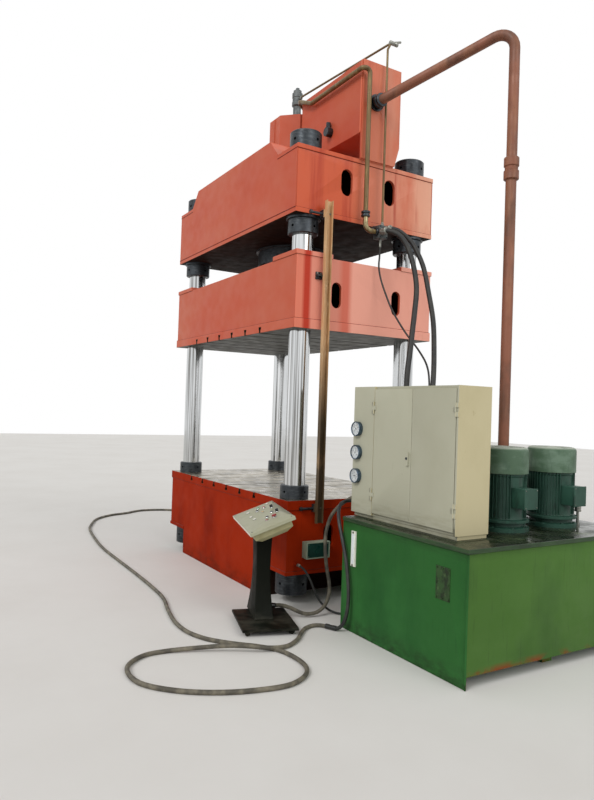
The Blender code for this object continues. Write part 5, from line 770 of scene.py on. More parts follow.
def drop(item):
    """Remove a pattern piece that has been copied."""
    bpy.data.objects.remove(item, do_unlink=True)


def merged(items):
    """Join pieces into the first of them."""
    pick(items[0])
    for item in items:
        item.select_set(True)
    if len(items) > 1:
        bpy.ops.object.join()
    return items[0]


def block(low, high):
    """A block between two corners."""
    clear_selection()
    bpy.ops.mesh.primitive_cube_add(
        size=1, location=[(a + b) / 2 for a, b in zip(low, high)], scale=[b - a for a, b in zip(low, high)]
    )
    bpy.ops.object.transform_apply(location=True, rotation=True, scale=True)
    return bpy.context.object


def over(base, *rings):
    """Rings of a profile whose heights are measured from a base."""
    return [(radius, base + height) for radius, height in rings]


def lathe(profile, sides=48, ring=False):
    """A turned shape about Z: a circle extruded and scaled through the rings of its profile."""
    clear_selection()
    radius, height = profile[0]
    bpy.ops.mesh.primitive_circle_add(
        vertices=sides, radius=radius, location=(0, 0, height), fill_type="NOTHING" if ring else "NGON"
    )
    item = bpy.context.object
    bpy.ops.object.transform_apply(location=True, rotation=True, scale=True)
    bpy.ops.object.mode_set(mode="EDIT")
    bpy.ops.mesh.select_all(action="SELECT")
    path = list(profile) + ([profile[0]] if ring else [])
    for before, after in zip(path, path[1:]):
        bpy.ops.mesh.extrude_region_move(TRANSFORM_OT_translate={"value": (0, 0, after[1] - before[1])})
        share = after[0] / before[0]
        if share != 1:
            bpy.ops.transform.resize(value=(share, share, 1), center_override=(0, 0, after[1]))
    bpy.ops.mesh.select_all(action="SELECT")
    bpy.ops.mesh.remove_doubles(threshold=0.00001)
    bpy.ops.mesh.normals_make_consistent(inside=False)
    bpy.ops.object.mode_set(mode="OBJECT")
    return item


def plate(outline, thickness):
    """A flat plate of an outline in X and Y, from Z 0 up."""
    clear_selection()
    bpy.ops.mesh.primitive_circle_add(vertices=len(outline), radius=1, fill_type="NGON")
    item = bpy.context.object
    for corner, place in zip(item.data.vertices, outline):
        corner.co = (*place, 0)
    bpy.ops.object.mode_set(mode="EDIT")
    bpy.ops.mesh.select_all(action="SELECT")
    bpy.ops.mesh.extrude_region_move(TRANSFORM_OT_translate={"value": (0, 0, thickness)})
    bpy.ops.mesh.select_all(action="SELECT")
    bpy.ops.mesh.normals_make_consistent(inside=False)
    bpy.ops.object.mode_set(mode="OBJECT")
    return item


def soften(item, width, segments=2, angle=40):
    """Round the sharp edges of a piece."""
    pick(item)
    bevel = item.modifiers.new("edge", "BEVEL")
    bevel.width = width
    bevel.segments = segments
    bevel.limit_method = "ANGLE"
    bevel.angle_limit = math.radians(angle)
    bpy.ops.object.modifier_apply(modifier="edge")
    return item


def cut_out(item, tool):
    """Cut a tool's shape out of a piece."""
    pick(item)
    cutter = item.modifiers.new("cut", "BOOLEAN")
    cutter.operation = "DIFFERENCE"
    cutter.solver = "EXACT"
    cutter.object = tool
    bpy.ops.object.modifier_apply(modifier="cut")
    drop(tool)
    return item


def sweep(points, radius, sides=12):
    """A round tube along points with a UV map in metres: along the tube, then round it."""
    points = [Vector(point) for point in points]
    mesh = bpy.data.meshes.new("sweep")
    shape = bmesh.new()
    layer = shape.loops.layers.uv.new("UVMap")
    ahead = (points[1] - points[0]).normalized()
    side = ahead.orthogonal().normalized()
    rings = []
    runs = [0]
    for index, point in enumerate(points):
        before = points[max(index - 1, 0)]
        after = points[min(index + 1, len(points) - 1)]
        turned = (after - before).normalized()
        side = ahead.rotation_difference(turned) @ side
        side = (side - turned * side.dot(turned)).normalized()
        ahead = turned
        across = ahead.cross(side)
        angles = [math.tau * step / sides for step in range(sides)]
        rings.append([
            shape.verts.new(point + (side * math.cos(angle) + across * math.sin(angle)) * radius)
            for angle in angles
        ])
        if index:
            runs.append(runs[-1] + (point - before).length)
    for index in range(len(rings) - 1):
        for step in range(sides):
            after = (step + 1) % sides
            near, far = rings[index], rings[index + 1]
            face = shape.faces.new((near[step], near[after], far[after], far[step]))
            marks = ((index, step), (index, step + 1), (index + 1, step + 1), (index + 1, step))
            for loop, (row, column) in zip(face.loops, marks):
                loop[layer].uv = (runs[row], column * math.tau * radius / sides)
    shape.faces.new(list(reversed(rings[0])))
    shape.faces.new(rings[-1])
    shape.to_mesh(mesh)
    shape.free()
    item = bpy.data.objects.new("sweep", mesh)
    bpy.context.scene.collection.objects.link(item)
    return item


def bend_round(route, bend, steps=8):
    """A route of straight runs with its corners rounded to a radius."""
    places = [Vector(place) for place in route]
    points = [places[0]]
    for before, corner, after in zip(places, places[1:], places[2:]):
        back = (before - corner).normalized()
        on = (after - corner).normalized()
        angle = back.angle(on)
        reach = min(bend / math.tan(angle / 2), (before - corner).length / 2, (after - corner).length / 2)
        middle = corner + (back + on).normalized() * (reach / math.cos(angle / 2))
        start = corner + back * reach - middle
        axis = start.cross(corner + on * reach - middle)
        span = math.pi - angle
        for step in range(steps + 1):
            turn = Matrix.Rotation(span * step / steps, 3, axis)
            points.append(middle + turn @ start)
    points.append(places[-1])
    return points


def done(item, name, finishes, body="press", slot=None, replaces=(), smooth=20):
    """Name a finished piece, give it its finishes and let it ride on its body."""
    item.name = name
    item.data.name = name
    item.data.materials.clear()
    for finish in ([finishes] if isinstance(finishes, str) else finishes):
        item.data.materials.append(FINISH[finish])
    pick(item)
    bpy.ops.object.shade_smooth_by_angle(angle=math.radians(smooth))
    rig.ride(item, body)
    if slot:
        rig.slot(item, slot)
    if replaces:
        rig.replaces(item, *replaces)
    return item


def steel(item, name, finish="blackened_steel", body="press"):
    """Finish a bare metal part, which belongs to the dark steel slot."""
    return done(item, name, finish, body, "dark_steel")


def paint_faces(item, chooser):
    """Give each face the finish that a function picks from its middle and its normal."""
    for face in item.data.polygons:
        face.material_index = chooser(face.center, face.normal)


def dressed(node, width, shortest=0.02):
    """A copy of a node's mesh with its flat faces merged and its long outer edges rounded."""
    item = bpy.data.objects.new(node + "_skin", bpy.data.objects[node].data.copy())
    bpy.context.scene.collection.objects.link(item)
    item.data.materials.clear()
    pick(item)
    bpy.ops.object.mode_set(mode="EDIT")
    bpy.ops.mesh.select_mode(type="EDGE")
    bpy.ops.mesh.select_all(action="SELECT")
    bpy.ops.mesh.remove_doubles(threshold=0.00003)
    bpy.ops.mesh.dissolve_limited(angle_limit=math.radians(0.5))
    bpy.ops.mesh.select_all(action="DESELECT")
    if width:
        shape = bmesh.from_edit_mesh(item.data)
        for edge in shape.edges:
            if edge.is_manifold and edge.is_convex and edge.calc_length() >= shortest:
                if edge.calc_face_angle() > math.radians(50):
                    edge.select_set(True)
        bmesh.update_edit_mesh(item.data)
        bpy.ops.mesh.bevel(offset=width, segments=2, affect="EDGES", clamp_overlap=False)
    bpy.ops.object.mode_set(mode="OBJECT")
    return item


def clad(node, name, finishes, slot, chooser=None, item=None, width=None, shortest=0.02, **more):
    """Dress one node: a copy of it, or a piece made from one, is finished and stands for the node."""
    width = bpy.context.scene.press_sizes.plate_edge if width is None else width
    item = item or dressed(node, width, shortest)
    done(item, name, finishes, slot=slot, replaces=(node,), **more)
    if chooser:
        paint_faces(item, chooser)
    return item


def centre_of(node):
    """Middle of a node's box in X and Y."""
    low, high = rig.box(node)
    return (low[0] + high[0]) / 2, (low[1] + high[1]) / 2


def resized(item, scale, about):
    """Scale a whole mesh about a point."""
    pick(item)
    bpy.ops.object.mode_set(mode="EDIT")
    bpy.ops.mesh.select_all(action="SELECT")
    bpy.ops.transform.resize(value=scale, center_override=about)
    bpy.ops.object.mode_set(mode="OBJECT")
    return item


def hex_bolt(size):
    """A hexagon bolt head on its washer, along +Z from its seat."""
    head = lathe([(size, size * 0.25), (size, size * 0.85), (size * 0.86, size * 1.0)], 6)
    washer = lathe([(size * 1.35, 0), (size * 1.35, size * 0.25)], 16)
    return merged([head, washer])


def cap_screw(size):
    """A socket head screw along +Z from its seat."""
    socket = size * 0.5
    return lathe([(size, 0), (size, size * 0.9), (size * 0.9, size), (socket, size), (socket, socket)], 16)


def copies(first, places, facing):
    """A pattern piece copied to several places that face the same way."""
    made = [face_along(twin(first), place, facing) for place in places]
    drop(first)
    return made


def turned_copies(first, angles):
    """A pattern piece copied at several angles about Z."""
    made = [settle(twin(first), turn=(0, 0, angle)) for angle in angles]
    drop(first)
    return made


def bolts(name, places, facing, size, body="press", finish="zinc_plate", pattern=hex_bolt, slot="dark_steel"):
    """One bolt modelled and copied to several places that face the same way."""
    return done(merged(copies(pattern(size), places, facing)), name, finish, body, slot)


def circle_places(middle, radius, count, start=0.0):
    """Places round a level circle."""
    x, y, z = middle
    angles = [start + math.tau * index / count for index in range(count)]
    return [(x + radius * math.cos(angle), y + radius * math.sin(angle), z) for angle in angles]


def beads(name, runs, finish, body="press", slot="crown_paint", share=1.0):
    """Fillet welds along seams, each half sunk into its corner."""
    radius = bpy.context.scene.press_sizes.weld / 2 * share
    tubes = []
    for start, end in runs:
        points = [Vector(start).lerp(Vector(end), step / 6) for step in range(7)]
        tubes.append(sweep(points, radius, 8))
    return done(merged(tubes), name, finish, body, slot)


def on_panel(item, shares):
    """Stand a piece made along +Z on the console's panel, at shares of its width and depth."""
    place = Matrix.Translation((*CONSOLE_PLACE, PANEL_Z)) @ Matrix.Rotation(CONSOLE_YAW, 4, "Z")
    place = place @ Matrix.Rotation(CONSOLE_TILT, 4, "X")
    place = place @ Matrix.Translation((shares[0] * PANEL_SIZE[0], shares[1] * PANEL_SIZE[1], 0))
    return settle(item, place.translation, place.to_euler())


# Stage and cords


def make_stage():
    """Camera, floor and lights."""
    scene = bpy.context.scene
    data = bpy.data.cameras.new("camera")
    data.lens = CAMERA_LENS
    data.sensor_width = SENSOR_WIDTH
    camera = bpy.data.objects.new("camera", data)
    scene.collection.objects.link(camera)
    azimuth, pitch = CAMERA_AZIMUTH, CAMERA_PITCH
    level = Vector((-math.sin(azimuth), math.cos(azimuth), 0))
    forward = level * math.cos(pitch) + Vector(UP) * math.sin(pitch)
    right = Vector((math.cos(azimuth), math.sin(azimuth), 0))
    up = right.cross(forward)
    turned_right = right * math.cos(CAMERA_ROLL) + up * math.sin(CAMERA_ROLL)
    turned_up = up * math.cos(CAMERA_ROLL) - right * math.sin(CAMERA_ROLL)
    camera.matrix_world = Matrix.Translation(CAMERA_PLACE) @ Matrix(
        (turned_right, turned_up, -forward)
    ).transposed().to_4x4()
    scene.camera = camera
    clear_selection()
    bpy.ops.mesh.primitive_plane_add(size=FLOOR_SIZE)
    floor = bpy.context.object
    floor.name = "floor"
    # Sealed pale concrete: even, matt, with the faintest clouding
    floor.data.materials.append(coating("pale_concrete", "DAD8D4", (
        ("D2CFCA", (1.5, 1.5, 1.5), 0.4, 0.7, 0.6),
    ), (0.75, 0.85)))
    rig.stage(floor)
    world = bpy.data.worlds.new("studio")
    world.use_nodes = True
    scene.world = world
    light = world.node_tree.nodes["Background"]
    light.inputs["Color"].default_value = (1, 1, 1, 1)
    light.inputs["Strength"].default_value = AMBIENT
    seen = add_node(world, "ShaderNodeBackground", values={"Color": (1, 1, 1, 1), "Strength": 1})
    rays = add_node(world, "ShaderNodeLightPath").outputs
    glossy = add_node(
        world, "ShaderNodeMath", {0: rays["Is Glossy Ray"], 1: rays["Is Transmission Ray"]},
        operation="MAXIMUM",
    )
    direct = add_node(
        world, "ShaderNodeMath", {0: rays["Is Camera Ray"], 1: glossy.outputs[0]}, operation="MAXIMUM"
    )
    mix = add_node(
        world, "ShaderNodeMixShader", {0: direct.outputs[0], 1: light.outputs[0], 2: seen.outputs[0]}
    )
    world.node_tree.links.new(mix.outputs[0], world.node_tree.nodes["World Output"].inputs["Surface"])
    for name, turn, power, angle in SUNS:
        lamp = bpy.data.lights.new(name, "SUN")
        lamp.energy = power
        lamp.angle = math.radians(angle)
        holder = bpy.data.objects.new(name, lamp)
        holder.rotation_euler = [math.radians(degrees) for degrees in turn]
        scene.collection.objects.link(holder)
    scene.view_settings.view_transform = "Standard"


def smooth_route(route, spacing):
    """Even points on a smooth curve through a cord's route, with a straight lead at each end."""
    places = [Vector(place) for place in route]
    fine = []
    for a, b, c, d in zip(places, places[1:], places[2:], places[3:]):
        for step in range(24):
            t = step / 24
            bow = (a * 2 - b * 5 + c * 4 - d) * t**2
            turn = (b * 3 - a - c * 3 + d) * t**3
            fine.append((b * 2 + (c - a) * t + bow + turn) / 2)
    fine.append(places[-2])
    length = sum((after - before).length for before, after in zip(fine, fine[1:]))
    count = max(2, round(length / spacing))
    points = [fine[0]]
    walked = 0
    for before, after in zip(fine, fine[1:]):
        step = (after - before).length
        while len(points) < count and walked + step >= length * len(points) / count:
            share = (length * len(points) / count - walked) / step
            points.append(before.lerp(after, share))
        walked += step
    return [places[0], *points, fine[-1], places[-1]]


def ferrule(start, ahead, radius, nut):
    """A hose end: a crimped sleeve with its rings and a hexagon nut, from the nut's seat along the hose."""
    sleeve = lathe([
        (radius * 1.12, nut), (radius * 1.32, nut * 1.1), (radius * 1.32, nut * 1.6),
        (radius * 1.18, nut * 1.7), (radius * 1.32, nut * 1.85), (radius * 1.32, nut * 2.4),
        (radius * 1.18, nut * 2.5), (radius * 1.32, nut * 2.65), (radius * 1.32, nut * 3.1),
        (radius * 1.02, nut * 3.25),
    ], 32)
    head = lathe([
        (radius * 1.25, 0), (radius * 1.45, nut * 0.12), (radius * 1.45, nut * 0.88), (radius * 1.2, nut),
    ], 6)
    return face_along(merged([sleeve, head]), start, ahead)


def gland(start, ahead, radius, length):
    """A cable's strain relief: a hexagon collar and a rubber cone with rings that tapers to the cable."""
    cone = lathe([
        (radius * 1.25, length * 0.25), (radius * 1.5, length * 0.30), (radius * 1.45, length * 0.45),
        (radius * 1.30, length * 0.48), (radius * 1.38, length * 0.60), (radius * 1.22, length * 0.63),
        (radius * 1.28, length * 0.78), (radius * 1.05, length),
    ], 24)
    collar = lathe([(radius * 1.7, 0), (radius * 1.7, length * 0.25)], 6)
    return face_along(merged([cone, collar]), start, ahead)


def make_cords():
    """The free hoses and cables, with their end fittings and strain reliefs."""
    for name, (diameter, finish, stiffness, lay, route) in CORDS.items():
        radius = diameter / 2
        points = smooth_route(route, diameter)
        cord = done(sweep(points, radius, 16), name + "_cord", finish, replaces=(name,), smooth=60)
        length = sum((after - before).length for before, after in zip(points, points[1:]))
        out = (points[1] - points[0]).normalized()
        back = (points[-2] - points[-1]).normalized()
        ends = {"start": (points[0], out), "end": (points[-1], back)}
        if name == "supply_cable":
            del ends["start"]
        if name == "floor_cable":
            del ends["end"]
        fittings = []
        for end, (place, ahead) in ends.items():
            if "hose" in name:
                item = ferrule(place, ahead, radius, THIN_NUT if name == "drain_hose" else HOSE_NUT)
                fittings.append(done(item, name + "_fitting_" + end, "zinc_plate", slot="dark_steel"))
            else:
                item = gland(place, ahead, radius, GLAND_LENGTH)
                fittings.append(done(item, name + "_fitting_" + end, "gasket_rubber", slot="hose_rubber"))
        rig.cord(
            cord, exit=points[0], length=length, diameter=diameter, far_end="object", stiffness=stiffness,
            lay=lay, path=points, with_pieces=fittings,
        )
        print("CORD", name, round(length, 3))
    # Coupling in which the floor cable meets the supply cable
    points = smooth_route(CORDS["supply_cable"][4], 0.028)
    ahead = (points[1] - points[0]).normalized()
    sleeve = lathe([
        (0.0155, -0.050), (0.0195, -0.046), (0.0195, -0.018), (0.0175, -0.015), (0.0175, 0.015),
        (0.0195, 0.018), (0.0195, 0.046), (0.0150, 0.050),
    ], 32)
    face_along(sleeve, points[0] + Vector((0, 0, 0.0045)), ahead)
    done(sleeve, "cable_coupling", "gasket_rubber", slot="hose_rubber")


# Welded frames


def oval_tool(width, height, x_from, x_to, y, z):
    """A cutter of one oval hole along X."""
    radius = width / 2
    rise = height / 2 - radius
    outline = []
    for side in (1, -1):
        for step in range(25):
            angle = math.pi * step / 24 + (0 if side > 0 else math.pi)
            outline.append((radius * math.cos(angle), side * rise + radius * math.sin(angle)))
    return settle(plate(outline, x_to - x_from), (x_from, y, z), (math.pi / 2, 0, math.pi / 2))


def with_ovals(node):
    """A welded frame's dressed copy with smooth oval holes cut through both its ends."""
    item = dressed(node, bpy.context.scene.press_sizes.plate_edge)
    low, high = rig.box(node)
    pitch, width, height, rise = OVALS[node]
    for y in (-pitch / 2, pitch / 2):
        for x_from, x_to in ((low[0] - 0.02, low[0] + WALL), (high[0] - WALL, high[0] + 0.02)):
            cut_out(item, oval_tool(width, height, x_from, x_to, y, low[2] + rise))
    return item


def seam_across(x, y, z):
    """A seam along X, from one side of the frame to the other."""
    return (-x, y, z), (x, y, z)


def seam_along(x, y, z):
    """A seam along Y, from the front of the frame to its back."""
    return (x, -y, z), (x, y, z)


def seam_round(x, y, z):
    """Seams round the four sides of a frame."""
    return [seam_across(x, side * y, z) for side in SIDES] + [seam_along(side * x, y, z) for side in SIDES]


def make_base():
    """Welded base with its slotted table."""
    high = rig.box("base")[1]
    face_x, face_y, table = 1.367, high[1], high[2]
    edge = 0.004

    def choose(middle, normal):
        if normal.z > 0.2 and middle.z > table - edge:
            return 1 if abs(middle.y) < face_y - edge and abs(middle.x) < face_x - edge else 0
        # The slots' walls take the oily steel, darkened as painted shade
        if middle.z > table - SLOT_DEPTH and abs(middle.x) < SLOT_REACH and abs(normal.y) < 0.5:
            return 3
        # The frame's insides take the primer that is painted shade
        inside = abs(middle.x) < face_x - WALL and abs(middle.y) < face_y - 0.036
        return 2 if inside and 0.002 < middle.z < table - 0.060 else 0

    finishes = ("base_enamel", "planed_steel", "dark_primer", "oiled_steel")
    clad("base", "base_frame", finishes, "base_paint", choose, with_ovals("base"))
    inner_x, inner_y = face_x - SEAM_INSET, face_y - SEAM_INSET
    foot_x, foot_z, arm_z = 0.960, 0.265, 0.295
    runs = seam_round(inner_x, inner_y, table - 0.080)
    for side in SIDES:
        runs.append(seam_along(side * inner_x, inner_y, arm_z))
        runs.append(seam_along(side * foot_x, inner_y, foot_z))
        for front in SIDES:
            runs.append(((side * foot_x, front * inner_y, arm_z), (side * inner_x, front * inner_y, arm_z)))
    # The welds take the painted seam shadow: dark lines of painted shade along the joints
    beads("base_welds", runs, "seam_dirt", slot="base_paint", share=SEAM_SHARE)


def make_slider():
    """Welded slider with its slotted underside."""
    low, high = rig.box("slider")
    underside = low[2]

    def choose(middle, normal):
        # The underside and the slots' walls take the oily steel, darkened as painted shade
        if middle.z < underside + 0.001:
            return 1
        if middle.z < underside + SLOT_DEPTH and abs(middle.x) < SLOT_REACH and abs(normal.y) < 0.5:
            return 1
        # The frame's insides take the primer that is painted shade
        inside = abs(middle.x) < high[0] - WALL and abs(middle.y) < high[1] - WALL
        if inside and underside + 0.06 < middle.z < high[2] - 0.040:
            return 2
        # The ends take the pale copy of the enamel, with painted light and bands of painted reflection
        return 3 if abs(normal.x) > 0.5 else 0

    finishes = ("crown_enamel", "oiled_steel", "dark_primer", "slider_enamel_ends")
    clad("slider", "slider_frame", finishes, "crown_paint", choose, with_ovals("slider"), body="slider")
    runs = seam_round(high[0] - SEAM_INSET, high[1] - SEAM_INSET, underside + 0.082)
    # The welds take the painted seam shadow: dark lines of painted shade along the joints
    beads("slider_welds", runs, "seam_dirt", "slider", share=SEAM_SHARE)


def make_crown():
    """Welded crown with its sloped hood."""
    low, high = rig.box("crown")
    shelf = low[2] + SHELF_RISE

    def choose(middle, normal):
        # The underside and the insides take the primer that is painted shade
        if middle.z < low[2] + 0.001:
            return 1
        inside = abs(middle.x) < high[0] - WALL and abs(middle.y) < high[1] - WALL
        if inside and middle.z < shelf - 0.037:
            return 1
        # The ends and the shelf's top take the shaded copy of the enamel, with its painted light
        return 2 if abs(normal.x) > 0.5 or (normal.z > 0.9 and middle.z > shelf - 0.010) else 0

    finishes = ("crown_enamel", "dark_primer", "crown_enamel_ends")
    clad("crown", "crown_frame", finishes, "crown_paint", choose, with_ovals("crown"))
    inner_x, inner_y = high[0] - SEAM_INSET, high[1] - SEAM_INSET
    # Front and back plates, each one sheet up to the hood's top
    foot, lip, top = low[2] + 0.040, shelf - 0.038, low[2] + 0.746
    lip_x, hood_x, top_x = 0.994, 0.990, 0.840
    right = [(inner_x, foot), (inner_x, lip), (lip_x, lip), (hood_x, shelf), (top_x, top)]
    left = [(-x, z) for x, z in reversed(right)]
    outline = [left[-1], *right, *left[:-1]]
    depth = 0.0087
    for side, name in ((-1, "front"), (1, "back")):
        sheet = plate(outline, depth)
        settle(sheet, (0, side * inner_y + (0 if side < 0 else depth), 0), (math.pi / 2, 0, 0))
        done(soften(sheet, 0.002), "crown_%s_plate" % name, "crown_enamel", slot="crown_paint")
    face_y = inner_y + 0.0082
    runs = [seam_across(inner_x, side * face_y, foot) for side in SIDES]
    for side in SIDES:
        for end in SIDES:
            runs.append(((end * lip_x, side * face_y, lip), (end * inner_x, side * face_y, lip)))
        for z in (foot, lip):
            runs.append(seam_along(side * inner_x, inner_y, z))
        runs.append(seam_along(side * hood_x, inner_y, shelf))
    # The welds take the painted seam shadow: dark lines of painted shade along the joints
    beads("crown_welds", runs, "seam_dirt", share=SEAM_SHARE)


def make_covers():
    """Cylinder cover and oil tank on the crown."""
    clad("cylinder_cover", "cover_shell", "crown_enamel", "crown_paint")
    low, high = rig.box("oil_tank")
    valve_x, valve_z = 0.865, 4.310

    def choose(middle, normal):
        near = abs(middle.x - valve_x) < 0.05 and abs(middle.z - valve_z) < 0.14
        if near and middle.y < low[1] + 0.0585:
            return 1
        # The tank's end takes the shaded copy of the enamel, with its painted light
        return 2 if normal.x > 0.5 else 0

    finishes = ("crown_enamel", "blackened_steel", "crown_enamel_ends")
    clad("oil_tank", "oil_tank_shell", finishes, "crown_paint", choose)
    plate_x = high[0] - 0.025
    saddle_x, saddle_z = plate_x + 0.005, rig.box("crown")[0][2] + SHELF_RISE + 0.002
    runs = [
        ((plate_x, -0.122, low[2] + 0.24), (plate_x, -0.122, high[2] - 0.004)),
        ((saddle_x, -0.118, saddle_z), (saddle_x, 0.255, saddle_z)),
    ]
    beads("oil_tank_welds", runs, "crown_enamel_ends", share=1.2)
    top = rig.box("cylinder_cover")[1][2]
    bolts("cover_bolts", circle_places((0, 0, top), 0.215, 8, math.radians(22.5)), UP, 0.012)


# Columns, nuts and the main cylinder


def bar_holes(item, outer, z, radius, depth):
    """Four holes for the tightening bar round a nut."""
    for index in range(4):
        angle = math.radians(16) + math.tau * index / 4
        tool = lathe([(radius, 0), (radius, depth + 0.02)], 24)
        ahead = (math.cos(angle), math.sin(angle), 0)
        start = ((outer - depth) * ahead[0], (outer - depth) * ahead[1], z)
        cut_out(item, face_along(tool, start, ahead))
    return item


def make_columns():
    """Chromed columns with their collars on the table and their foot nuts."""
    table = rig.box("base")[1][2]
    for number in range(1, 5):
        node = "column_%d" % number
        low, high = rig.box(node)
        at = (*centre_of(node), 0)
        foot, top = low[2], high[2]
        rod = lathe([
            (0.070, foot), (0.095, foot + 0.012),
            *over(top, (0.095, -0.012), (0.083, 0), (0.012, 0), (0.009, -0.02)),
        ], 72)
        done(settle(rod, at), "column_rod_%d" % number, "hard_chrome", slot="chrome", replaces=(node,))
        collar = lathe(over(
            table, (COLUMN_BORE, 0), (0.123, 0), (0.125, 0.002), (0.125, 0.107), (0.117, 0.115),
            (COLUMN_BORE, 0.115),
        ), 72, ring=True)
        bar_holes(collar, 0.125, table + 0.060, 0.011, 0.018)
        steel(settle(collar, at), "column_collar_%d" % number)
        nut = lathe(over(
            foot, (COLUMN_BORE, 0.020), (0.132, 0.020), (0.140, 0.028), (0.140, 0.202), (0.132, 0.210),
            (COLUMN_BORE, 0.210),
        ), 72, ring=True)
        bar_holes(nut, 0.140, foot + 0.115, *NUT_HOLE)
        steel(settle(nut, at), "column_foot_nut_%d" % number)


def make_nuts():
    """Round nuts above and below the crown on each column, the lower ones with washers."""
    low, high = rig.box("crown_nut_upper_1")
    bottom, top = low[2], high[2]
    outer = 0.140
    upper = lathe([
        *over(bottom, (COLUMN_BORE, 0), (outer - 0.003, 0), (outer, 0.003)),
        *over(top, (outer, -0.008), (outer - 0.008, 0), (COLUMN_BORE, 0)),
    ], 72, ring=True)
    bar_holes(upper, outer, (bottom + top) / 2, *NUT_HOLE)
    spread_nuts(upper, "upper")
    low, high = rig.box("crown_nut_lower_1")
    bottom, top = low[2], high[2]
    outer, washer = 0.1335, top - 0.023
    lower = lathe([
        *over(bottom, (COLUMN_BORE, 0), (outer - 0.008, 0), (outer, 0.008)),
        *over(washer, (outer, -0.003), (outer - 0.002, 0), (0.148, 0), (0.150, 0.002)),
        (0.150, top), (COLUMN_BORE, top),
    ], 72, ring=True)
    bar_holes(lower, outer, (bottom + washer) / 2, *NUT_HOLE)
    spread_nuts(lower, "lower")


def spread_nuts(nut, place):
    """One nut copied to the four columns."""
    for number in range(1, 5):
        node = "crown_nut_%s_%d" % (place, number)
        copy = settle(twin(nut), (*centre_of(node), 0))
        done(copy, "nut_%s_%d" % (place, number), "blackened_steel", slot="dark_steel", replaces=(node,))
    drop(nut)


def make_cylinder():
    """Main cylinder with its flange and gland, and the ram."""
    low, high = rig.box("main_cylinder")
    bottom, top = low[2], high[2]
    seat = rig.box("crown")[0][2]
    flange = seat - SEAT_GAP
    item = lathe([
        (0.200, seat), (0.1805, seat),
        *over(bottom, (0.1805, 0.002), (0.1825, 0), (0.352, 0), (0.360, 0.008)),
        *over(flange, (0.360, -0.020), (0.379, -0.020), (0.382, -0.017), (0.382, 0), (0.245, 0)),
        *over(top, (0.245, 0), (0.025, 0), (0.025, -0.070), (0.200, -0.070)),
    ], 96, ring=True)
    done(item, "cylinder_body", "blackened_steel", slot="dark_steel", replaces=("main_cylinder",))
    bolts("gland_bolts", circle_places((0, 0, bottom), 0.310, 16, math.radians(11)), DOWN, 0.020)
    low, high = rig.box("main_ram")
    item = lathe([
        (0.165, low[2]), (0.180, low[2] + 0.015),
        *over(high[2], (0.180, -0.121), (0.198, -0.120), (0.1995, -0.118), (0.1995, -0.002), (0.198, 0)),
    ], 96)
    done(item, "ram", "hard_chrome", "slider", "chrome", ("main_ram",))
    flange = lathe(over(
        low[2], (0.1803, 0), (0.262, 0), (0.265, 0.003), (0.265, 0.015), (0.262, 0.018), (0.1803, 0.018),
    ), 72, ring=True)
    steel(flange, "ram_flange", body="slider")
    bolts("ram_bolts", circle_places((0, 0, low[2] + 0.018), 0.228, 12), UP, 0.009, "slider")


def make_prefill_valve():
    """Prefill valve over the cover, with its branch."""
    low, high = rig.box("prefill_valve")
    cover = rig.box("cylinder_cover")[1][2]
    body = cover + VALVE_RISE
    item = lathe([
        *over(low[2], (0.075, 0), (0.075, 0.022), (0.0425, 0.022)),
        *over(
            body, (0.0425, -0.010), (0.050, 0), (0.056, 0.004), (0.056, 0.040), (0.052, 0.046),
            (0.052, 0.086), (0.056, 0.092), (0.056, 0.136), (0.0435, 0.140), (0.0435, 0.168),
            (0.0400, 0.170), (0.020, 0.170),
        ),
        (0.020, high[2] - 0.004), (0.016, high[2]),
    ], 64)
    branch = lathe([
        (0.025, 0), (0.025, 0.116), (0.043, 0.116), (0.043, 0.137), (0.041, 0.138), (0.018, 0.138),
        (0.018, 0.120),
    ], 40)
    face_along(branch, (0, 0, cover + 0.100), LEFT)
    done(merged([item, branch]), "prefill_body", "cast_iron", slot="dark_steel", replaces=("prefill_valve",))
    bolts("prefill_cap_bolts", circle_places((0, 0, body + 0.140), 0.050, 6), UP, 0.0055)
    collar = lathe(over(
        cover, (0.0430, 0), (0.095, 0), (0.097, 0.002), (0.097, 0.016), (0.095, 0.018), (0.0430, 0.018),
    ), 64, ring=True)
    steel(collar, "prefill_collar", "cast_iron")
    bolts("prefill_collar_bolts", circle_places((0, 0, cover + 0.018), 0.076, 8), UP, 0.008)


# Pipes


def pipe_run(kind, route, radius, sides, finish):
    """A pipe along its route, which stands for its node."""
    item = sweep(route, radius, sides)
    done(item, kind + "_run", finish, slot="pipe_paint", replaces=(kind + "_pipe",), smooth=60)


def flange_disc(radius, bolt_circle, count, bolt_size, at, facing):
    """A pipe flange with its bolts on its seat."""
    thickness, edge = 0.018, 0.002
    disc = lathe([
        (radius - edge, 0), (radius, edge), (radius, thickness - edge), (radius - edge, thickness),
    ], 48)
    heads = copies(hex_bolt(bolt_size), circle_places((0, 0, thickness), bolt_circle, count), UP)
    return face_along(merged([disc, *heads]), at, facing)


def make_pipes():
    """Return, pressure and pilot pipes with their flanges and fittings."""
    make_return_pipe()
    make_pressure_pipe()
    make_pilot_pipe()


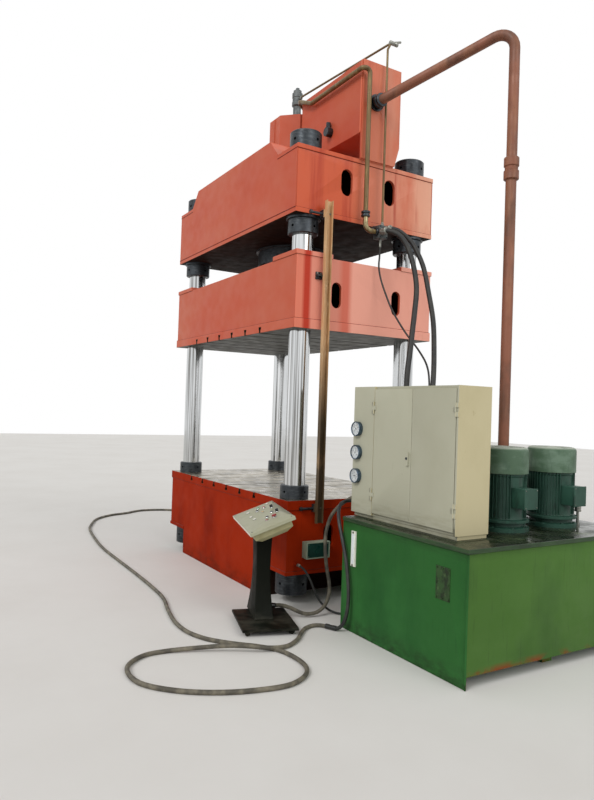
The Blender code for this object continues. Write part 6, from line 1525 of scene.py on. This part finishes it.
def make_return_pipe():
    """Pipe from the oil tank down to the power unit, with its valve and coupling."""
    tank_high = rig.box("oil_tank")[1]
    low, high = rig.box("return_pipe")
    tank_depth, port_rise = 0.655, 0.288
    port = (tank_high[0] + SEAT_GAP, 0.026, tank_high[2] - tank_depth + port_rise)
    x, y, foot = high[0] - 0.075, high[1] - 0.075, low[2]
    route = bend_round((
        port, (port[0] + 0.093, port[1], port[2]), (x, y, tank_high[2] - 0.005), (x, y, foot),
    ), 0.13)
    pipe_run("return", route, 0.0425, 32, "oxide_primer")
    flange = flange_disc(0.075, 0.058, 6, 0.007, port, RIGHT)
    valve = lathe([
        (0.045, 0.018), (0.048, 0.034), (0.058, 0.036), (0.060, 0.039), (0.060, 0.060), (0.055, 0.064),
        (0.055, 0.072), (0.060, 0.076), (0.060, 0.090), (0.058, 0.093), (0.045, 0.095),
    ], 48)
    steel(merged([flange, face_along(valve, port, RIGHT)]), "return_flange_valve")
    flange = flange_disc(0.075, 0.060, 6, 0.007, (x, y, foot), UP)
    done(flange, "return_foot_flange", "oxide_primer", slot="pipe_paint")
    coupling = lathe(over(
        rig.box("crown")[0][2] + SHELF_RISE - 0.180, (0.046, -0.180), (0.057, -0.178), (0.060, -0.174),
        (0.060, -0.110), (0.052, -0.104), (0.052, -0.076), (0.060, -0.070), (0.060, -0.006),
        (0.057, -0.002), (0.046, 0),
    ), 48)
    done(settle(coupling, (x, y, 0)), "return_coupling", "oxide_primer", slot="pipe_paint")


def make_pressure_pipe():
    """Pipe from the cylinder's cover to the valve block, with its flanges, union and elbow."""
    low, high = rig.box("manifold")
    x, y = high[0] - MANIFOLD_WIDTH / 2, (low[1] + high[1]) / 2
    start_x = 0.2635 - 0.090
    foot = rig.box("cylinder_cover")[1][2] + SEAT_GAP
    run_y, run_z, rise = -0.120 - 0.042, foot - 0.021, foot + 0.090
    down_y = y - 0.045 - 0.126
    inlet = (x, y - 0.0453, low[2] + 0.0575)
    route = bend_round((
        (start_x, 0, foot), (start_x, 0, rise), (0.315, run_y, rise), (0.560, run_y, run_z),
        (x, run_y, run_z), (x, down_y, run_z), (x, down_y, inlet[2]), inlet,
    ), 0.090)
    pipe_run("pressure", route, 0.021, 24, "olive_primer")
    steel(flange_disc(0.045, 0.033, 4, 0.006, (start_x, 0, foot), UP), "pressure_foot_flange")
    steel(flange_disc(0.036, 0.027, 4, 0.005, inlet, FRONT), "pressure_inlet_flange")
    union_z = inlet[2] + 0.115
    union = lathe([
        (0.0212, 0), (0.038, 0), (0.040, 0.002), (0.040, 0.016), (0.030, 0.018), (0.030, 0.030),
        (0.040, 0.032), (0.040, 0.046), (0.038, 0.048), (0.0212, 0.048),
    ], 32, ring=True)
    steel(settle(union, (x, down_y, union_z)), "pressure_union")
    elbow = [point for point in route if point.z < union_z + 0.001 and point.y < y - 0.060]
    item = sweep([Vector((x, down_y, union_z)), *elbow], 0.0235, 24)
    done(item, "pressure_elbow", "brass", slot="dark_steel", smooth=60)


def make_pilot_pipe():
    """Thin pipe from the prefill valve to the valve block, with its tee and fittings."""
    low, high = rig.box("manifold")
    start = (0.0563, 0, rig.box("cylinder_cover")[1][2] + VALVE_RISE + 0.070)
    bend = 0.038
    x, y = high[0] - MANIFOLD_WIDTH + 0.038, (low[1] + high[1]) / 2 + 0.0225
    tee_at = (x, y + 0.038, start[2] + 0.020)
    foot = (x, y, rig.box("pilot_pipe")[0][2])
    route = bend_round((
        start, (start[0] + 0.070, 0, start[2]), tee_at, (x, y, tee_at[2] - 0.070), foot,
    ), bend)
    pipe_run("pilot", route, 0.010, 16, "olive_primer")
    tee = lathe([
        (0.014, -0.019), (0.019, -0.016), (0.019, 0.030), (0.013, 0.034), (0.013, 0.040), (0.019, 0.044),
        (0.019, 0.070), (0.014, 0.072),
    ], 32)
    face_along(tee, tee_at, BACK)
    stub = sweep((tee_at, (x, tee_at[1] + 0.107, tee_at[2] + 0.038)), 0.010, 16)
    fitting = lathe([(0.017, 0), (0.017, 0.022), (0.013, 0.024), (0.013, 0.040)], 6)
    union = lathe([(0.017, 0), (0.017, 0.024), (0.013, 0.026), (0.013, 0.040)], 6)
    pieces = [tee, stub, settle(fitting, foot), face_along(union, start, RIGHT)]
    steel(merged(pieces), "pilot_fittings", "zinc_plate")


def make_manifold():
    """Valve block under the crown's right edge with its screws and plugs."""
    low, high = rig.box("manifold")
    clad("manifold", "manifold_block", "cast_iron", "dark_steel", width=0.002)
    left, middle_y = high[0] - MANIFOLD_WIDTH, (low[1] + high[1]) / 2
    corners = [(high[0], middle_y + side * 0.036, low[2] + z) for side in SIDES for z in (0.010, 0.105)]
    bolts("manifold_screws", corners, RIGHT, 0.006, pattern=cap_screw, finish="blackened_steel")
    plugs = [(left + 0.020, high[1], low[2] + 0.030), (left + 0.068, high[1], low[2] + 0.078)]
    bolts("manifold_plugs", plugs, BACK, 0.009)
    bolts("manifold_front_plug", [(left + 0.020, low[1], low[2] + 0.092)], FRONT, 0.008)


def make_rail():
    """Limit rail with its bracket bolts and clamps, and the slider's trigger."""
    low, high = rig.box("limit_rail")
    rail_y = (low[1] + high[1]) / 2
    inner = high[0] - 0.040

    def choose(middle, normal):
        return 1 if middle.x < inner - 0.0005 else 0

    item = resized(dressed("limit_rail", 0.0015), (1, 0.78, 1), (0, rail_y, 0))
    clad("limit_rail", "rail_channel", ("rail_paint", "blackened_steel"), "pipe_paint", choose, item)
    crown_z, table_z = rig.box("crown")[0][2] + 0.004, 0.824
    for name, z in (("crown", crown_z), ("table", table_z)):
        places = [(inner + 0.006, rail_y + side * 0.022, z + 0.003) for side in SIDES]
        bolts("rail_bolts_" + name, places, RIGHT, 0.007)
    for name, z in (("crown", crown_z), ("table", table_z)):
        rod = lathe([(0.011, 0), (0.011, 0.150), (0.017, 0.151), (0.017, 0.170), (0.014, 0.172)], 16)
        steel(face_along(rod, (inner - 0.014, rail_y, z), FRONT), "rail_clamp_" + name)
    arm = dressed("trigger_arm", 0.001, 0.01)
    clad("trigger_arm", "trigger_plate", "blackened_steel", "dark_steel", item=arm, body="slider")
    low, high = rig.box("trigger_arm")
    y, z = (low[1] + high[1]) / 2, (low[2] + high[2]) / 2
    places = [(low[0] + 0.012, y + side * 0.018, z + 0.020) for side in SIDES]
    bolts("trigger_bolts", places, RIGHT, 0.006, "slider")
    radius, thick = 0.016, 0.004
    turns = [math.tau * step / 8 for step in range(8)]
    ring = lathe([(radius + thick * math.cos(turn), thick * math.sin(turn)) for turn in turns], 24, ring=True)
    steel(face_along(ring, (low[0] + radius, y, z - 0.006), RIGHT), "trigger_ring", body="slider")


def make_ejector():
    """Ejector cylinder below the table and its rod."""
    low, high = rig.box("ejector_cylinder")
    seat, foot = high[2], low[2]
    item = lathe([
        *over(seat, (0.0605, 0), (0.170, 0), (0.170, -0.030), (0.135, -0.030)),
        *over(foot, (0.135, 0.006), (0.129, 0), (0.010, 0), (0.010, 0.040), (0.080, 0.040)),
        *over(seat, (0.080, -0.050), (0.0605, -0.050)),
    ], 64, ring=True)
    done(item, "ejector_body", "blackened_steel", slot="dark_steel", replaces=("ejector_cylinder",))
    low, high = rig.box("ejector_rod")
    item = lathe([
        *over(low[2], (0.078, 0), (0.079, 0.002), (0.079, 0.060), (0.060, 0.060)),
        *over(high[2], (0.060, -0.003), (0.057, 0)),
    ], 64)
    done(item, "ejector_plunger", "hard_chrome", "ejector_rod", "chrome", ("ejector_rod",))


# Power unit


def make_power_tank():
    """Tank of the power unit, its lid with sockets, level gauge, clean-out cover and filler cap."""
    low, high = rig.box("power_tank")
    front = low[1] + 0.014
    gauge_x, patch_x = low[0] + 0.140, high[0] - 0.2105
    gauge_z, patch_z = 0.627, 0.595

    def choose(middle, normal):
        if middle.y < front - 0.0001 and abs(middle.x - gauge_x) < 0.030:
            return 1
        if middle.y < front - 0.0001 and abs(middle.x - patch_x) < 0.070:
            return 2
        # The end that faces the light takes the lighter, yellower copy of the enamel as painted light
        return 3 if normal.x > 0.5 else 0

    finishes = ("unit_enamel", "white_strip", "grimy_cover", "unit_enamel_end")
    clad("power_tank", "tank_shell", finishes, "unit_green", choose)
    window = block(
        (gauge_x - 0.017, front - 0.0165, gauge_z - 0.112), (gauge_x + 0.017, front - 0.012, gauge_z + 0.112)
    )
    done(soften(window, 0.002), "level_window", "dial_white", slot="unit_green")
    places = [(gauge_x, front - 0.014, gauge_z + side * 0.122) for side in SIDES]
    bolts("level_gauge_bolts", places, FRONT, 0.006)
    grid = [(x, z) for x in (-1, 0, 1) for z in (-1, 0, 1) if x or z]
    places = [(patch_x + x * 0.052, front - 0.005, patch_z + z * 0.094) for x, z in grid]
    bolts("clean_out_bolts", places, FRONT, 0.006, finish="grimy_cover", slot="unit_green")
    lid_low, lid_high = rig.box("tank_lid")
    top = lid_high[2] - 0.045

    def choose_lid(middle, normal):
        if middle.z > top + 0.001:
            return 2
        return 1 if abs(normal.z) > 0.5 else 0

    clad("tank_lid", "lid_plate", ("lid_edge", "oily_lid", "blackened_steel"), "unit_green", choose_lid)
    lip = lid_low[2] - 0.004
    runs = [
        ((high[0], front, low[2] + 0.002), (high[0], front, lip)),
        ((low[0], front, 0.01), (low[0], front, lip)),
    ]
    beads("tank_welds", runs, "unit_enamel", slot="unit_green")
    low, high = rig.box("filler_cap")
    item = lathe([
        *over(low[2], (0.017, 0), (0.017, 0.018), (0.011, 0.018)),
        *over(
            high[2], (0.011, -0.041), (0.0245, -0.040), (0.025, -0.038), (0.025, -0.026), (0.023, -0.024),
            (0.023, -0.018), (0.025, -0.016), (0.025, -0.005), (0.020, 0),
        ),
    ], 40)
    at = (*centre_of("filler_cap"), 0)
    done(settle(item, at), "filler_post", "zinc_plate", slot="dark_steel", replaces=("filler_cap",))


def make_cabinet():
    """Valve cabinet, its doors, lock and gauges."""
    edge = bpy.context.scene.press_sizes.sheet_edge
    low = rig.box("valve_cabinet")[0]
    front, lock_x = -0.490, 2.5645
    gauge_x, gauge_z, gauge_pitch = low[0] + 0.064, 0.848 + 0.676, 0.1815

    def choose(middle, normal):
        if middle.y < front - 0.001 and middle.x < gauge_x + 0.08:
            return 1
        # The end that faces the light takes the warmer, lighter copy of the coat as painted light
        return 2 if normal.x > 0.5 else 0

    finishes = ("cabinet_coat", "gauge_case", "cabinet_coat_end")
    clad("valve_cabinet", "cabinet_body", finishes, "cabinet_cream", choose, width=edge, shortest=0.05)
    for node in ("door_left", "door_right"):
        clad(node, node + "_leaf", "cabinet_coat", "cabinet_cream", width=edge, shortest=0.05, body=node)
    key = lathe([(0.0095, 0), (0.0095, 0.003), (0.0080, 0.004)], 24)
    steel(face_along(key, (lock_x, front - 0.018, 1.34), FRONT), "door_lock_barrel", body="door_left")
    for index in range(3):
        at = (gauge_x, front, gauge_z - index * gauge_pitch)
        make_gauge("gauge_%d" % (index + 1), at, 0.35 + 0.25 * index)


def make_gauge(name, at, turn):
    """A pressure gauge: flanged case, dial with its marks and numbers, pointer and glass."""
    bezel = lathe([
        (0.0485, 0.024), (0.0565, 0.024), (0.0565, 0.030), (0.0545, 0.034), (0.0505, 0.034), (0.0485, 0.031),
    ], 64, ring=True)
    steel(face_along(bezel, at, FRONT), name + "_bezel", "gauge_case")
    face = 0.0252
    dial = lathe([(0.050, 0.0243), (0.050, face)], 64)
    steel(face_along(dial, at, FRONT), name + "_dial", "dial_white")
    start, span = math.radians(225), math.radians(270)
    ink = []
    for step in range(21):
        inner, half = (0.033, 0.0012) if step % 5 == 0 else (0.037, 0.0005)
        mark = block((inner, -half, 0), (0.042, half, 0.0004))
        ink.append(settle(mark, (0, 0, face), (0, 0, start - span * step / 20)))
    for step in range(5):
        angle = start - span * step / 4
        place = (0.026 * math.cos(angle), 0.026 * math.sin(angle), 0.0254)
        ink.append(settle(number_text(str(step * 10)), place))
    pointer = plate(((-0.012, -0.0026), (0.036, -0.0008), (0.036, 0.0008), (-0.012, 0.0026)), 0.0006)
    ink.append(settle(pointer, (0, 0, 0.0262), (0, 0, start - turn * span)))
    ink.append(lathe([(0.0045, 0.0256), (0.0045, 0.0275), (0.0035, 0.0285)], 24))
    steel(face_along(merged(ink), at, FRONT), name + "_marks", "dial_ink")
    glass = lathe([(0.0490, 0.0296), (0.0490, 0.0312)], 48)
    steel(face_along(glass, at, FRONT), name + "_glass", "gauge_glass")


def number_text(text):
    """A number of the dial, a little thick."""
    clear_selection()
    bpy.ops.object.text_add()
    letters = bpy.context.object.data
    letters.body = text
    letters.size = 0.0115
    letters.align_x = "CENTER"
    letters.align_y = "CENTER"
    letters.extrude = 0.0002
    bpy.ops.object.convert(target="MESH")
    return bpy.context.object


def make_motors():
    """Electric motors: finned bodies, lanterns, terminal boxes, cowls and rotors."""
    for side in ("front", "back"):
        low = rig.box("motor_" + side)[0]
        x, y = low[0] + 0.190, low[1] + 0.190
        make_motor("motor_" + side, x, y)
        make_cowl("cowl_" + side, x, y)
        make_rotor("rotor_" + side, x, y)


def make_motor(node, x, y):
    """Finned body on its lantern, with its terminal box."""
    low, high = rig.box(node)
    foot, top = low[2], high[2]
    flange = foot + 0.082
    body = lathe([
        *over(
            foot, (0.190, 0), (0.190, 0.026), (0.187, 0.028), (0.152, 0.034), (0.150, 0.060), (0.188, 0.063),
            (0.190, 0.065),
        ),
        *over(flange, (0.190, -0.002), (0.188, 0), (0.156, 0.004), (0.151, 0.020)),
        *over(top, (0.151, -0.020), (0.158, -0.012), (0.158, 0), (0.026, 0), (0.026, -0.118)),
    ], 64)
    fin = soften(block((0.148, -0.0022, flange + 0.012), (0.170, 0.0022, top + 0.001)), 0.001, 1)
    # No fins behind the terminal box
    count, gap = 44, math.radians(22)
    turns = [math.tau * (index + 0.5) / count for index in range(count)]
    turns = [turn for turn in turns if abs((turn + math.pi) % math.tau - math.pi) >= gap]
    fins = turned_copies(fin, turns)
    heads = copies(hex_bolt(0.010), circle_places((0, 0, foot + 0.027), 0.174, 8, 0.39), UP)
    shell = settle(merged([body, *fins, *heads]), (x, y, 0))
    done(shell, node + "_body", "motor_enamel", slot="motor_green", replaces=(node,))
    box_low, box_high = (x + 0.140, y - 0.065, flange + 0.090), (x + 0.252, y + 0.065, flange + 0.230)
    face, rim = box_high[0] + 0.008, 0.003
    case = soften(block(box_low, box_high), 0.006, 3)
    lid = block(
        (box_high[0], box_low[1] - rim, box_low[2] - rim), (face, box_high[1] + rim, box_high[2] + rim)
    )
    done(merged([case, soften(lid, rim)]), node + "_terminal_box", "motor_enamel", slot="motor_green")
    corners = [(face, y + a * 0.056, flange + 0.160 + b * 0.060) for a, b in CORNERS]
    bolts(node + "_terminal_screws", corners, RIGHT, 0.004, pattern=cap_screw)


def make_cowl(node, x, y):
    """Fan cowl with its grille."""
    low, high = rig.box(node)
    bottom, top = low[2] + 0.034, high[2]
    pieces = [lathe([
        (0.1705, bottom), (0.1775, bottom),
        *over(
            top, (0.1775, -0.030), (0.1750, -0.018), (0.1680, -0.008), (0.1600, -0.002), (0.1475, 0),
            (0.1475, -0.004), (0.1590, -0.006), (0.1650, -0.011), (0.1710, -0.020), (0.1735, -0.031),
        ),
        (0.1735, bottom + 0.010), (0.1705, bottom + 0.010),
    ], 64, ring=True)]
    half = 0.0025
    for radius in (0.045, 0.066, 0.087, 0.108, 0.129, 0.148):
        inner, outer = radius - half, radius + half
        rings = over(top, (inner, -0.004), (outer, -0.004), (outer, 0), (inner, 0))
        pieces.append(lathe(rings, 48, ring=True))
    spoke = block((0.040, -0.004, top - 0.005), (0.149, 0.004, top - 0.0005))
    pieces += turned_copies(spoke, [math.tau * index / 8 for index in range(8)])
    pieces.append(lathe(over(top, (0.044, -0.005), (0.045, -0.003), (0.045, 0)), 48))
    item = settle(merged(pieces), (x, y, 0))
    done(item, node + "_shell", "cowl_enamel", slot="motor_green", replaces=(node,))


def make_rotor(node, x, y):
    """Shaft with its hub and fan."""
    low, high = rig.box(node)
    top = high[2]
    shaft = lathe([
        (0.022, low[2]), (0.024, low[2] + 0.002),
        *over(top, (0.024, -0.050), (0.045, -0.050), (0.045, -0.003), (0.042, 0)),
    ], 48)
    blade = soften(block((0.040, -0.002, top - 0.046), (0.134, 0.002, top - 0.004)), 0.0015, 1)
    blades = turned_copies(blade, [math.tau * index / 6 for index in range(6)])
    item = settle(merged([shaft, *blades]), (x, y, 0))
    done(item, node + "_fan", "blackened_steel", node, "dark_steel", (node,))


# Console


def make_console():
    """Console: foot with casters, flared post, housing, panel with its lip, lamps and controls."""
    item = dressed("console_post", 0.008, 0.01)
    settle(item, (-CONSOLE_PLACE[0], -CONSOLE_PLACE[1], 0))
    settle(item, turn=(0, 0, -CONSOLE_YAW))
    resized(item, (1.2, 1, 1), (-0.030, 0, 0))
    settle(item, turn=(0, 0, CONSOLE_YAW))
    settle(item, (*CONSOLE_PLACE, 0))
    clad("console_post", "console_column", "post_enamel", "post_charcoal", item=item, smooth=25)
    clad("console_housing", "console_case", "housing_coat", "console_cream", width=0.003)
    clad("console_base", "console_foot", "post_enamel", "post_charcoal", width=0.003, shortest=0.015)
    ahead = Vector((math.sin(CONSOLE_YAW), -math.cos(CONSOLE_YAW), -math.tan(CONSOLE_TILT))).normalized()

    def choose(middle, normal):
        # The front fold takes the white strip as painted light, where it catches the light
        return 1 if normal.dot(ahead) > 0.9 else 0

    finishes = ("console_coat", "white_strip")
    clad("console_lid", "console_panel", finishes, "console_cream", choose, width=0.002, shortest=0.05)
    for name, (shares, finish) in LAMPS.items():
        lens = lathe([(0.0118, 0), (0.0118, 0.004), (0.0105, 0.0085), (0.007, 0.0095)], 32)
        done(on_panel(lens, shares), name, finish, slot="console_cream")
        panel_ring(name, shares, 32, LAMP_RING)
    for node, (shares, finish) in CONTROLS.items():
        slot = finish if finish in ("button_green", "button_red") else "button_black"
        done(on_panel(control_cap(node), shares), node + "_cap", finish, node, slot, (node,))
        panel_ring(node, shares, 40, CONTROL_RING)
    first = cap_screw(0.005)
    screws = [on_panel(twin(first), (a * 0.475, b * 0.44)) for a, b in CORNERS]
    drop(first)
    steel(merged(screws), "panel_screws", "zinc_plate")
    make_junction_box()


def panel_ring(name, shares, sides, profile):
    """Bright ring of a lamp or a control."""
    ring = lathe(profile, sides, ring=True)
    steel(on_panel(ring, shares), name + "_ring", "bright_trim")


def control_cap(node):
    """Cap of a push button, drum and bar of a selector, or mushroom of the emergency stop."""
    if node.startswith("button"):
        return lathe([(0.0108, 0.0005), (0.0108, 0.0105), (0.0098, 0.0118), (0.0085, 0.0112)], 32)
    if node.startswith("selector"):
        drum = lathe([(0.0128, 0.0066), (0.0128, 0.0186), (0.0112, 0.0203)], 32)
        bar = soften(block((-0.0040, -0.0115, 0.0190), (0.0040, 0.0115, 0.0280)), 0.0015)
        return merged([drum, bar])
    return lathe([
        (0.0105, 0.0005), (0.0105, 0.0116), (0.0195, 0.0116), (0.0200, 0.0135), (0.0190, 0.0200),
        (0.0150, 0.0240), (0.0080, 0.0252),
    ], 40)


def make_junction_box():
    """Junction box at the rail's foot with its screws and glands."""
    low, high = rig.box("junction_box")
    face = high[0] - 0.005

    def choose(middle, normal):
        return 0 if abs(middle.x - face) < 0.001 and normal.x > 0.9 else 1

    finishes = ("junction_plastic", "rim_plastic")
    clad("junction_box", "junction_case", finishes, "unit_green", choose, width=0.003)
    y, z = (low[1] + high[1]) / 2, (low[2] + high[2]) / 2
    places = [(face, y + a * 0.095, z + b * 0.050) for a, b in CORNERS]
    bolts("junction_screws", places, RIGHT, 0.0045, pattern=cap_screw)
    places = [(low[0] + 0.035, y + side * 0.045, low[2]) for side in SIDES]
    bolts("junction_glands", places, DOWN, 0.011, finish="gasket_rubber", slot="hose_rubber")


# The add-on's operators, panel and properties


class PRESS_OT_finishes(bpy.types.Operator):
    """Make the finishes of the press from its colours"""
    bl_idname = "press.finishes"
    bl_label = "Finishes"

    def execute(self, context):
        make_finishes(context.scene.press_colours)
        return {"FINISHED"}


class PRESS_OT_stage(bpy.types.Operator):
    """Set up the camera, the pale floor and the soft light"""
    bl_idname = "press.stage"
    bl_label = "Stage"

    def execute(self, context):
        make_stage()
        return {"FINISHED"}


class PRESS_OT_cords(bpy.types.Operator):
    """Lay the hoses and cables with their end fittings"""
    bl_idname = "press.cords"
    bl_label = "Hoses and cables"

    def execute(self, context):
        make_cords()
        return {"FINISHED"}


class PRESS_OT_base(bpy.types.Operator):
    """Make the welded base with its slotted table"""
    bl_idname = "press.base"
    bl_label = "Base"

    def execute(self, context):
        make_base()
        return {"FINISHED"}


class PRESS_OT_slider(bpy.types.Operator):
    """Make the welded slider"""
    bl_idname = "press.slider"
    bl_label = "Slider"

    def execute(self, context):
        make_slider()
        return {"FINISHED"}


class PRESS_OT_crown(bpy.types.Operator):
    """Make the welded crown, the cylinder's cover and the oil tank"""
    bl_idname = "press.crown"
    bl_label = "Crown"

    def execute(self, context):
        make_crown()
        make_covers()
        return {"FINISHED"}


class PRESS_OT_columns(bpy.types.Operator):
    """Make the columns with their collars and nuts"""
    bl_idname = "press.columns"
    bl_label = "Columns and nuts"

    def execute(self, context):
        make_columns()
        make_nuts()
        return {"FINISHED"}


class PRESS_OT_cylinders(bpy.types.Operator):
    """Make the main cylinder, its ram and valve, and the ejector"""
    bl_idname = "press.cylinders"
    bl_label = "Cylinders"

    def execute(self, context):
        make_cylinder()
        make_prefill_valve()
        make_ejector()
        return {"FINISHED"}


class PRESS_OT_pipes(bpy.types.Operator):
    """Make the pipes and the valve block"""
    bl_idname = "press.pipes"
    bl_label = "Pipes"

    def execute(self, context):
        make_pipes()
        make_manifold()
        return {"FINISHED"}


class PRESS_OT_rail(bpy.types.Operator):
    """Make the limit rail and the slider's trigger"""
    bl_idname = "press.rail"
    bl_label = "Limit rail"

    def execute(self, context):
        make_rail()
        return {"FINISHED"}


class PRESS_OT_power_unit(bpy.types.Operator):
    """Make the power unit's tank, lid, gauges and cabinet"""
    bl_idname = "press.power_unit"
    bl_label = "Power unit"

    def execute(self, context):
        make_power_tank()
        make_cabinet()
        return {"FINISHED"}


class PRESS_OT_motors(bpy.types.Operator):
    """Make the electric motors"""
    bl_idname = "press.motors"
    bl_label = "Motors"

    def execute(self, context):
        make_motors()
        return {"FINISHED"}


class PRESS_OT_console(bpy.types.Operator):
    """Make the operator's console and the junction box"""
    bl_idname = "press.console"
    bl_label = "Console"

    def execute(self, context):
        make_console()
        return {"FINISHED"}


OPERATORS = (
    PRESS_OT_finishes, PRESS_OT_stage, PRESS_OT_cords, PRESS_OT_base, PRESS_OT_slider, PRESS_OT_crown,
    PRESS_OT_columns, PRESS_OT_cylinders, PRESS_OT_pipes, PRESS_OT_rail, PRESS_OT_power_unit, PRESS_OT_motors,
    PRESS_OT_console,
)


class PRESS_PT_panel(bpy.types.Panel):
    """Sizes, colours and pieces of the press"""
    bl_idname = "PRESS_PT_panel"
    bl_label = "Hydraulic press"
    bl_space_type = "VIEW_3D"
    bl_region_type = "UI"
    bl_category = "Press"

    def draw(self, context):
        for group in (context.scene.press_sizes, context.scene.press_colours):
            for name in type(group).__annotations__:
                self.layout.prop(group, name)
        for operator in OPERATORS:
            self.layout.operator(operator.bl_idname)


CLASSES = (PressSizes, PressColours, *OPERATORS, PRESS_PT_panel)


def register():
    """Register the classes and the scene's properties."""
    for entry in CLASSES:
        bpy.utils.register_class(entry)
    bpy.types.Scene.press_sizes = PointerProperty(type=PressSizes)
    bpy.types.Scene.press_colours = PointerProperty(type=PressColours)


def unregister():
    """Take the properties and the classes away again."""
    del bpy.types.Scene.press_colours
    del bpy.types.Scene.press_sizes
    for entry in reversed(CLASSES):
        bpy.utils.unregister_class(entry)


def main():
    register()
    bpy.ops.press.finishes()
    bpy.ops.press.stage()
    bpy.ops.press.cords()
    bpy.ops.press.base()
    bpy.ops.press.slider()
    bpy.ops.press.crown()
    bpy.ops.press.columns()
    bpy.ops.press.cylinders()
    bpy.ops.press.pipes()
    bpy.ops.press.rail()
    bpy.ops.press.power_unit()
    bpy.ops.press.motors()
    bpy.ops.press.console()
    low, high = CAD_BOX
    now_low, now_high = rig.bounds()
    with open(SIZE_FILE, "w") as out:
        json.dump({"cad": [list(low), list(high)], "visual": [list(now_low), list(now_high)]}, out)


if __name__ == "__main__":
    main()
